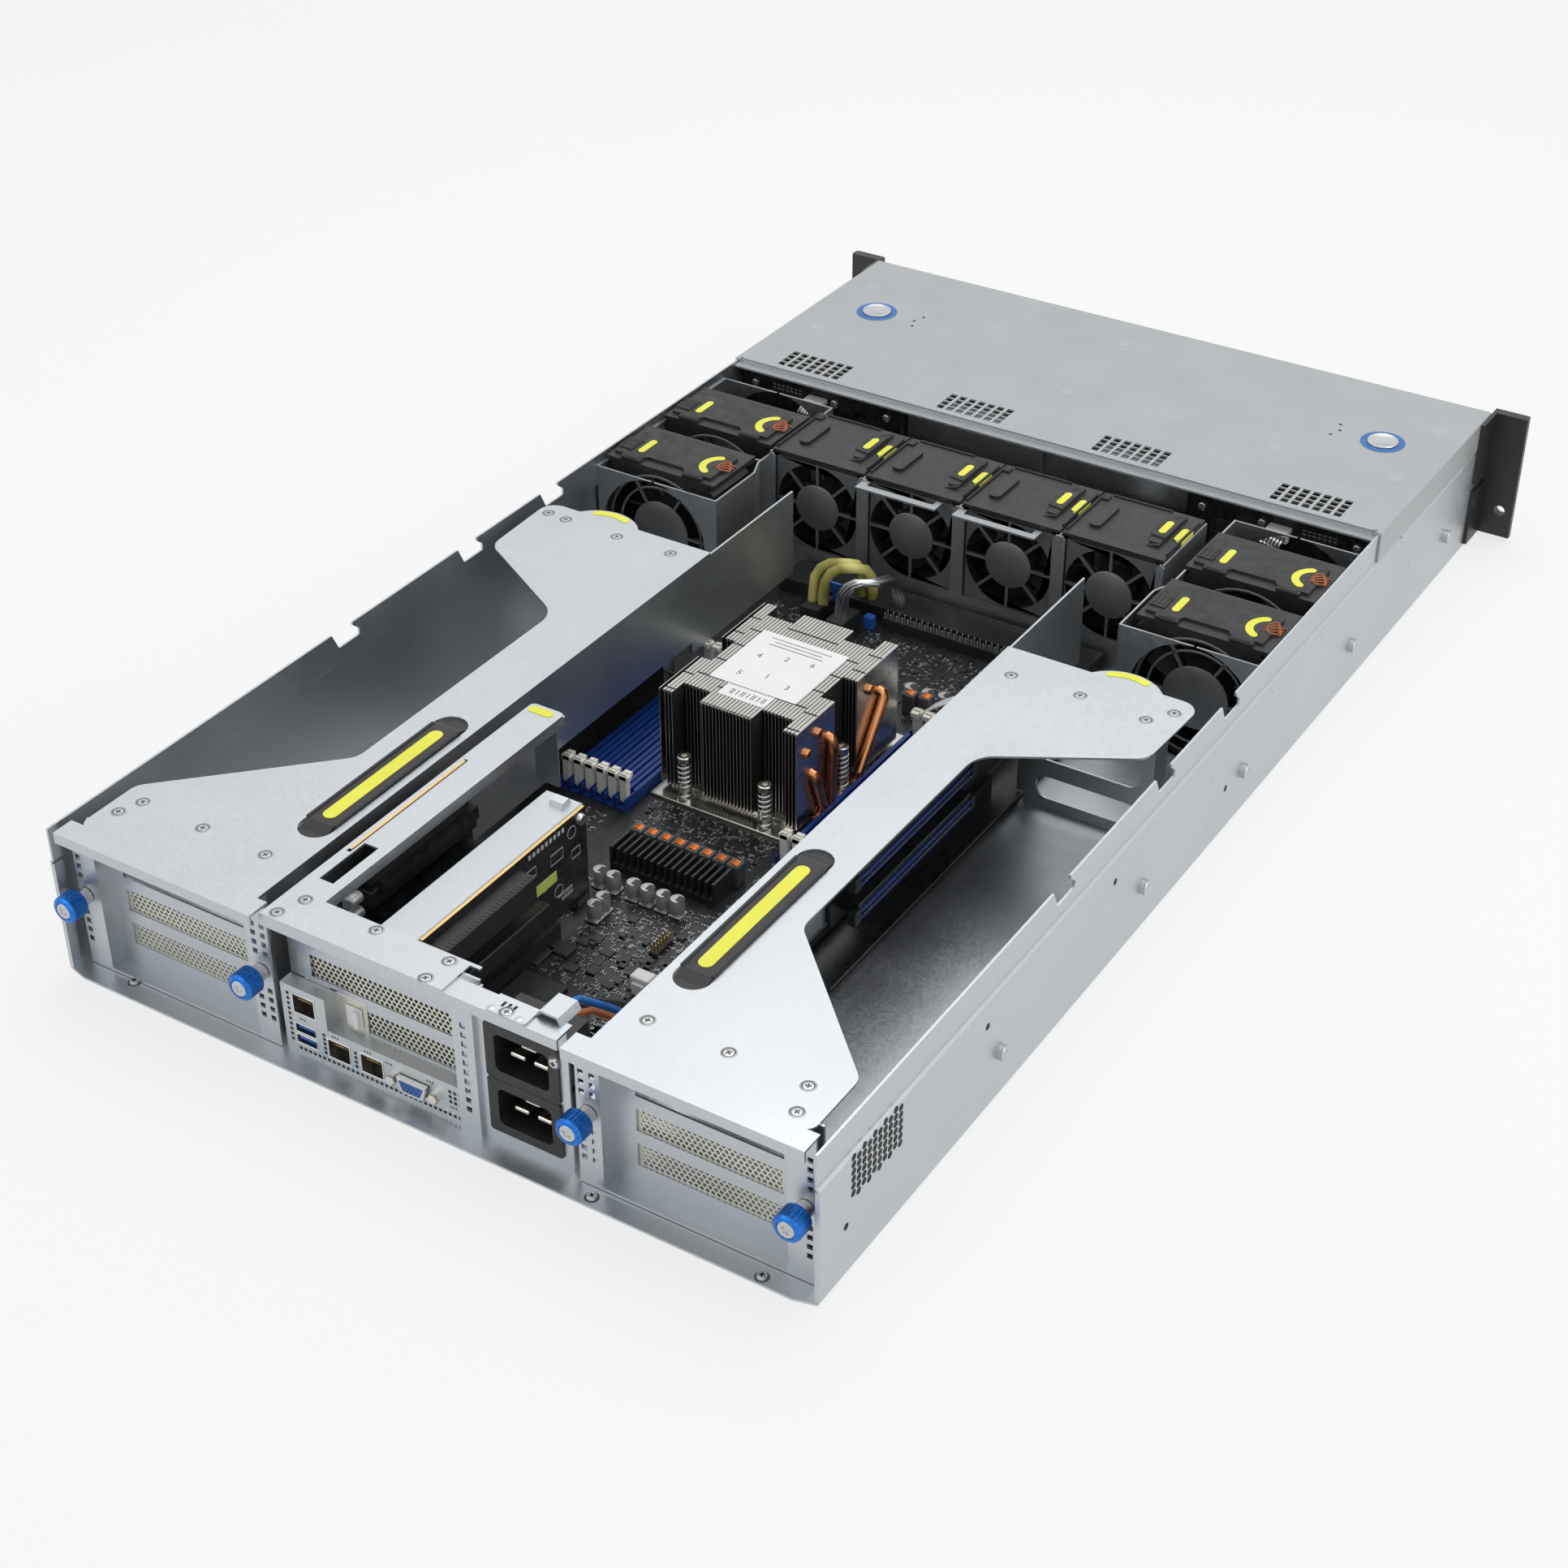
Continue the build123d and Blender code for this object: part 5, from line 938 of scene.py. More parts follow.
# %% Guards
guard_grey = grained("guard_grey", (0.20, 0.205, 0.21), 0.4, 0.65, 1100.0, 0.15, drift=0.06)


def ring_of(shape, x, z, outer, inner, rear, front, sides=36):
    """A flat ring in an upright plane, with rounded rims."""
    edge = 0.25
    profile = ((inner, front), (inner, rear - edge), (inner + edge, rear), (outer - edge, rear),
               (outer, rear - edge), (outer, front))
    return shape.hoop([[(x + a, y, z + b) for a, b in circle(sides, r)] for r, y in profile])


def guard(x, z, rear, duct, hub, spokes, rings=(), plate=0.0):
    """A guard: hub, spokes, rings and, where stated, the square plate that it is cut in."""
    made = Shape()
    made.turned((x, rear - 0.9, z), (0, 1, 0), [(hub, 0.0), (hub, 0.75), (hub - 0.5, 1.05), (0.4, 1.05)], 36)
    for a, b in circle(spokes):
        ray, side = Vector((a, 0, b)), Vector((-b, 0, a))
        start, stop = Vector((x, 0, z)) + ray * (hub - 0.5), Vector((x, 0, z)) + ray * (duct + 0.4)
        levels = ((Vector((0, rear - 0.8, 0)), side * 1.0), (Vector((0, rear, 0)), side * 0.85))
        made.stack([[start - half + y, start + half + y, stop + half + y, stop - half + y]
                    for y, half in levels])
    for radius, width in rings:
        ring_of(made, x, z, radius + width / 2, radius - width / 2, rear, rear - 0.8)
    if plate:
        ring, layer = 48, 52
        corners = [(plate, plate), (-plate, plate), (-plate, -plate), (plate, -plate)]
        points = [(x + a, y, z + b) for y in (rear - 0.15, rear - 0.6)
                  for a, b in corners + circle(ring, duct)]
        faces = band(4, layer + 4, ring) + band(0, layer, 4)
        for start in (0, layer):
            outer = sorted((math.atan2(b, a) % TURN, start + i) for i, (a, b) in enumerate(corners))
            found = zipper(outer, [(TURN * i / ring, start + 4 + i) for i in range(ring)])
            faces += [face[::-1] for face in found] if start else found
        made.put(points, faces)
    return made


print("a guard of eight spokes has", len(guard(0, 0, 0, 28.0, 14.9, 8).faces), "faces")

# %% Small fans
BAY_PITCH, BAY_CENTRE = 65.3, 4.85
PLEATS = 7
for number in range(1, 5):
    x = BAY_CENTRE + (number - 2.5) * BAY_PITCH
    piece(f"fan_{number}_guard", f"fan_{number}", guard(x, 52.0, -125.75, 28.0, 14.9, 8, (), 28.3),
          guard_grey)
    lid = Shape()
    for index in range(PLEATS):
        lid.outline("x", [(-137.0 - index * 0.2, 83.6), (-177.0, 83.6), (-177.0, 84.0 + 0.25 * index),
                          (-137.0 - index * 0.2, 84.0 + 0.25 * index)], x - 16 - index * 1.15,
                    x - 15.2 - index * 1.15)
    lid.outline("z", [(x - 23, -146), (x - 13.5, -147.5), (x - 12.5, -150), (x - 12.5, -166),
                      (x - 13.5, -168.5), (x - 23, -170)], 85.4, 86.4)
    lid.block((x - 31.6, -176, 83.7), (x - 30.4, -132, 85.6), 0.3)
    lid.block((x + 30.2, -180, 83.7), (x + 31.4, -130, 85.2), 0.3)
    lid.block((x + 26, -179, 83.7), (x + 30.4, -173, 85.0), 0.4)
    lid.block((x - 12, -181.5, 83.7), (x + 26, -180.2, 84.8), 0.3)
    piece(f"fan_{number}_lid", f"fan_{number}", lid, soft_black)
    marks = bar(Shape(), x - 18.4, -158, 86.4, 15, 4.4)
    piece(f"fan_{number}_mark", f"fan_{number}", marks, yellow_plastic)
    strip = Shape().block((x - 31.9, -166, 81.4), (x - 28.0, -150, 84.2), 0.4)
    strip = bar(strip, x - 28.2, -158, 84.2, 15, 4.4)
    piece(f"fan_{number}_grip", f"fan_{number}", strip, yellow_plastic)

# %% Side fans
wire_brown = grained("wire_brown", (0.36, 0.10, 0.03), 0.4, drift=0.2)
SIDE_X, SIDE_Z = 176.25, 42.8
LID_TOP = 84.0
for side, sign in BOTH_SIDES:
    for number, rear in ((1, -66.0), (2, -128.0)):
        body = f"side_fan_{side}_{number}"
        x = sign * SIDE_X
        frame_guard = guard(x, SIDE_Z, rear + 0.7, 36.0, 19.6, 6, ((29.0, 1.4), (36.2, 1.6)))
        piece(f"{body}_guard", body, frame_guard, guard_grey)
        lid = Shape()
        lid.outline("z", [(x - 33, rear - 5), (x - 14, rear - 5), (x - 12, rear - 8), (x + 14, rear - 8),
                          (x + 16, rear - 5), (x + 36, rear - 5), (x + 36, rear - 34), (x + 22, rear - 40),
                          (x - 24, rear - 40), (x - 33, rear - 35)], LID_TOP - 0.2, LID_TOP + 1.6)
        for place in (x - 22, x + 22):
            lid.block((place - 7, rear - 4.2, LID_TOP), (place + 7, rear - 0.6, LID_TOP + 2.2), 0.5)
            lid.block((place - 5, rear - 3.4, LID_TOP + 2.2), (place + 5, rear - 1.4, LID_TOP + 2.6), 0.2)
        lid.block((x + 27, rear - 24, LID_TOP + 1.6), (x + 37, rear - 10, LID_TOP + 2.6), 0.6)
        for step in range(3):
            lid.block((x + 28.5 + step * 3, rear - 22, LID_TOP + 2.6),
                      (x + 29.5 + step * 3, rear - 12, LID_TOP + 3.0), 0.2)
        piece(f"{body}_lid", body, lid, soft_black)
        marks = bar(Shape(), x + 21.5, rear - 19, LID_TOP + 1.6, 17, 4.4)
        marks = arc(marks, x - 30, rear - 20, LID_TOP + 1.6, 10.5, 4.4, -62, 62)
        piece(f"{body}_marks", body, marks, yellow_plastic)
        wires = Shape()
        for strand in range(5):
            points = [(x - 37 + step * 1.1, rear - 27 + strand * 2.3 + 1.3 * math.sin(step * 0.9 + strand),
                       LID_TOP + 0.4 + 1.5 * math.sin(math.pi * step / 11)) for step in range(12)]
            wires.pipe(points, 0.55, 6)
        piece(f"{body}_wires", body, wires, wire_brown)

# %% [markdown]
# ## Parts on the main board
# Small parts are scattered with fixed seeds over the open areas of the board: chip resistors with
# tinned ends, small packages and white silk-screen strokes. The larger parts get what makes them
# read as real: aluminium cans, copper windings under the chokes' tops and rows of tinned legs.

# %% Board finishes and open areas
BOARD_TOP = 6.6
BOARD_GRID = 1.3
MEMORY_BANK, MEMORY_PITCH = 69.4, 7.5
can_metal = grained("can_aluminium", (0.46, 0.47, 0.48), 0.42, 0.6, 1500.0, 0.04, drift=0.04)
silk = grained("silk_white", (0.55, 0.56, 0.56), 0.55, drift=0.1)
package_black = grained("package_black", (0.02, 0.021, 0.022), 0.42)
resistor_body = grained("resistor_body", (0.035, 0.034, 0.033), 0.35)
tinned = grained("tinned_end", (0.72, 0.72, 0.71), 0.32, 0.9, drift=0.04)

OPEN_AREAS = ((-30, 48, 128, 160, 90), (-94, 104, -84, -10, 260), (-92, -40, -84, 0, 110),
              (-48, -36, 126, 200, 30), (62, 80, 130, 340, 80), (-60, -34, 200, 300, 60))
KEEP_OUT = ((-38, 56, 3, 127), (44, 84, -94, -58), (-62, 40, -99, -88), (-32, 36, 172, 194),
            (-9, 20, 284, 308), (15, 33, 263, 281), (-23, 50, 202, 236), (26, 37, 290, 310),
            (78, 87, 240, 345), (18, 27, 222, 360))


def on_board(spots):
    """Places on the top of the board."""
    return [(x, y, BOARD_TOP) for x, y in spots]


def scatter(seed, share, margin):
    """Places on the open areas, clear of the larger parts."""
    maker = random.Random(seed)
    found = []
    for left, right, front, rear, count in OPEN_AREAS:
        for _ in range(int(count * share)):
            x, y = maker.uniform(left, right), maker.uniform(front, rear)
            x, y = round(x / BOARD_GRID) * BOARD_GRID, round(y / BOARD_GRID) * BOARD_GRID
            if any(a - margin < x < b + margin and c - margin < y < d + margin for a, b, c, d in KEEP_OUT):
                continue
            if any(abs(x - COOLER_X - s * MEMORY_BANK) < 24 and -8 < y < 152 for s in (-1, 1)):
                continue
            found.append((x, y, BOARD_TOP, (0, 0, maker.choice((0.0, TURN / 4)))))
    return found


chip_places = scatter(3, 2.2, 1.0)
print("chip parts", len(chip_places))

# %% Chip parts and strokes
chip_body = Shape().block((-0.45, -0.4, 0), (0.45, 0.4, 0.42), 0.05)
repeat("resistor_bodies", "chassis", chip_body, chip_places, resistor_body)
ends = Shape().block((-0.8, -0.42, 0), (-0.45, 0.42, 0.46), 0.04)
ends.block((0.45, -0.42, 0), (0.8, 0.42, 0.46), 0.04)
repeat("resistor_ends", "chassis", ends, chip_places, tinned)
strokes = Shape().block((-1.1, -0.12, 0), (1.1, 0.12, 0.05), 0)
strokes.block((-1.1, 0.5, 0), (0.2, 0.7, 0.05), 0)
repeat("silk_strokes", "chassis", strokes, scatter(11, 1.1, 0.5), silk)
small_chips = scatter(23, 0.16, 3.0)
repeat("small_packages", "chassis", Shape().block((-1.9, -1.6, 0.1), (1.9, 1.6, 1.1), 0.12), small_chips,
       package_black)
legs = Shape()
for step in range(4):
    for side in (-1, 1):
        legs.block((-1.5 + step, side * 1.6 - 0.4, 0), (-1.2 + step, side * 1.6 + 0.4, 0.35), 0)
repeat("small_package_legs", "chassis", legs, small_chips, tinned)

# %% Capacitors
CAPACITORS = [(29.5, 206.5), (21, 206.5), (8.5, 206.5), (-0.2, 206.5), (-9.8, 206.5), (-18.4, 206.5),
              (41, 216.3), (41, 224), (41, 231.7), (15.3, 224), (15.3, 231.7)]
can = Shape().turned((0, 0, 0), (0, 0, 1),
                     [(3.72, 1.4), (3.86, 2.0), (3.6, 2.7), (3.86, 3.4), (3.86, 9.8), (3.5, 10.5),
                      (2.9, 10.62), (0.3, 10.5)], 20)
can.block((-3.9, -3.9, 0), (3.9, 3.9, 1.4), 0.7)
repeat("capacitor_cans", "chassis", can, on_board(CAPACITORS), can_metal)
stripe = Shape().outline("z", [(-3.9, -1.6), (-2.9, -2.6), (0, -2.2), (0, 2.2), (-2.9, 2.6), (-3.9, 1.6)],
                         10.56, 10.66)
repeat("capacitor_marks", "chassis", stripe, on_board(CAPACITORS), package_black)

# %% Chokes
choke_case = grained("choke_case", (0.10, 0.10, 0.105), 0.5, 0.2, drift=0.1)
winding = grained("choke_winding", (0.50, 0.14, 0.03), 0.3, 0.9, drift=0.25)
CHOKES = [(1.5 + (i - 3.5) * 8.6, 168) for i in range(8)]
CHOKE_TOP = 12.5
case = Shape().block((-3.6, -3.6, 0), (3.6, 3.6, CHOKE_TOP), 0.4)
for low_corner, high_corner in (((-3.5, -3.5), (-2.4, 3.5)), ((2.4, -3.5), (3.5, 3.5)),
                                ((-2.4, 2.4), (2.4, 3.5)), ((-2.4, -3.5), (2.4, -2.4))):
    case.block((*low_corner, CHOKE_TOP), (*high_corner, CHOKE_TOP + 0.4), 0.1)
repeat("choke_cases", "chassis", case, on_board(CHOKES), choke_case)
turns = Shape()
for step in range(4):
    at_y = -1.7 + step * 1.1
    turns.pipe([(-2.2, at_y, CHOKE_TOP + 0.1), (-0.8, at_y + 0.1, CHOKE_TOP + 0.35),
                (0.9, at_y - 0.1, CHOKE_TOP + 0.4), (2.2, at_y, CHOKE_TOP + 0.1)], 0.5, 6)
repeat("choke_windings", "chassis", turns, on_board(CHOKES), winding)

# %% Chips with legs
CHIPS = (("bridge", -7.4, 18.4, 285.6, 307.4, 2.7), ("control", 16.2, 31.8, 264, 280, 2.55),
         ("network", 7.8, 20.2, 257.2, 266.8, 2.55))
LEG_PITCH, LEG_WIDTH = 0.8, 0.35
for name, left, right, front, rear, high in CHIPS:
    body_shape = Shape().block((left, front, BOARD_TOP), (right, rear, BOARD_TOP + high), 0.3)
    body_shape.turned((left + 2.2, front + 2.2, BOARD_TOP + high), (0, 0, 1),
                      [(0.7, 0.0), (0.7, 0.04), (0.1, 0.04)], 12)
    piece(f"{name}_chip", "chassis", body_shape, package_black)
    rows = Shape()
    for step in range(int((right - left - 2) / LEG_PITCH)):
        x = left + 1.2 + step * LEG_PITCH
        for near, far in ((front - 0.9, front + 0.1), (rear - 0.1, rear + 0.9)):
            rows.block((x, near, BOARD_TOP), (x + LEG_WIDTH, far, BOARD_TOP + 0.5), 0)
    piece(f"{name}_legs", "chassis", rows, tinned)

# %% Headers and air dam
blocks = Shape()
for x, y in ((31.4, 295.5), (31.4, 304.9), (42.5, -87.6)):
    blocks.block((x - 3.1, y - 2.6, BOARD_TOP), (x + 3.1, y + 2.6, BOARD_TOP + 8.2), 0.3)
piece("blue_headers", "chassis", blocks, socket_blue)
pins = [(-59 + step * 3.9, y, BOARD_TOP + 6.8) for step in range(25) for y in (-95.6, -92.4)]
repeat("header_pins", "chassis", Shape().block((-0.35, -0.35, 0), (0.35, 0.35, 3.6), 0.1), pins, tinned)
# The slits of the air dam are flat near-black strips: painted shade in place of openings.
slits = [(-90 + column * 6.6, -119 + row * 4.2, BOARD_TOP + 9.02) for column in range(30) for row in range(5)]
repeat("dam_slits", "chassis", Shape().block((-2.2, -0.35, 0), (2.2, 0.35, 0.06), 0), slits, dark_cavity)

# %% [markdown]
# ## Cables
# The signal cables leave their plugs in a yellow braid and a silver braid, bend over and dive
# behind the air dam. Beside the cooler two white ribbon cables run to a blue pull tab. The braid
# is a weave of two crossing waves in the finish, with its relief.

# %% Braids
def braided(name, first, second, metallic, roughness, pitch):
    """A braid: two sets of slanting strands."""
    made, tree, shader, place = finish(name, first, roughness, metallic)
    split = add(tree, "ShaderNodeSeparateXYZ", place)
    lean = []
    for sign in (1, -1):
        flat = add(tree, "ShaderNodeMath", split.outputs[0], split.outputs[1], operation="ADD").outputs[0]
        tilted = add(tree, "ShaderNodeMath", flat, split.outputs[2], operation="MULTIPLY_ADD",
                     in_1=sign * 1.0).outputs[0]
        scaled = add(tree, "ShaderNodeMath", tilted, operation="MULTIPLY",
                     in_1=TURN / (pitch * MM)).outputs[0]
        lean.append(add(tree, "ShaderNodeMath", scaled, operation="SINE").outputs[0])
    height = add(tree, "ShaderNodeMath", lean[0], lean[1], operation="MAXIMUM").outputs[0]
    level = span(tree, height, 0.0, 1.0, -0.2, 1.0)
    tree.links.new(blend_colours(tree, level, second, first), shader.inputs["Base Color"])
    bump(tree, shader, level, 0.7, 0.0004)
    return made


print("braid helper ready")

# %% Yellow and silver cables
yellow_braid = braided("yellow_braid", (0.74, 0.70, 0.24), (0.30, 0.27, 0.06), 0.0, 0.55, 1.7)
silver_braid = braided("silver_braid", (0.70, 0.71, 0.73), (0.22, 0.22, 0.23), 0.9, 0.3, 1.5)
PLUG_TOP = 19.0


def course(x, y, crest, end_x):
    """Smooth way of a cable from its plug over a crest to the dam."""
    return [(x, y, PLUG_TOP - 1.5), (x, y - 0.3, PLUG_TOP + 4), (x - 0.5, y - 1.5, crest - 7),
            (x - 2.5, y - 4.5, crest - 2), (x - 6, y - 9, crest), (end_x + 6, y - 15, crest - 0.6),
            (end_x + 2.5, -100.5, crest - 3), (end_x + 0.6, -103.6, crest - 9), (end_x, -104.8, crest - 16),
            (end_x, -104.8, 15.8)]


yellow = Shape().pipe(course(77.2, -80, 41, 57.2), 3.3, 14, 0.8)
yellow.pipe(course(70.4, -80, 39.5, 50.6), 3.3, 14, 0.8)
piece("signal_braid_yellow", "chassis", yellow, yellow_braid, ("signal_leads",))
silver = Shape()
for strand in range(9):
    twist = []
    for index, (x, y, z) in enumerate(course(53, -72, 39, 33.0)):
        angle = TURN * strand / 9 + index * 0.42
        twist.append((x + 3.1 * math.cos(angle), y + 1.4 * math.sin(angle),
                      z + (1.6 * math.sin(angle) if 1 < index < 8 else 0)))
    silver.pipe(twist, 1.25, 8)
piece("signal_strands_silver", "chassis", silver, silver_braid)
tab = Shape().outline("x",
                      [(-86.5, 18.0), (-85.6, 18.0), (-84.0, 26.0), (-81.5, 33.5), (-82.4, 34.0),
                       (-85.0, 27.0)], 59.0, 66.5)
piece("signal_pull_tab", "chassis", tab, socket_blue)

# %% Ribbons and pull tab
ribbon_white = grained("ribbon_white", (0.74, 0.75, 0.76), 0.45, drift=0.05)
ribbons = Shape()
for ribbon, (start_y, end_y) in enumerate(((-16.0, -41.0), (-22.0, -46.0))):
    for strand in range(5):
        points = []
        for step in range(13):
            part = step / 12
            x = -34 - 42 * part
            y = start_y + strand * 1.05 + (end_y - start_y) * part * part
            z = 12 + 9 * math.sin(math.pi * part) + (8 * part if part < 0.95 else 7.0) - ribbon * 0.6
            points.append((x, y, z))
        ribbons.pipe(points, 0.55, 6)
piece("white_ribbons", "chassis", ribbons, ribbon_white)
seat = Shape().block((-84, -50, BOARD_TOP), (-73, -32, BOARD_TOP + 9), 0.4)
piece("ribbon_socket", "chassis", seat, package_black)
pull = Shape().outline("y", [(-77, 18), (-75.6, 18), (-79.5, 29.5), (-81.0, 29.0)], -47.0, -36.0)
piece("ribbon_pull_tab", "chassis", pull, socket_blue)

# %% [markdown]
# ## Riser boards and their slots
# Each riser board stands beside the inner wall of its cage and carries two card slots on its outer
# side, with a blue liner in each mouth and rows of contacts. Copper shows along the cut edge of
# the board, and two screws hold it.

# %% Riser slots
for side, board_x, outward in (("left", 116.5, 1), ("right", -98.0, -1)):
    body = f"riser_cage_{side}"
    face = board_x + outward * 12.6
    liners, contacts, shells = Shape(), [], Shape()
    for z in (26.56, 46.88):
        low, high = sorted((face - outward * 1.4, face + outward * 0.15))
        liners.block((low, 67, z - 2.9), (high, 180, z - 1.4), 0.1)
        liners.block((low, 67, z + 1.4), (high, 180, z + 2.9), 0.1)
        contacts += [(face - outward * 0.4, 70 + step * 2.0, z + s * 1.1) for step in range(54)
                     for s in (-1, 1)]
        low, high = sorted((face - outward * 4.0, face + outward * 0.4))
        shells.block((low, 63.5, z - 4.2), (high, 67, z + 4.2), 0.3)
        shells.block((low, 180, z - 4.2), (high, 186, z + 4.2), 0.3)
    piece(f"slot_liners_{side}", body, liners, slot_blue)
    piece(f"slot_ends_{side}", body, shells, black_plastic)
    repeat(f"slot_contacts_{side}", body, Shape().block((-0.5, -0.3, -0.3), (0.5, 0.3, 0.3), 0), contacts,
           gold)
    edge = Shape().block((board_x - 0.05, 12, 79.95), (board_x + 1.65, 188, 80.1), 0)
    piece(f"riser_edge_{side}", body, edge, gold)
    heads = [(board_x + outward * 1.7, y, 72.0, (0, outward * TURN / 4, 0), (1, 1, 1)) for y in (30.0, 160.0)]
    repeat(f"riser_screws_{side}", body, pan_screw, heads, screw_steel)
    parts = []
    maker = random.Random(41 + outward)
    for _ in range(80):
        y, z = maker.uniform(14, 186), maker.uniform(54, 78)
        parts.append((board_x + (1.7 if outward > 0 else -0.1), y, z, (0, outward * TURN / 4, 0)))
    repeat(f"riser_parts_{side}", body, Shape().block((-0.7, -0.4, 0), (0.7, 0.4, 0.4), 0.05), parts, tinned)

# %% [markdown]
# ## Painted shade at the screws
# Round each head a thin dark ring is painted as the shade where the dished sheet falls away from it,
# and the cross is painted dark as the shade of its depth. Both are painted shade: small shapes set under and
# in the heads.

# %% Painted shade at the screw heads
# Painted shade for the seat rings; the same finish is the own dark colour of the ear screws.
seat_shade_and_dark_screw = grained("screw_seat", (0.10, 0.105, 0.11), 0.5, 0.6, drift=0.05)
seat_shade_ring = Shape().turned((0, 0, 0), (0, 0, 1), [(3.75, 0.01), (3.6, 0.05), (0.4, 0.05)], 24)
screw_cross_shade = Shape().block((-1.45, -0.44, -0.3), (1.45, 0.44, 0.02), 0)
screw_cross_shade.block((-0.44, -1.45, -0.3), (0.44, 1.45, 0.02), 0)
pan_head_cross_shade = Shape().block((-1.35, -0.42, 1.0), (1.35, 0.42, 1.38), 0)
pan_head_cross_shade.block((-0.42, -1.35, 1.0), (0.42, 1.35, 1.38), 0)
pan_head_seat_shade = Shape().turned((0, 0, 0), (0, 0, 1), [(3.6, 0.0), (3.5, 0.06), (0.4, 0.06)], 24)
for side, at in cage_at.items():
    repeat(f"cage_screw_seats_{side}", f"riser_cage_{side}", seat_shade_ring, at, seat_shade_and_dark_screw)
    repeat(f"cage_screw_crosses_{side}", f"riser_cage_{side}", screw_cross_shade, at, dark_cavity)
repeat("bracket_screw_seats", "chassis", seat_shade_ring, bracket_at, seat_shade_and_dark_screw)
repeat("bracket_screw_crosses", "chassis", screw_cross_shade, bracket_at, dark_cavity)
repeat("pan_screw_seats", "chassis", pan_head_seat_shade, pan_places, seat_shade_and_dark_screw)
repeat("pan_screw_crosses", "chassis", pan_head_cross_shade, pan_places, dark_cavity)

# %% [markdown]
# ## Ports at the rear
# The network sockets show eight gold contacts in a stepped mouth painted near-black as its shade, the
# small ports a blue tongue, and the video connector a blue insert with three rows of holes, painted as dark
# dots of shade, between two hex posts. Square vent holes, painted as flat dark squares of shade, run along
# the foot of the panel and in small groups round the ports.

# %% Network and data ports
PANEL_Y = 385.6
JACKS = [(65.5, 25.8), (46.0, 6.6), (26.2, 6.6)]
SMALL_PORTS = [(66.3, 7.0), (66.3, 13.8)]
contacts, mouths, tongues, rims = Shape(), Shape(), Shape(), Shape()
for left, low in JACKS:
    for step in range(8):
        x = left + 2.9 + step * 1.05
        contacts.block((x, PANEL_Y - 7.5, low + 7.6), (x + 0.45, PANEL_Y - 1.2, low + 8.3), 0.05)
    # The mouths are near-black: painted shade inside the sockets.
    mouths.block((left + 0.8, PANEL_Y - 8.4, low + 0.8), (left + 12.8, PANEL_Y - 7.6, low + 10.6), 0)
    mouths.block((left + 0.8, PANEL_Y - 7.6, low + 9.2), (left + 3.9, PANEL_Y - 0.2, low + 10.6), 0)
    mouths.block((left + 9.7, PANEL_Y - 7.6, low + 9.2), (left + 12.8, PANEL_Y - 0.2, low + 10.6), 0)
    for a, b, c, d in ((-0.2, 13.8, -0.2, 0.5), (-0.2, 13.8, 10.9, 11.6), (-0.2, 0.5, 0.5, 10.9),
                       (13.1, 13.8, 0.5, 10.9)):
        rims.block((left + a, PANEL_Y - 0.3, low + c), (left + b, PANEL_Y + 0.35, low + d), 0.1)
for left, low in SMALL_PORTS:
    tongues.block((left + 1.6, PANEL_Y - 7.0, low + 2.6), (left + 11.4, PANEL_Y - 0.5, low + 4.2), 0.1)
    for a, b, c, d in ((-0.1, 13.1, -0.1, 0.4), (-0.1, 13.1, 5.2, 5.7), (-0.1, 0.4, 0.4, 5.2),
                       (12.6, 13.1, 0.4, 5.2)):
        rims.block((left + a, PANEL_Y - 0.3, low + c), (left + b, PANEL_Y + 0.3, low + d), 0.1)
piece("jack_contacts", "chassis", contacts, gold)
piece("jack_mouths", "chassis", mouths, dark_cavity)
piece("port_tongues", "chassis", tongues, socket_blue)
piece("port_rims", "chassis", rims, shell_steel)

# %% Video connector
shell, insert, holes_shape = Shape(), Shape(), Shape()
for grow, shape, low, high in ((0.35, shell, 387.4, 388.75), (-1.3, insert, 388.6, 389.15)):
    wide, narrow, tall = 8.3 + grow, 6.2 + grow, 3.9 + grow
    shape.outline("y", [(7.4 - wide, 12 + tall), (7.4 + wide, 12 + tall), (7.4 + narrow, 12 - tall),
                        (7.4 - narrow, 12 - tall)], low, high)
# The holes of the insert are near-black dots of painted shade.
for row in range(3):
    for step in range(5):
        x = 7.4 - 4.4 + step * 2.2 + (1.1 if row == 1 else 0)
        holes_shape.turned((x, 389.1, 12 + (1 - row) * 1.7), (0, 1, 0),
                           [(0.45, 0.0), (0.45, 0.12), (0.05, 0.12)], 10)
piece("video_shell", "chassis", shell, shell_steel)
piece("video_insert", "chassis", insert, socket_blue)
piece("video_holes", "chassis", holes_shape, dark_cavity)
nuts = Shape()
for x in (19.9, -5.1):
    nuts.turned((x, PANEL_Y, 12), (0, 1, 0),
                [(3.0, 0.0), (3.0, 3.4), (2.7, 3.9), (1.5, 3.9), (1.5, 3.0), (0.1, 3.0)], 6)
piece("video_posts", "chassis", nuts, nickel)

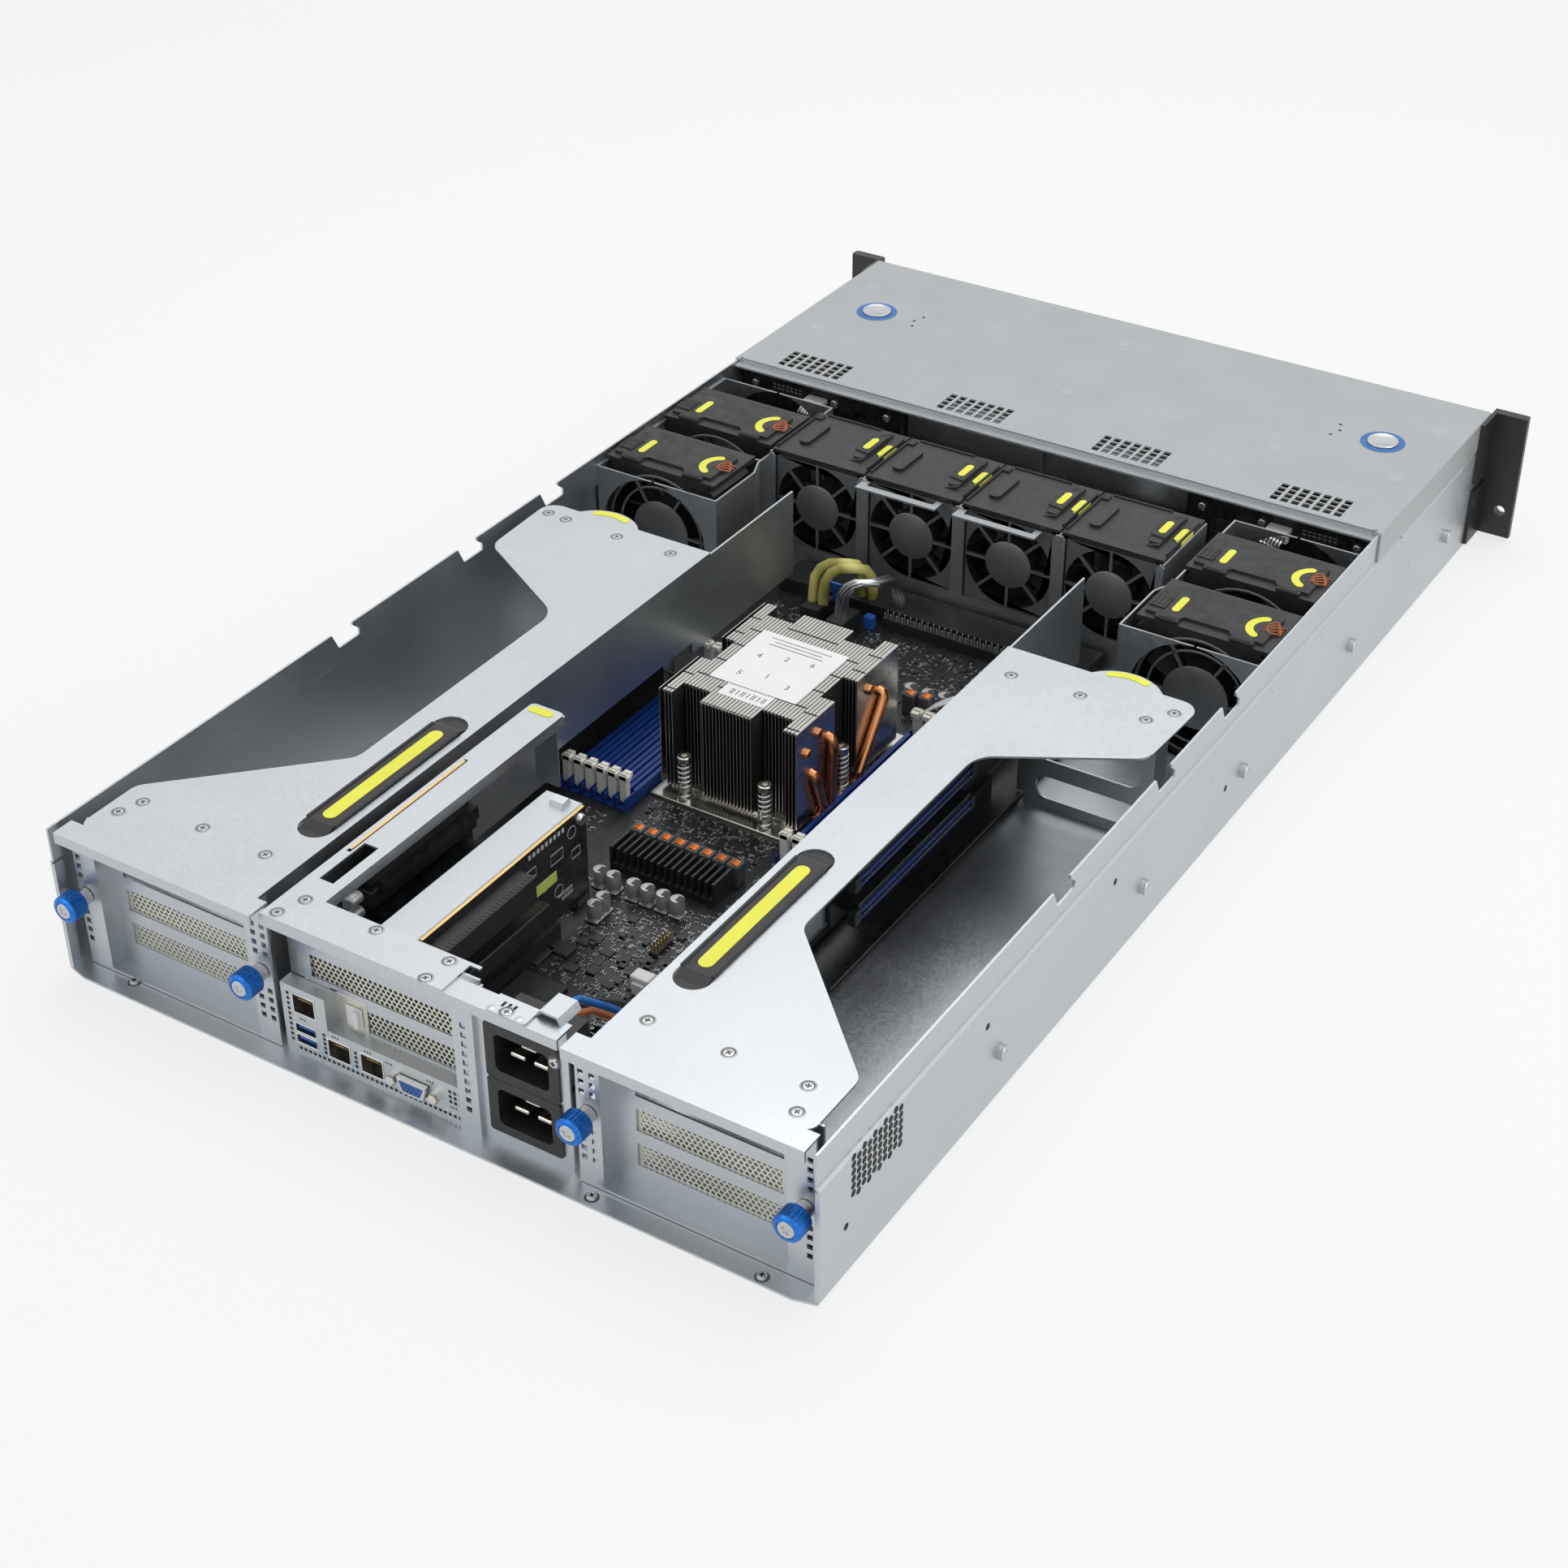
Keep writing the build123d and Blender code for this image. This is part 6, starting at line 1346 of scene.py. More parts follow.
# %% Panel vents, print and buttons
# The vent holes are flat near-black squares: painted shade in place of openings.
square_hole = Shape().block((-0.85, 0.0, -0.85), (0.85, 0.07, 0.85), 0)
vents = [(-24 + step * 2.9, PANEL_Y, 4.0) for step in range(36)]
vents += [(x, PANEL_Y, z) for x in (-13.4, -16.2, -19.0) for z in (12.2, 15.2, 18.2)]
vents += [(61.6, PANEL_Y, 8 + r * 2.7) for r in range(5)]
vents += [(81.9, PANEL_Y, 8 + r * 3.1) for r in range(10)] + [(42.8, PANEL_Y, 8 + r * 2.7) for r in range(4)]
repeat("panel_vents", "chassis", square_hole, vents, dark_cavity)
marks_shape = Shape()
for x, z in ((72, 22.2), (52.6, 19.6), (33, 19.6), (20.5, 18.2), (-4, 18.4), (-17, 8.4)):
    for step in range(3):
        marks_shape.block((x + step * 1.6, PANEL_Y, z), (x + step * 1.6 + 0.9, PANEL_Y + 0.04, z + 1.1), 0)
piece("panel_print", "chassis", marks_shape, ink)
button = Shape().turned((-20.8, PANEL_Y, 10.9), (0, 1, 0),
                        [(2.2, 0.0), (2.2, 0.3), (1.6, 0.35), (1.6, 0.9), (1.3, 1.1), (0.1, 1.1)], 20)
button.turned((-10.6, PANEL_Y, 5.9), (0, 1, 0), [(0.9, 0.0), (0.8, 0.2), (0.1, 0.3)], 12)
button.turned((-14.6, PANEL_Y, 5.8), (0, 1, 0), [(0.9, 0.0), (0.8, 0.2), (0.1, 0.3)], 12)
piece("panel_button", "chassis", button, white_plastic)

# %% Slot window and inlet pins
plate = Shape().block((43.0, 377.6, 24.5), (52.6, 378.4, 36.5), 0.3)
plate.block((44.2, 378.4, 25.5), (47.2, 380.4, 35.5), 0.3)
piece("window_tab", "chassis", plate, white_plastic)
solid_plate = Shape().block((40.0, 376.9, 20.5), (62.0, 377.6, 40.5), 0.1)
piece("window_plate", "chassis", solid_plate, ivory_sheet)
pins_shape = Shape()
for middle in (24.0, 56.0):
    for x, z in ((-57.5, middle + 4), (-64.0, middle - 3.5), (-51.0, middle - 3.5)):
        pins_shape.block((x - 4.08, 368.6, z - 1.08), (x + 4.08, 380.7, z + 1.08), 0.5)
piece("inlet_pins", "chassis", pins_shape, nickel)

# %% [markdown]
# ## Rivets, studs and vents of the side walls
# The walls carry pressed rivets, round holes and a vent grid near the rear, the holes and vents being flat
# near-black discs of painted shade, and the shoulder studs of the rails. The studs get a turned face with a
# small dimple.

# %% Side walls
WALL_X = 219.0
rivet = Shape().turned((0, 0, 0), (0, 0, 1),
                       [(2.1, 0.0), (2.0, 0.25), (1.5, 0.5), (0.6, 0.55), (0.4, 0.3), (0.1, 0.3)], 16)
hole_spot = Shape().turned((0, 0, 0), (0, 0, 1), [(1.9, 0.0), (1.9, 0.05), (0.1, 0.05)], 18)
RIVETS = [(3.5, 46.5), (3.9, 14.6), (-70, 60.5), (-138.4, 60.1), (-254, 65), (-278, 57), (394, 34.2),
          (-276.8, 38.2), (-307.4, 12.5), (-172, 20)]
HOLES = [(374.3, 29.2), (-14, 29), (120, 52), (250, 52)]
stud_face = Shape().turned((0, 0, 0), (0, 0, 1),
                           [(4.25, 0.0), (4.25, 0.5), (4.0, 0.8), (1.9, 0.85), (1.6, 0.2), (0.1, 0.2)], 24)
STUDS = [236.0, 85.5, -36.5, -187.0, -337.5]
for side, sign, turn_to in (("left", 1, TO_LEFT), ("right", -1, TO_RIGHT)):
    repeat(f"wall_rivets_{side}", "chassis", rivet, [(sign * WALL_X, y, z, turn_to) for y, z in RIVETS], zinc)
    # Holes and vents: flat near-black discs, painted shade in place of openings.
    repeat(f"wall_holes_{side}", "chassis", hole_spot, [(sign * WALL_X, y, z, turn_to) for y, z in HOLES],
           dark_cavity)
    grid = [(sign * WALL_X, 329 + c * 4.4, 42 + r * 4.1 + (2.05 if c % 2 else 0), turn_to) for c in range(10)
            for r in range(6)]
    repeat(f"wall_vents_{side}", "chassis", hole_spot, grid, dark_cavity)
    repeat(f"stud_faces_{side}", "chassis", stud_face,
           [(sign * (WALL_X + 2.4), y, 27.5, turn_to) for y in STUDS], screw_steel)

# %% [markdown]
# ## Rear latch bracket and inlet leads
# The bracket beside the inlets is riveted on, with three slots, and a blue and a brown lead bend
# down behind it to the board.

# %% Bracket and leads
rivets = [(-46.7, 390.8, 86.0), (-61.8, 390.9, 86.0)]
repeat("latch_rivets", "chassis", rivet, rivets, screw_steel)
# The three slots are flat near-black strips: painted shade in place of openings.
slots = Shape()
for step in range(3):
    slots.block((-50.5 - step * 3.0, 384.0, 86.0), (-49.0 - step * 3.0, 387.5, 86.06), 0)
piece("latch_slots", "chassis", slots, dark_cavity)

# %% Inlet leads
lead_blue, lead_brown = Shape(), Shape()
lead_blue.pipe([(-57, 366, 62), (-56, 355, 66), (-59, 344, 64), (-66, 332, 54), (-74, 320, 42),
                (-80, 306, 28), (-84, 294, 20)], 1.9, 10)
lead_brown.pipe([(-61, 366, 60), (-61, 354, 62), (-64, 342, 58), (-71, 330, 47), (-78, 316, 34),
                 (-83, 302, 24), (-86, 292, 18)], 1.9, 10)
piece("inlet_lead_blue", "chassis", lead_blue, ring_blue)
piece("inlet_lead_brown", "chassis", lead_brown, wire_brown)

# %% [markdown]
# ## More parts round the cooler
# In front of the cooler stand three small capacitors and two chokes of the memory supply.

# %% Supply of the memory
SMALL_CANS = [(-18.5, -30.5), (-30, -30), (-39.5, -32)]
SMALL_CHOKES = [(-24, -20.5), (-33.4, -22)]
repeat("small_cans", "chassis", can, on_board(SMALL_CANS), can_metal)
repeat("small_can_marks", "chassis", stripe, on_board(SMALL_CANS), package_black)
repeat("small_choke_cases", "chassis", case, on_board(SMALL_CHOKES), choke_case)
repeat("small_choke_windings", "chassis", turns, on_board(SMALL_CHOKES), winding)

# %% [markdown]
# ## Backplanes and the cover's edge
# Under the rear edge of the cover the backplanes show slots with a copper edge, their openings painted as
# near-black shade, screws and white plugs with bright wires. The cover has a row of short lance marks, and a
# bright folded hem.

# %% Backplane details
for side, sign in BOTH_SIDES:
    edges_shape, slot_shades, plugs, wires = Shape(), Shape(), Shape(), Shape()
    for centre, low, high in ((128, 58, 66), (190, 58, 66), (159, 40, 48)):
        # Painted shade: near-black strips in the openings of the slots.
        slot_shades.block((sign * centre - 13, -217.45, low), (sign * centre + 13, -217.3, high), 0)
        for a, b, c, d in ((-13.5, 13.5, high, high + 0.6), (-13.5, 13.5, low - 0.6, low),
                           (-13.5, -13, low, high), (13, 13.5, low, high)):
            edges_shape.block((sign * centre + a, -217.45, c), (sign * centre + b, -217.25, d), 0)
    plugs.block((sign * 158 - 7, -217.4, 66), (sign * 158 + 7, -209.5, 74), 0.6)
    for strand in range(6):
        x = sign * 158 - 5.5 + strand * 2.2
        wires.pipe([(x, -210, 70), (x, -205.5, 70.5), (x + 0.4, -202.5, 68), (x + 0.8, -201.6, 62),
                    (x + 1.2, -201.4, 52)], 0.95, 8)
    piece(f"backplane_slots_{side}", "chassis", slot_shades, dark_cavity)
    piece(f"backplane_copper_{side}", "chassis", edges_shape, copper)
    piece(f"backplane_plug_{side}", "chassis", plugs, white_plastic)
    piece(f"backplane_wires_{side}", "chassis", wires, silver_braid)
    at = [(sign * x, -217.4, z, TO_REAR) for x, z in ((108, 72), (146, 72), (205, 72), (108, 44), (205, 44))]
    repeat(f"backplane_screws_{side}", "chassis", pan_screw, at, screw_steel)
    prints_at = [(sign * (172 + c * 3.2), -217.38, 74.5 - r * 2.4, TO_REAR) for c in range(7)
                 for r in range(2)]
    repeat(f"backplane_print_{side}", "chassis", strokes, prints_at, silk)

# %% Wires, lances and hem
middle_wires = Shape()
for strand in range(7):
    x = -62 - strand * 2.1
    middle_wires.pipe([(x, -216, 60 - strand), (x + 2, -208, 66), (x + 5, -202, 69), (x + 9, -196, 66),
                       (x + 12, -190, 54)], 1.0, 8)
piece("middle_wires", "chassis", middle_wires, ribbon_white)
LANCES = [(192, -262), (176, -335), (92, -352), (118, -250), (-18, -340), (6, -252), (-70, -300),
          (-120, -372), (-150, -250), (-192, -362), (-196, -300), (-180, -262)]
lance = Shape().block((-2.4, -0.25, 0.0), (2.4, 0.25, 0.05), 0)
repeat("cover_lances", "chassis", lance, [(x, y, COVER_TOP) for x, y in LANCES], weld_paint)
hem = Shape().block((-213, -215.05, 87.0), (213, -214.6, 88.2), 0.15)
hem.block((-213, -215.1, 84.4), (213, -214.9, 86.2), 0.1)
piece("cover_hem", "chassis", hem, zinc)

# %% [markdown]
# ## Board beside the right cage
# On the forward extension of the right cage's inner wall a black board is held by two hex screws.
# Its round cut-outs have a copper edge.

# %% Side board
side_board = Shape().block((-94.9, -64, 48), (-93.4, 6, 82), 0.1)
piece("side_board", "riser_cage_right", side_board, board_black)
CUT_OUTS = ((-46, 58), (-30, 58), (-14, 58), (-46, 74), (-14, 74))
# A near-black disc in each cut-out: painted shade in place of the opening.
crescents, hexes, cut_out_shades = Shape(), Shape(), Shape()
for y, z in CUT_OUTS:
    crescents.turned((-93.4, y, z), (1, 0, 0), [(4.4, 0.0), (4.2, 0.12), (0.2, 0.12)], 24)
    cut_out_shades.turned((-93.28, y + 0.6, z + 0.5), (1, 0, 0), [(3.7, 0.0), (3.7, 0.05), (0.2, 0.05)], 24)
for y, z in ((-56, 76), (-4, 54)):
    hexes.turned((-93.4, y, z), (1, 0, 0),
                 [(3.4, 0.0), (3.4, 2.2), (3.0, 2.6), (1.4, 2.6), (1.4, 1.6), (0.1, 1.6)], 6)
piece("side_board_copper", "riser_cage_right", crescents, copper)
piece("side_board_holes", "riser_cage_right", cut_out_shades, dark_cavity)
piece("side_board_screws", "riser_cage_right", hexes, nickel)

# %% [markdown]
# ## Ears
# Each ear is held by two small screws and carries a plated ferrule round its rack hole.

# %% Ears
EAR_FACE, EAR_HOLE_X, EAR_HOLE_Z = -401.1, 233, 21
ferrule = Shape()
rims = ((5.2, 0.0), (5.2, 1.3), (4.8, 1.7), (3.9, 1.7), (3.6, 1.3), (3.6, 0.0))
for _, sign in BOTH_SIDES:
    ferrule.hoop([[(a + sign * EAR_HOLE_X, EAR_FACE + height, b + EAR_HOLE_Z) for a, b in circle(28, radius)]
                  for radius, height in rims])
piece("ear_ferrules", "chassis", ferrule, nickel)
ear_spots = [(sign * 232.7, EAR_FACE, z, TO_REAR) for _, sign in BOTH_SIDES for z in (63, 36)]
# The ear screws are dark steel, their own colour, in the finish that also paints the seat shade.
repeat("ear_screws", "chassis", pan_screw, ear_spots, seat_shade_and_dark_screw)

# %% [markdown]
# ## Middle riser boards
# A bright shelf joins the two middle boards. Its solid shares a node with the dark boards, so a
# thin facing on top of it shows the bare sheet, with a raised tab at the front. Copper shows along
# the upper edge of both boards, and card slots, capacitors, screws and plain printed shapes fill
# their faces.

# %% Shelf, slots and edges
shelf = Shape().block((23.8, 225.4, 70.62), (45.9, 375.0, 71.2), 0.2)
shelf.block((23.8, 225.2, 68.0), (45.9, 225.9, 71.0), 0.1)
shelf.block((24.0, 226.0, 71.2), (25.2, 375.0, 71.7), 0.2)
shelf.outline("x", [(227.5, 71.2), (236, 71.2), (234.5, 74.2), (229.5, 74.8)], 29, 37)
piece("middle_shelf", "chassis", shelf, zinc)
copper_edges = Shape().block((22.0, 226.5, 70.5), (23.7, 354.5, 71.0), 0)
copper_edges.block((81.4, 243.5, 85.7), (83.0, 331.5, 86.4), 0)
piece("middle_board_edges", "chassis", copper_edges, gold)

# %% Card slots
connector = Shape()
for low, high, start, end, reach in ((52.0, 66.0, 281, 352, 10.5), (30.0, 40.0, 268, 340, 7.5)):
    face = 22.0 - reach
    connector.block((face, start, low), (22.2, end, high), 0.5)
    for step in range(24):
        y = start + 2 + step * (end - start - 5) / 24
        connector.block((face + 0.6, y, high), (face + 3.2, y + 1.0, high + 0.25), 0)
    connector.block((face - 0.3, start + 3, low + 3.6), (face + 0.1, end - 3, low + 4.4), 0)
piece("middle_connectors", "chassis", connector, black_plastic)
far_slot = Shape().block((73.5, 248, 52), (82.0, 330, 62), 0.5)
far_slot.block((73.5, 256, 66), (82.0, 330, 72), 0.5)
piece("middle_far_slots", "chassis", far_slot, black_plastic)
contact_rows = [(74.5, 250 + step * 1.6, z) for step in range(49) for z in (62.05, 72.05)]
repeat("middle_contacts", "chassis", Shape().block((-0.35, -0.3, 0), (0.35, 0.3, 0.2), 0), contact_rows,
       tinned)

# %% Printed shapes, screws and capacitors
BOARD_FACE, FAR_FACE = 21.95, 81.3
outline_marks = Shape()
for y, z in ((238, 62), (262, 44), (251, 34)):
    ring_points = [(BOARD_FACE - 0.02, y + a, z + b) for a, b in circle(20, 3.4)]
    outline_marks.pipe(ring_points + ring_points[:1], 0.22, 4)
for y, z, width, height in ((246, 52, 10, 6), (232, 46, 7, 5), (268, 55, 9, 5), (240, 30, 12, 1.2),
                            (240, 27, 9, 1.2)):
    corners = [(y, z), (y + width, z), (y + width, z + height), (y, z + height), (y, z)]
    outline_marks.pipe([(BOARD_FACE - 0.02, a, b) for a, b in corners], 0.2, 4)
for step in range(9):
    outline_marks.block((BOARD_FACE - 0.05, 244 + step * 3.4, 66), (BOARD_FACE, 246 + step * 3.4, 68.6), 0)
for step in range(12):
    outline_marks.block((FAR_FACE, 250 + step * 5.2, 76), (81.38, 253 + step * 5.2, 80), 0)
piece("middle_print", "chassis", outline_marks, silk)
plain_label = Shape().block((BOARD_FACE - 0.15, 252, 41), (BOARD_FACE, 276, 47.5), 0.05)
piece("middle_label", "chassis", plain_label, grained("label_yellow", (0.62, 0.66, 0.14), 0.5, drift=0.04))
round_heads = [(x, y, z, TO_RIGHT, (1.25, 1.25, 1.6))
               for x, y, z in ((BOARD_FACE, 231, 66), (BOARD_FACE, 350, 46), (FAR_FACE, 246, 66))]
repeat("middle_screws", "chassis", pan_screw, round_heads, screw_steel)
lying = [(x, y, z, (TURN / 4, 0, 0), (0.85, 0.85, 0.85))
         for x, y, z in ((76, 345, 55), (76, 345, 64), (70, 345, 40), (76, 339, 40))]
repeat("middle_capacitors", "chassis", can, lying, can_metal)

# %% [markdown]
# ## Dense area between the risers and the regulator
# Here the real board is crowded: a square inductor, small packages with tinned legs, pin headers
# and rows of chip parts. A second scatter on a finer grid fills it.

# %% Crowded area
CROWD_GRID_X, CROWD_GRID_Y = 1.9, 1.5
crowd = random.Random(77)
crowd_bodies, crowd_packages = [], []
TAKEN = [(5.5, 296.5, 16, 14), (24, 272, 10.5, 10.5), (14, 262, 8.5, 6.5), (31.4, 300, 5, 9),
         (32.5, 225, 7, 7)]
TAKEN += [(x, y, 4.8, 4.8) for x, y in CAPACITORS]
for _ in range(1500):
    x, y = crowd.uniform(-46, 58), crowd.uniform(200, 350)
    if any(abs(x - a) < c and abs(y - b) < d for a, b, c, d in TAKEN) or 17 < x < 28 and y > 222:
        continue
    x, y = round(x / CROWD_GRID_X) * CROWD_GRID_X, round(y / CROWD_GRID_Y) * CROWD_GRID_Y
    crowd_bodies.append((x, y, BOARD_TOP, (0, 0, crowd.choice((0.0, TURN / 4)))))
for _ in range(46):
    x, y = crowd.uniform(-44, 16), crowd.uniform(205, 345)
    if not any(abs(x - a) < c + 3 and abs(y - b) < d + 3 for a, b, c, d in TAKEN):
        size = crowd.uniform(0.9, 1.9)
        crowd_packages.append((x, y, BOARD_TOP, (0, 0, crowd.choice((0.0, TURN / 4))), (size, size, 1.0)))
repeat("crowd_bodies", "chassis", chip_body, crowd_bodies, resistor_body)
repeat("crowd_ends", "chassis", ends, crowd_bodies, tinned)
repeat("crowd_packages", "chassis", Shape().block((-1.9, -1.6, 0.1), (1.9, 1.6, 1.3), 0.12), crowd_packages,
       package_black)
repeat("crowd_legs", "chassis", legs, crowd_packages, tinned)

# %% Inductor, pin header and plug
inductor = Shape().block((-5.6, -5.6, 0), (5.6, 5.6, 7.2), 0.9)
repeat("square_inductor", "chassis", inductor, [(32.5, 225, BOARD_TOP)],
       grained("inductor_grey", (0.17, 0.17, 0.175), 0.45, 0.4))
header_spots = [(-26 - c * 2.54, 228 + r * 2.54, BOARD_TOP) for c in range(2) for r in range(6)]
repeat("pin_header", "chassis", Shape().block((-0.32, -0.32, 0), (0.32, 0.32, 7.0), 0.1), header_spots, gold)
repeat("pin_header_base", "chassis", Shape().block((-1.2, -1.2, 0), (1.2, 1.2, 2.5), 0.2), header_spots,
       black_plastic)
plug_white = Shape().block((-44, 262, BOARD_TOP), (-33, 270, BOARD_TOP + 10), 0.6)
plug_white.block((-42, 270, BOARD_TOP), (-35, 271.5, BOARD_TOP + 7), 0.3)
piece("white_board_plug", "chassis", plug_white, white_plastic)

# %% [markdown]
# ## Latch heads and a blue header
# Each memory latch carries a wider head at its top, with a shallow groove. A blue header stands
# beside the middle riser.

# %% Latch heads and header
for body, inner in (("dimm_latches_rear", -1), ("dimm_latches_front", 1)):
    low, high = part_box(body)
    outer = high[1] / MM if inner < 0 else low[1] / MM
    near, far = sorted((outer, outer + inner * 4.2))
    heads, top = Shape(), high[2] / MM
    for side in (-1, 1):
        for index in range(6):
            x = COOLER_X + side * (MEMORY_BANK + (index - 2.5) * MEMORY_PITCH)
            heads.block((x - 3.3, near, top - 3.4), (x + 3.3, far, top), 0.6)
            heads.block((x - 2.2, near + 1.2, top - 0.1), (x + 2.2, far - 1.2, top + 0.25), 0.1)
    piece(body + "_heads", body, heads, ivory)
blue_header = Shape().block((9.5, 322, BOARD_TOP), (15.5, 352, BOARD_TOP + 9), 0.4)
piece("blue_board_header", "chassis", blue_header, knob_blue)

# %% [markdown]
# ## Front faces
# The front isn't in the photograph, so it is plain: each drive tray has a bezel with a field of
# hexagonal vents, a lever with grooves and two small lenses, and each power supply has a fan
# mouth behind a wire guard and a black bow handle.

# %% Drive trays
FRONT_Y = -395.0
BEZEL_FACE = FRONT_Y - 3.7
TRAY_INNER, TRAY_LOW, TRAY_PITCH = 100.1, 1.8, 26.8
lens = grained("status_lens", (0.30, 0.36, 0.33), 0.25, drift=0.05)
TO_FRONT = (TURN / 4, 0, 0)
# The vents are flat near-black hexagons: painted shade in place of openings.
hexagon = Shape().turned((0, 0, 0), (0, 0, 1), [(1.75, 0.0), (1.75, 0.05), (0.1, 0.05)], 6)
for side, sign in BOTH_SIDES:
    for row in range(3):
        body = f"drive_tray_{side}_{row + 1}"
        low = TRAY_LOW + row * TRAY_PITCH
        field = [(sign * (TRAY_INNER + 38 + c * 3.5), BEZEL_FACE, low + 6.2 + r * 4.0 + (2.0 if c % 2 else 0),
                  TO_FRONT) for c in range(20) for r in range(4) if not (c % 2 and r == 3)]
        repeat(f"tray_vents_{side}_{row + 1}", body, hexagon, field, dark_cavity)
        lever = Shape()
        face = BEZEL_FACE - 1.0
        grooves = [(11 + step * 2.2, 12 + step * 2.2, 0.35, 0.15) for step in range(4)]
        for near, far, proud, edge in grooves + [(21, 28, 0.6, 0.3)]:
            xs = sorted((sign * (TRAY_INNER + near), sign * (TRAY_INNER + far)))
            lever.block((xs[0], face - proud, low + 9), (xs[1], face + 0.1, low + 16.5), edge)
        piece(f"tray_lever_{side}_{row + 1}", body, lever, soft_black)
        lamps = Shape()
        for z in (low + 8.5, low + 16.5):
            lamps.turned((sign * (TRAY_INNER + 34), BEZEL_FACE, z), (0, -1, 0),
                         [(1.0, 0.0), (0.9, 0.3), (0.1, 0.4)], 14)
        piece(f"tray_lenses_{side}_{row + 1}", body, lamps, lens)

# %% Power supplies
SUPPLY_MIDDLE_Z = 41.3
SUPPLY_LEFT = 0.8
FAN_MOUTH_X = 60.3
HANDLE_INNER, HANDLE_OUTER = 4.8, 22.8
for side, sign in BOTH_SIDES:
    body = f"power_supply_{side}"
    x = sign * FAN_MOUTH_X
    disc, blades, guard_wires, bow = Shape(), Shape(), Shape(), Shape()
    # A near-black disc behind the blades: painted shade inside the fan mouth.
    disc.turned((x, FRONT_Y + 5.9, SUPPLY_MIDDLE_Z), (0, -1, 0), [(25.6, 0.0), (25.6, 0.15), (0.2, 0.15)], 32)
    for index in range(9):
        angle = TURN * index / 9
        corners = []
        for radius, lean, y in ((10.5, 0.0, 5.6), (24.8, 0.28, 5.6), (24.8, 0.62, 1.9), (10.5, 0.5, 1.9)):
            corners.append((x + radius * math.cos(angle + lean), FRONT_Y + y,
                            SUPPLY_MIDDLE_Z + radius * math.sin(angle + lean)))
        blades.stack([corners, [(a, b - 0.6, c) for a, b, c in corners]])
    blades.turned((x, FRONT_Y + 5.6, SUPPLY_MIDDLE_Z), (0, -1, 0),
                  [(10.6, 0.0), (10.6, 4.4), (9.8, 4.9), (0.2, 4.9)], 28)
    for radius in (12.0, 16.5, 21.0, 25.5):
        ring_way = [(x + a, FRONT_Y - 0.7, SUPPLY_MIDDLE_Z + b) for a, b in circle(36, radius)]
        guard_wires.pipe(ring_way + ring_way[:1], 0.6, 6)
    for index in range(4):
        angle = TURN * (index + 0.5) / 4
        ends = [(x + r * math.cos(angle), FRONT_Y - 0.1, SUPPLY_MIDDLE_Z + r * math.sin(angle))
                for r in (11.5, 18, 24, 29.5)]
        guard_wires.pipe(ends, 0.6, 6)
    for a, b, front, rear in ((HANDLE_INNER, HANDLE_INNER + 3, -404.15, FRONT_Y),
                              (HANDLE_OUTER - 3, HANDLE_OUTER, -404.15, FRONT_Y),
                              (HANDLE_INNER, HANDLE_OUTER, -404.2, -401.2)):
        left, right = sorted((sign * a, sign * b))
        bow.block((left - 0.1, front, SUPPLY_MIDDLE_Z - 4.1), (right + 0.1, rear, SUPPLY_MIDDLE_Z + 4.1), 0.7)
    piece(f"supply_mouth_{side}", body, disc, dark_cavity)
    piece(f"supply_blades_{side}", body, blades, rotor_black)
    piece(f"supply_guard_{side}", body, guard_wires, screw_steel)
    piece(f"supply_handle_{side}", body, bow, black_plastic)
    # The vents are flat near-black hexagons: painted shade in place of openings.
    field = [(sign * (SUPPLY_LEFT + 6 + c * 3.6), FRONT_Y, z, TO_FRONT) for c in range(6)
             for z in (10, 14, 18, 66, 70, 74)]
    repeat(f"supply_vents_{side}", body, hexagon, field, dark_cavity)

# %% [markdown]
# ## The studio
# A pale floor and a pale world stand in for the photographer's sweep. The world is white to the
# camera and to reflections, and softer as a light, so metal shows a bright room without the
# object being flooded. Three large soft lamps shape the box: over it, on its right and behind it.

# %% Floor
floor_data = bpy.data.meshes.new("studio_floor")
REACH = 30.0
floor_data.from_pydata([(-REACH, -REACH, 0), (REACH, -REACH, 0), (REACH, REACH, 0), (-REACH, REACH, 0)], [],
                       [(0, 1, 2, 3)])
floor = bpy.data.objects.new("studio_floor", floor_data)
bpy.context.scene.collection.objects.link(floor)
floor.location.z = -0.0002


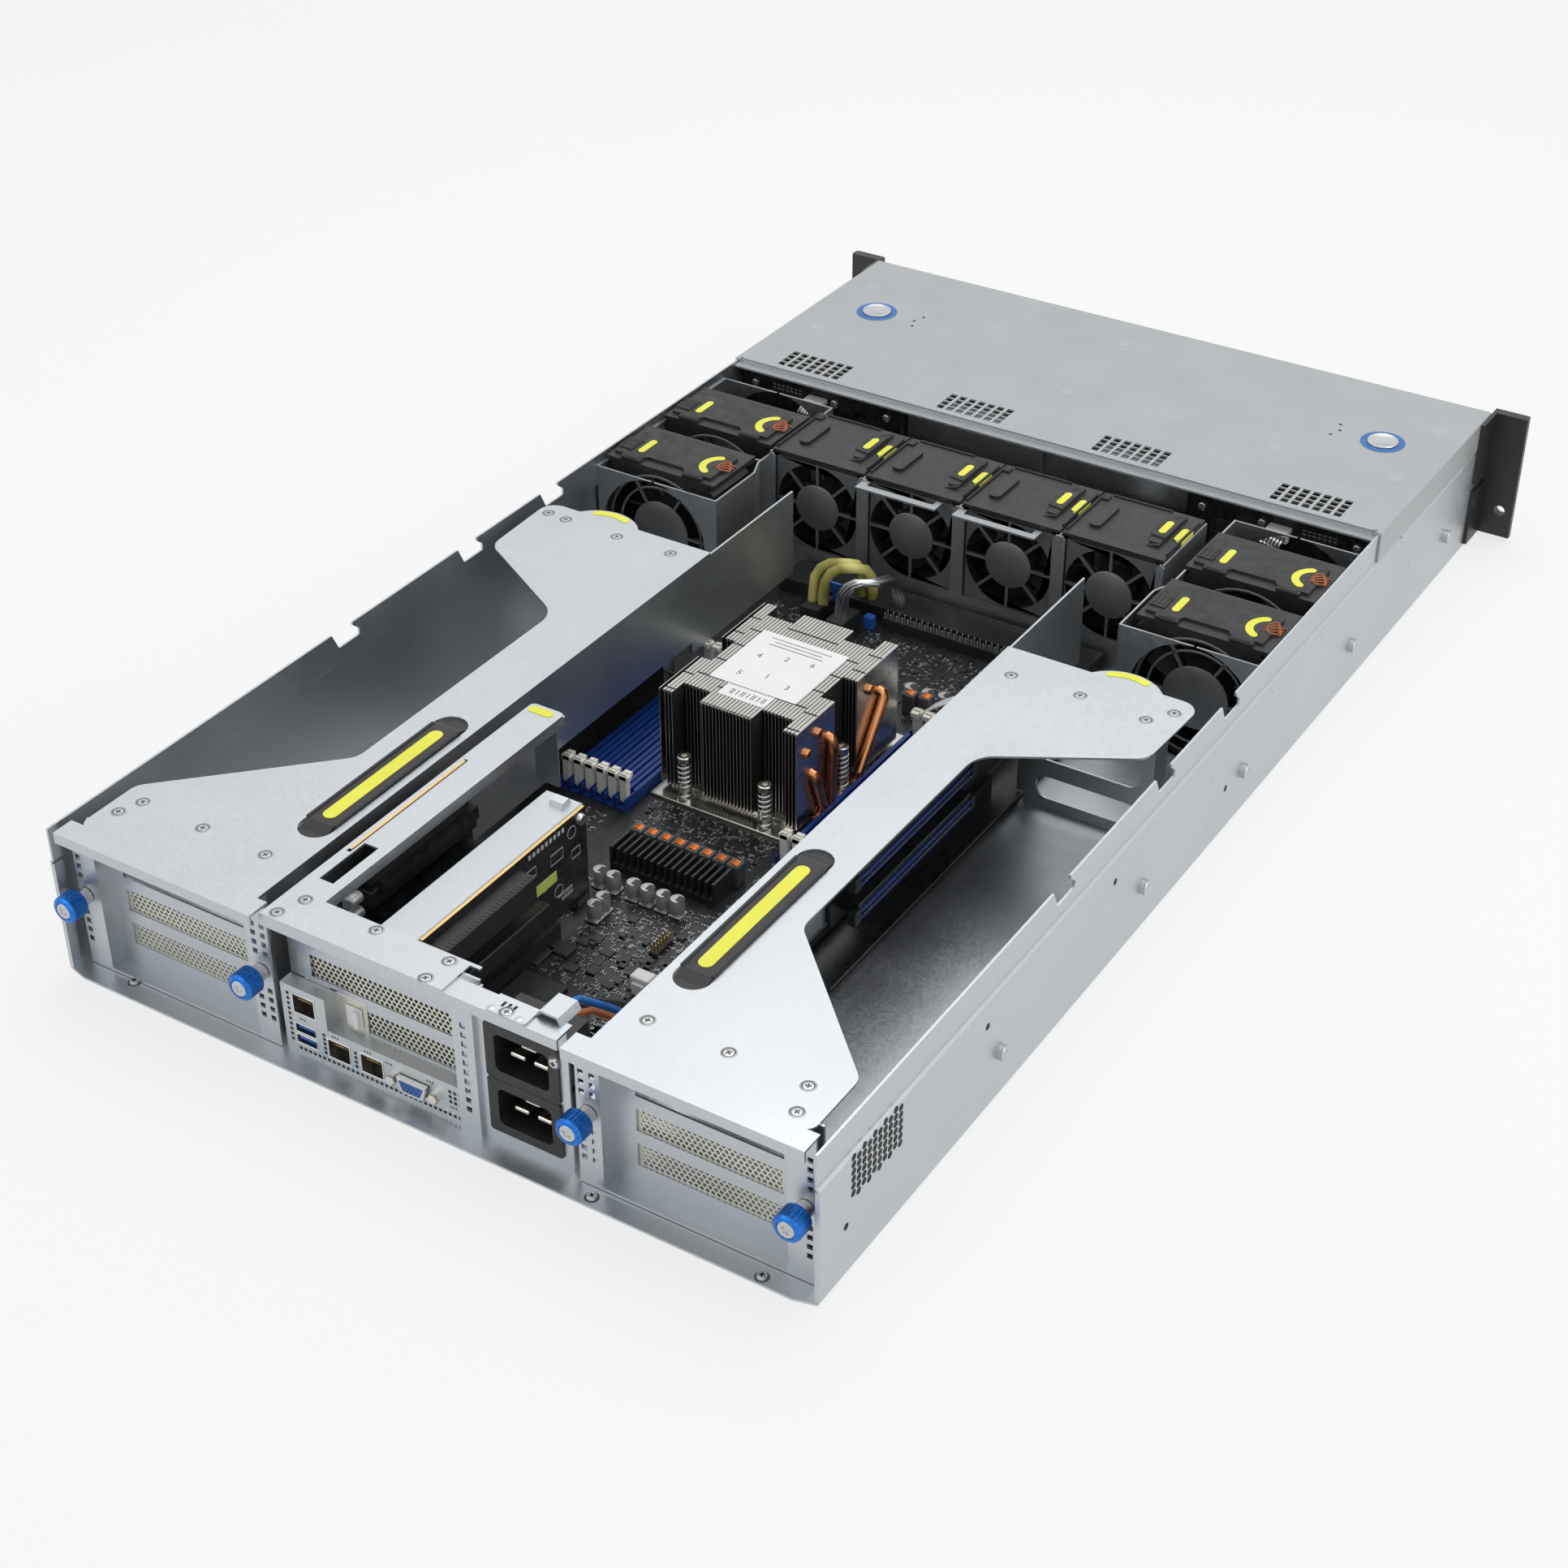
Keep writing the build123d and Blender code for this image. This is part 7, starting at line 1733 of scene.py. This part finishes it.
def bright_to_camera(tree, shader_output, white, kind):
    """Mix a white glow into a shader for camera, gloss and glass rays only."""
    rays = add(tree, "ShaderNodeLightPath")
    seen = add(tree, "ShaderNodeMath", rays.outputs["Is Camera Ray"], rays.outputs["Is Glossy Ray"],
               operation="ADD")
    seen = add(tree, "ShaderNodeMath", seen.outputs[0], rays.outputs["Is Transmission Ray"], operation="ADD")
    share = add(tree, "ShaderNodeMath", seen.outputs[0], operation="MULTIPLY", in_1=white, use_clamp=True)
    glow = add(tree, kind)
    glow.inputs["Color"].default_value = (1, 1, 1, 1)
    glow.inputs["Strength"].default_value = 1.0
    return add(tree, "ShaderNodeMixShader", share.outputs[0], shader_output, glow.outputs[0]).outputs[0]


floor_finish, tree, shader, place = finish("studio_floor", (0.86, 0.86, 0.86), 0.8)
shader.inputs["Specular IOR Level"].default_value = 0.1
mixed = bright_to_camera(tree, shader.outputs[0], 0.72, "ShaderNodeEmission")
tree.links.new(mixed, tree.nodes["Material Output"].inputs["Surface"])
floor_data.materials.append(floor_finish)
print("floor of", 2 * REACH, "m")

# %% World
world = bpy.data.worlds.new("studio")
world.use_nodes = True
tree = world.node_tree
soft = tree.nodes["Background"]
soft.inputs["Color"].default_value = (0.97, 0.985, 1.0, 1)
soft.inputs["Strength"].default_value = 0.55
mixed = bright_to_camera(tree, soft.outputs[0], 1.0, "ShaderNodeBackground")
tree.links.new(mixed, tree.nodes["World Output"].inputs["Surface"])
bpy.context.scene.world = world


def lamp(name, place, target, size, power):
    """A soft rectangle of light that looks at a place."""
    data = bpy.data.lights.new(name, "AREA")
    data.shape = "RECTANGLE"
    data.size, data.size_y = size
    data.energy = power
    made = bpy.data.objects.new(name, data)
    made.location = place
    made.rotation_euler = (Vector(target) - Vector(place)).to_track_quat("-Z", "Y").to_euler()
    bpy.context.scene.collection.objects.link(made)

# %% Lamps
lamp("lamp_over", (0.1, -0.5, 1.9), (0, 0, 0), (1.6, 1.6), 15)
lamp("lamp_right", (-1.9, 0.2, 1.1), (0, 0, 0), (1.4, 1.0), 9)
lamp("lamp_rear", (0.9, 1.9, 1.0), (0, 0.2, 0), (1.4, 1.0), 4)
print("studio ready")
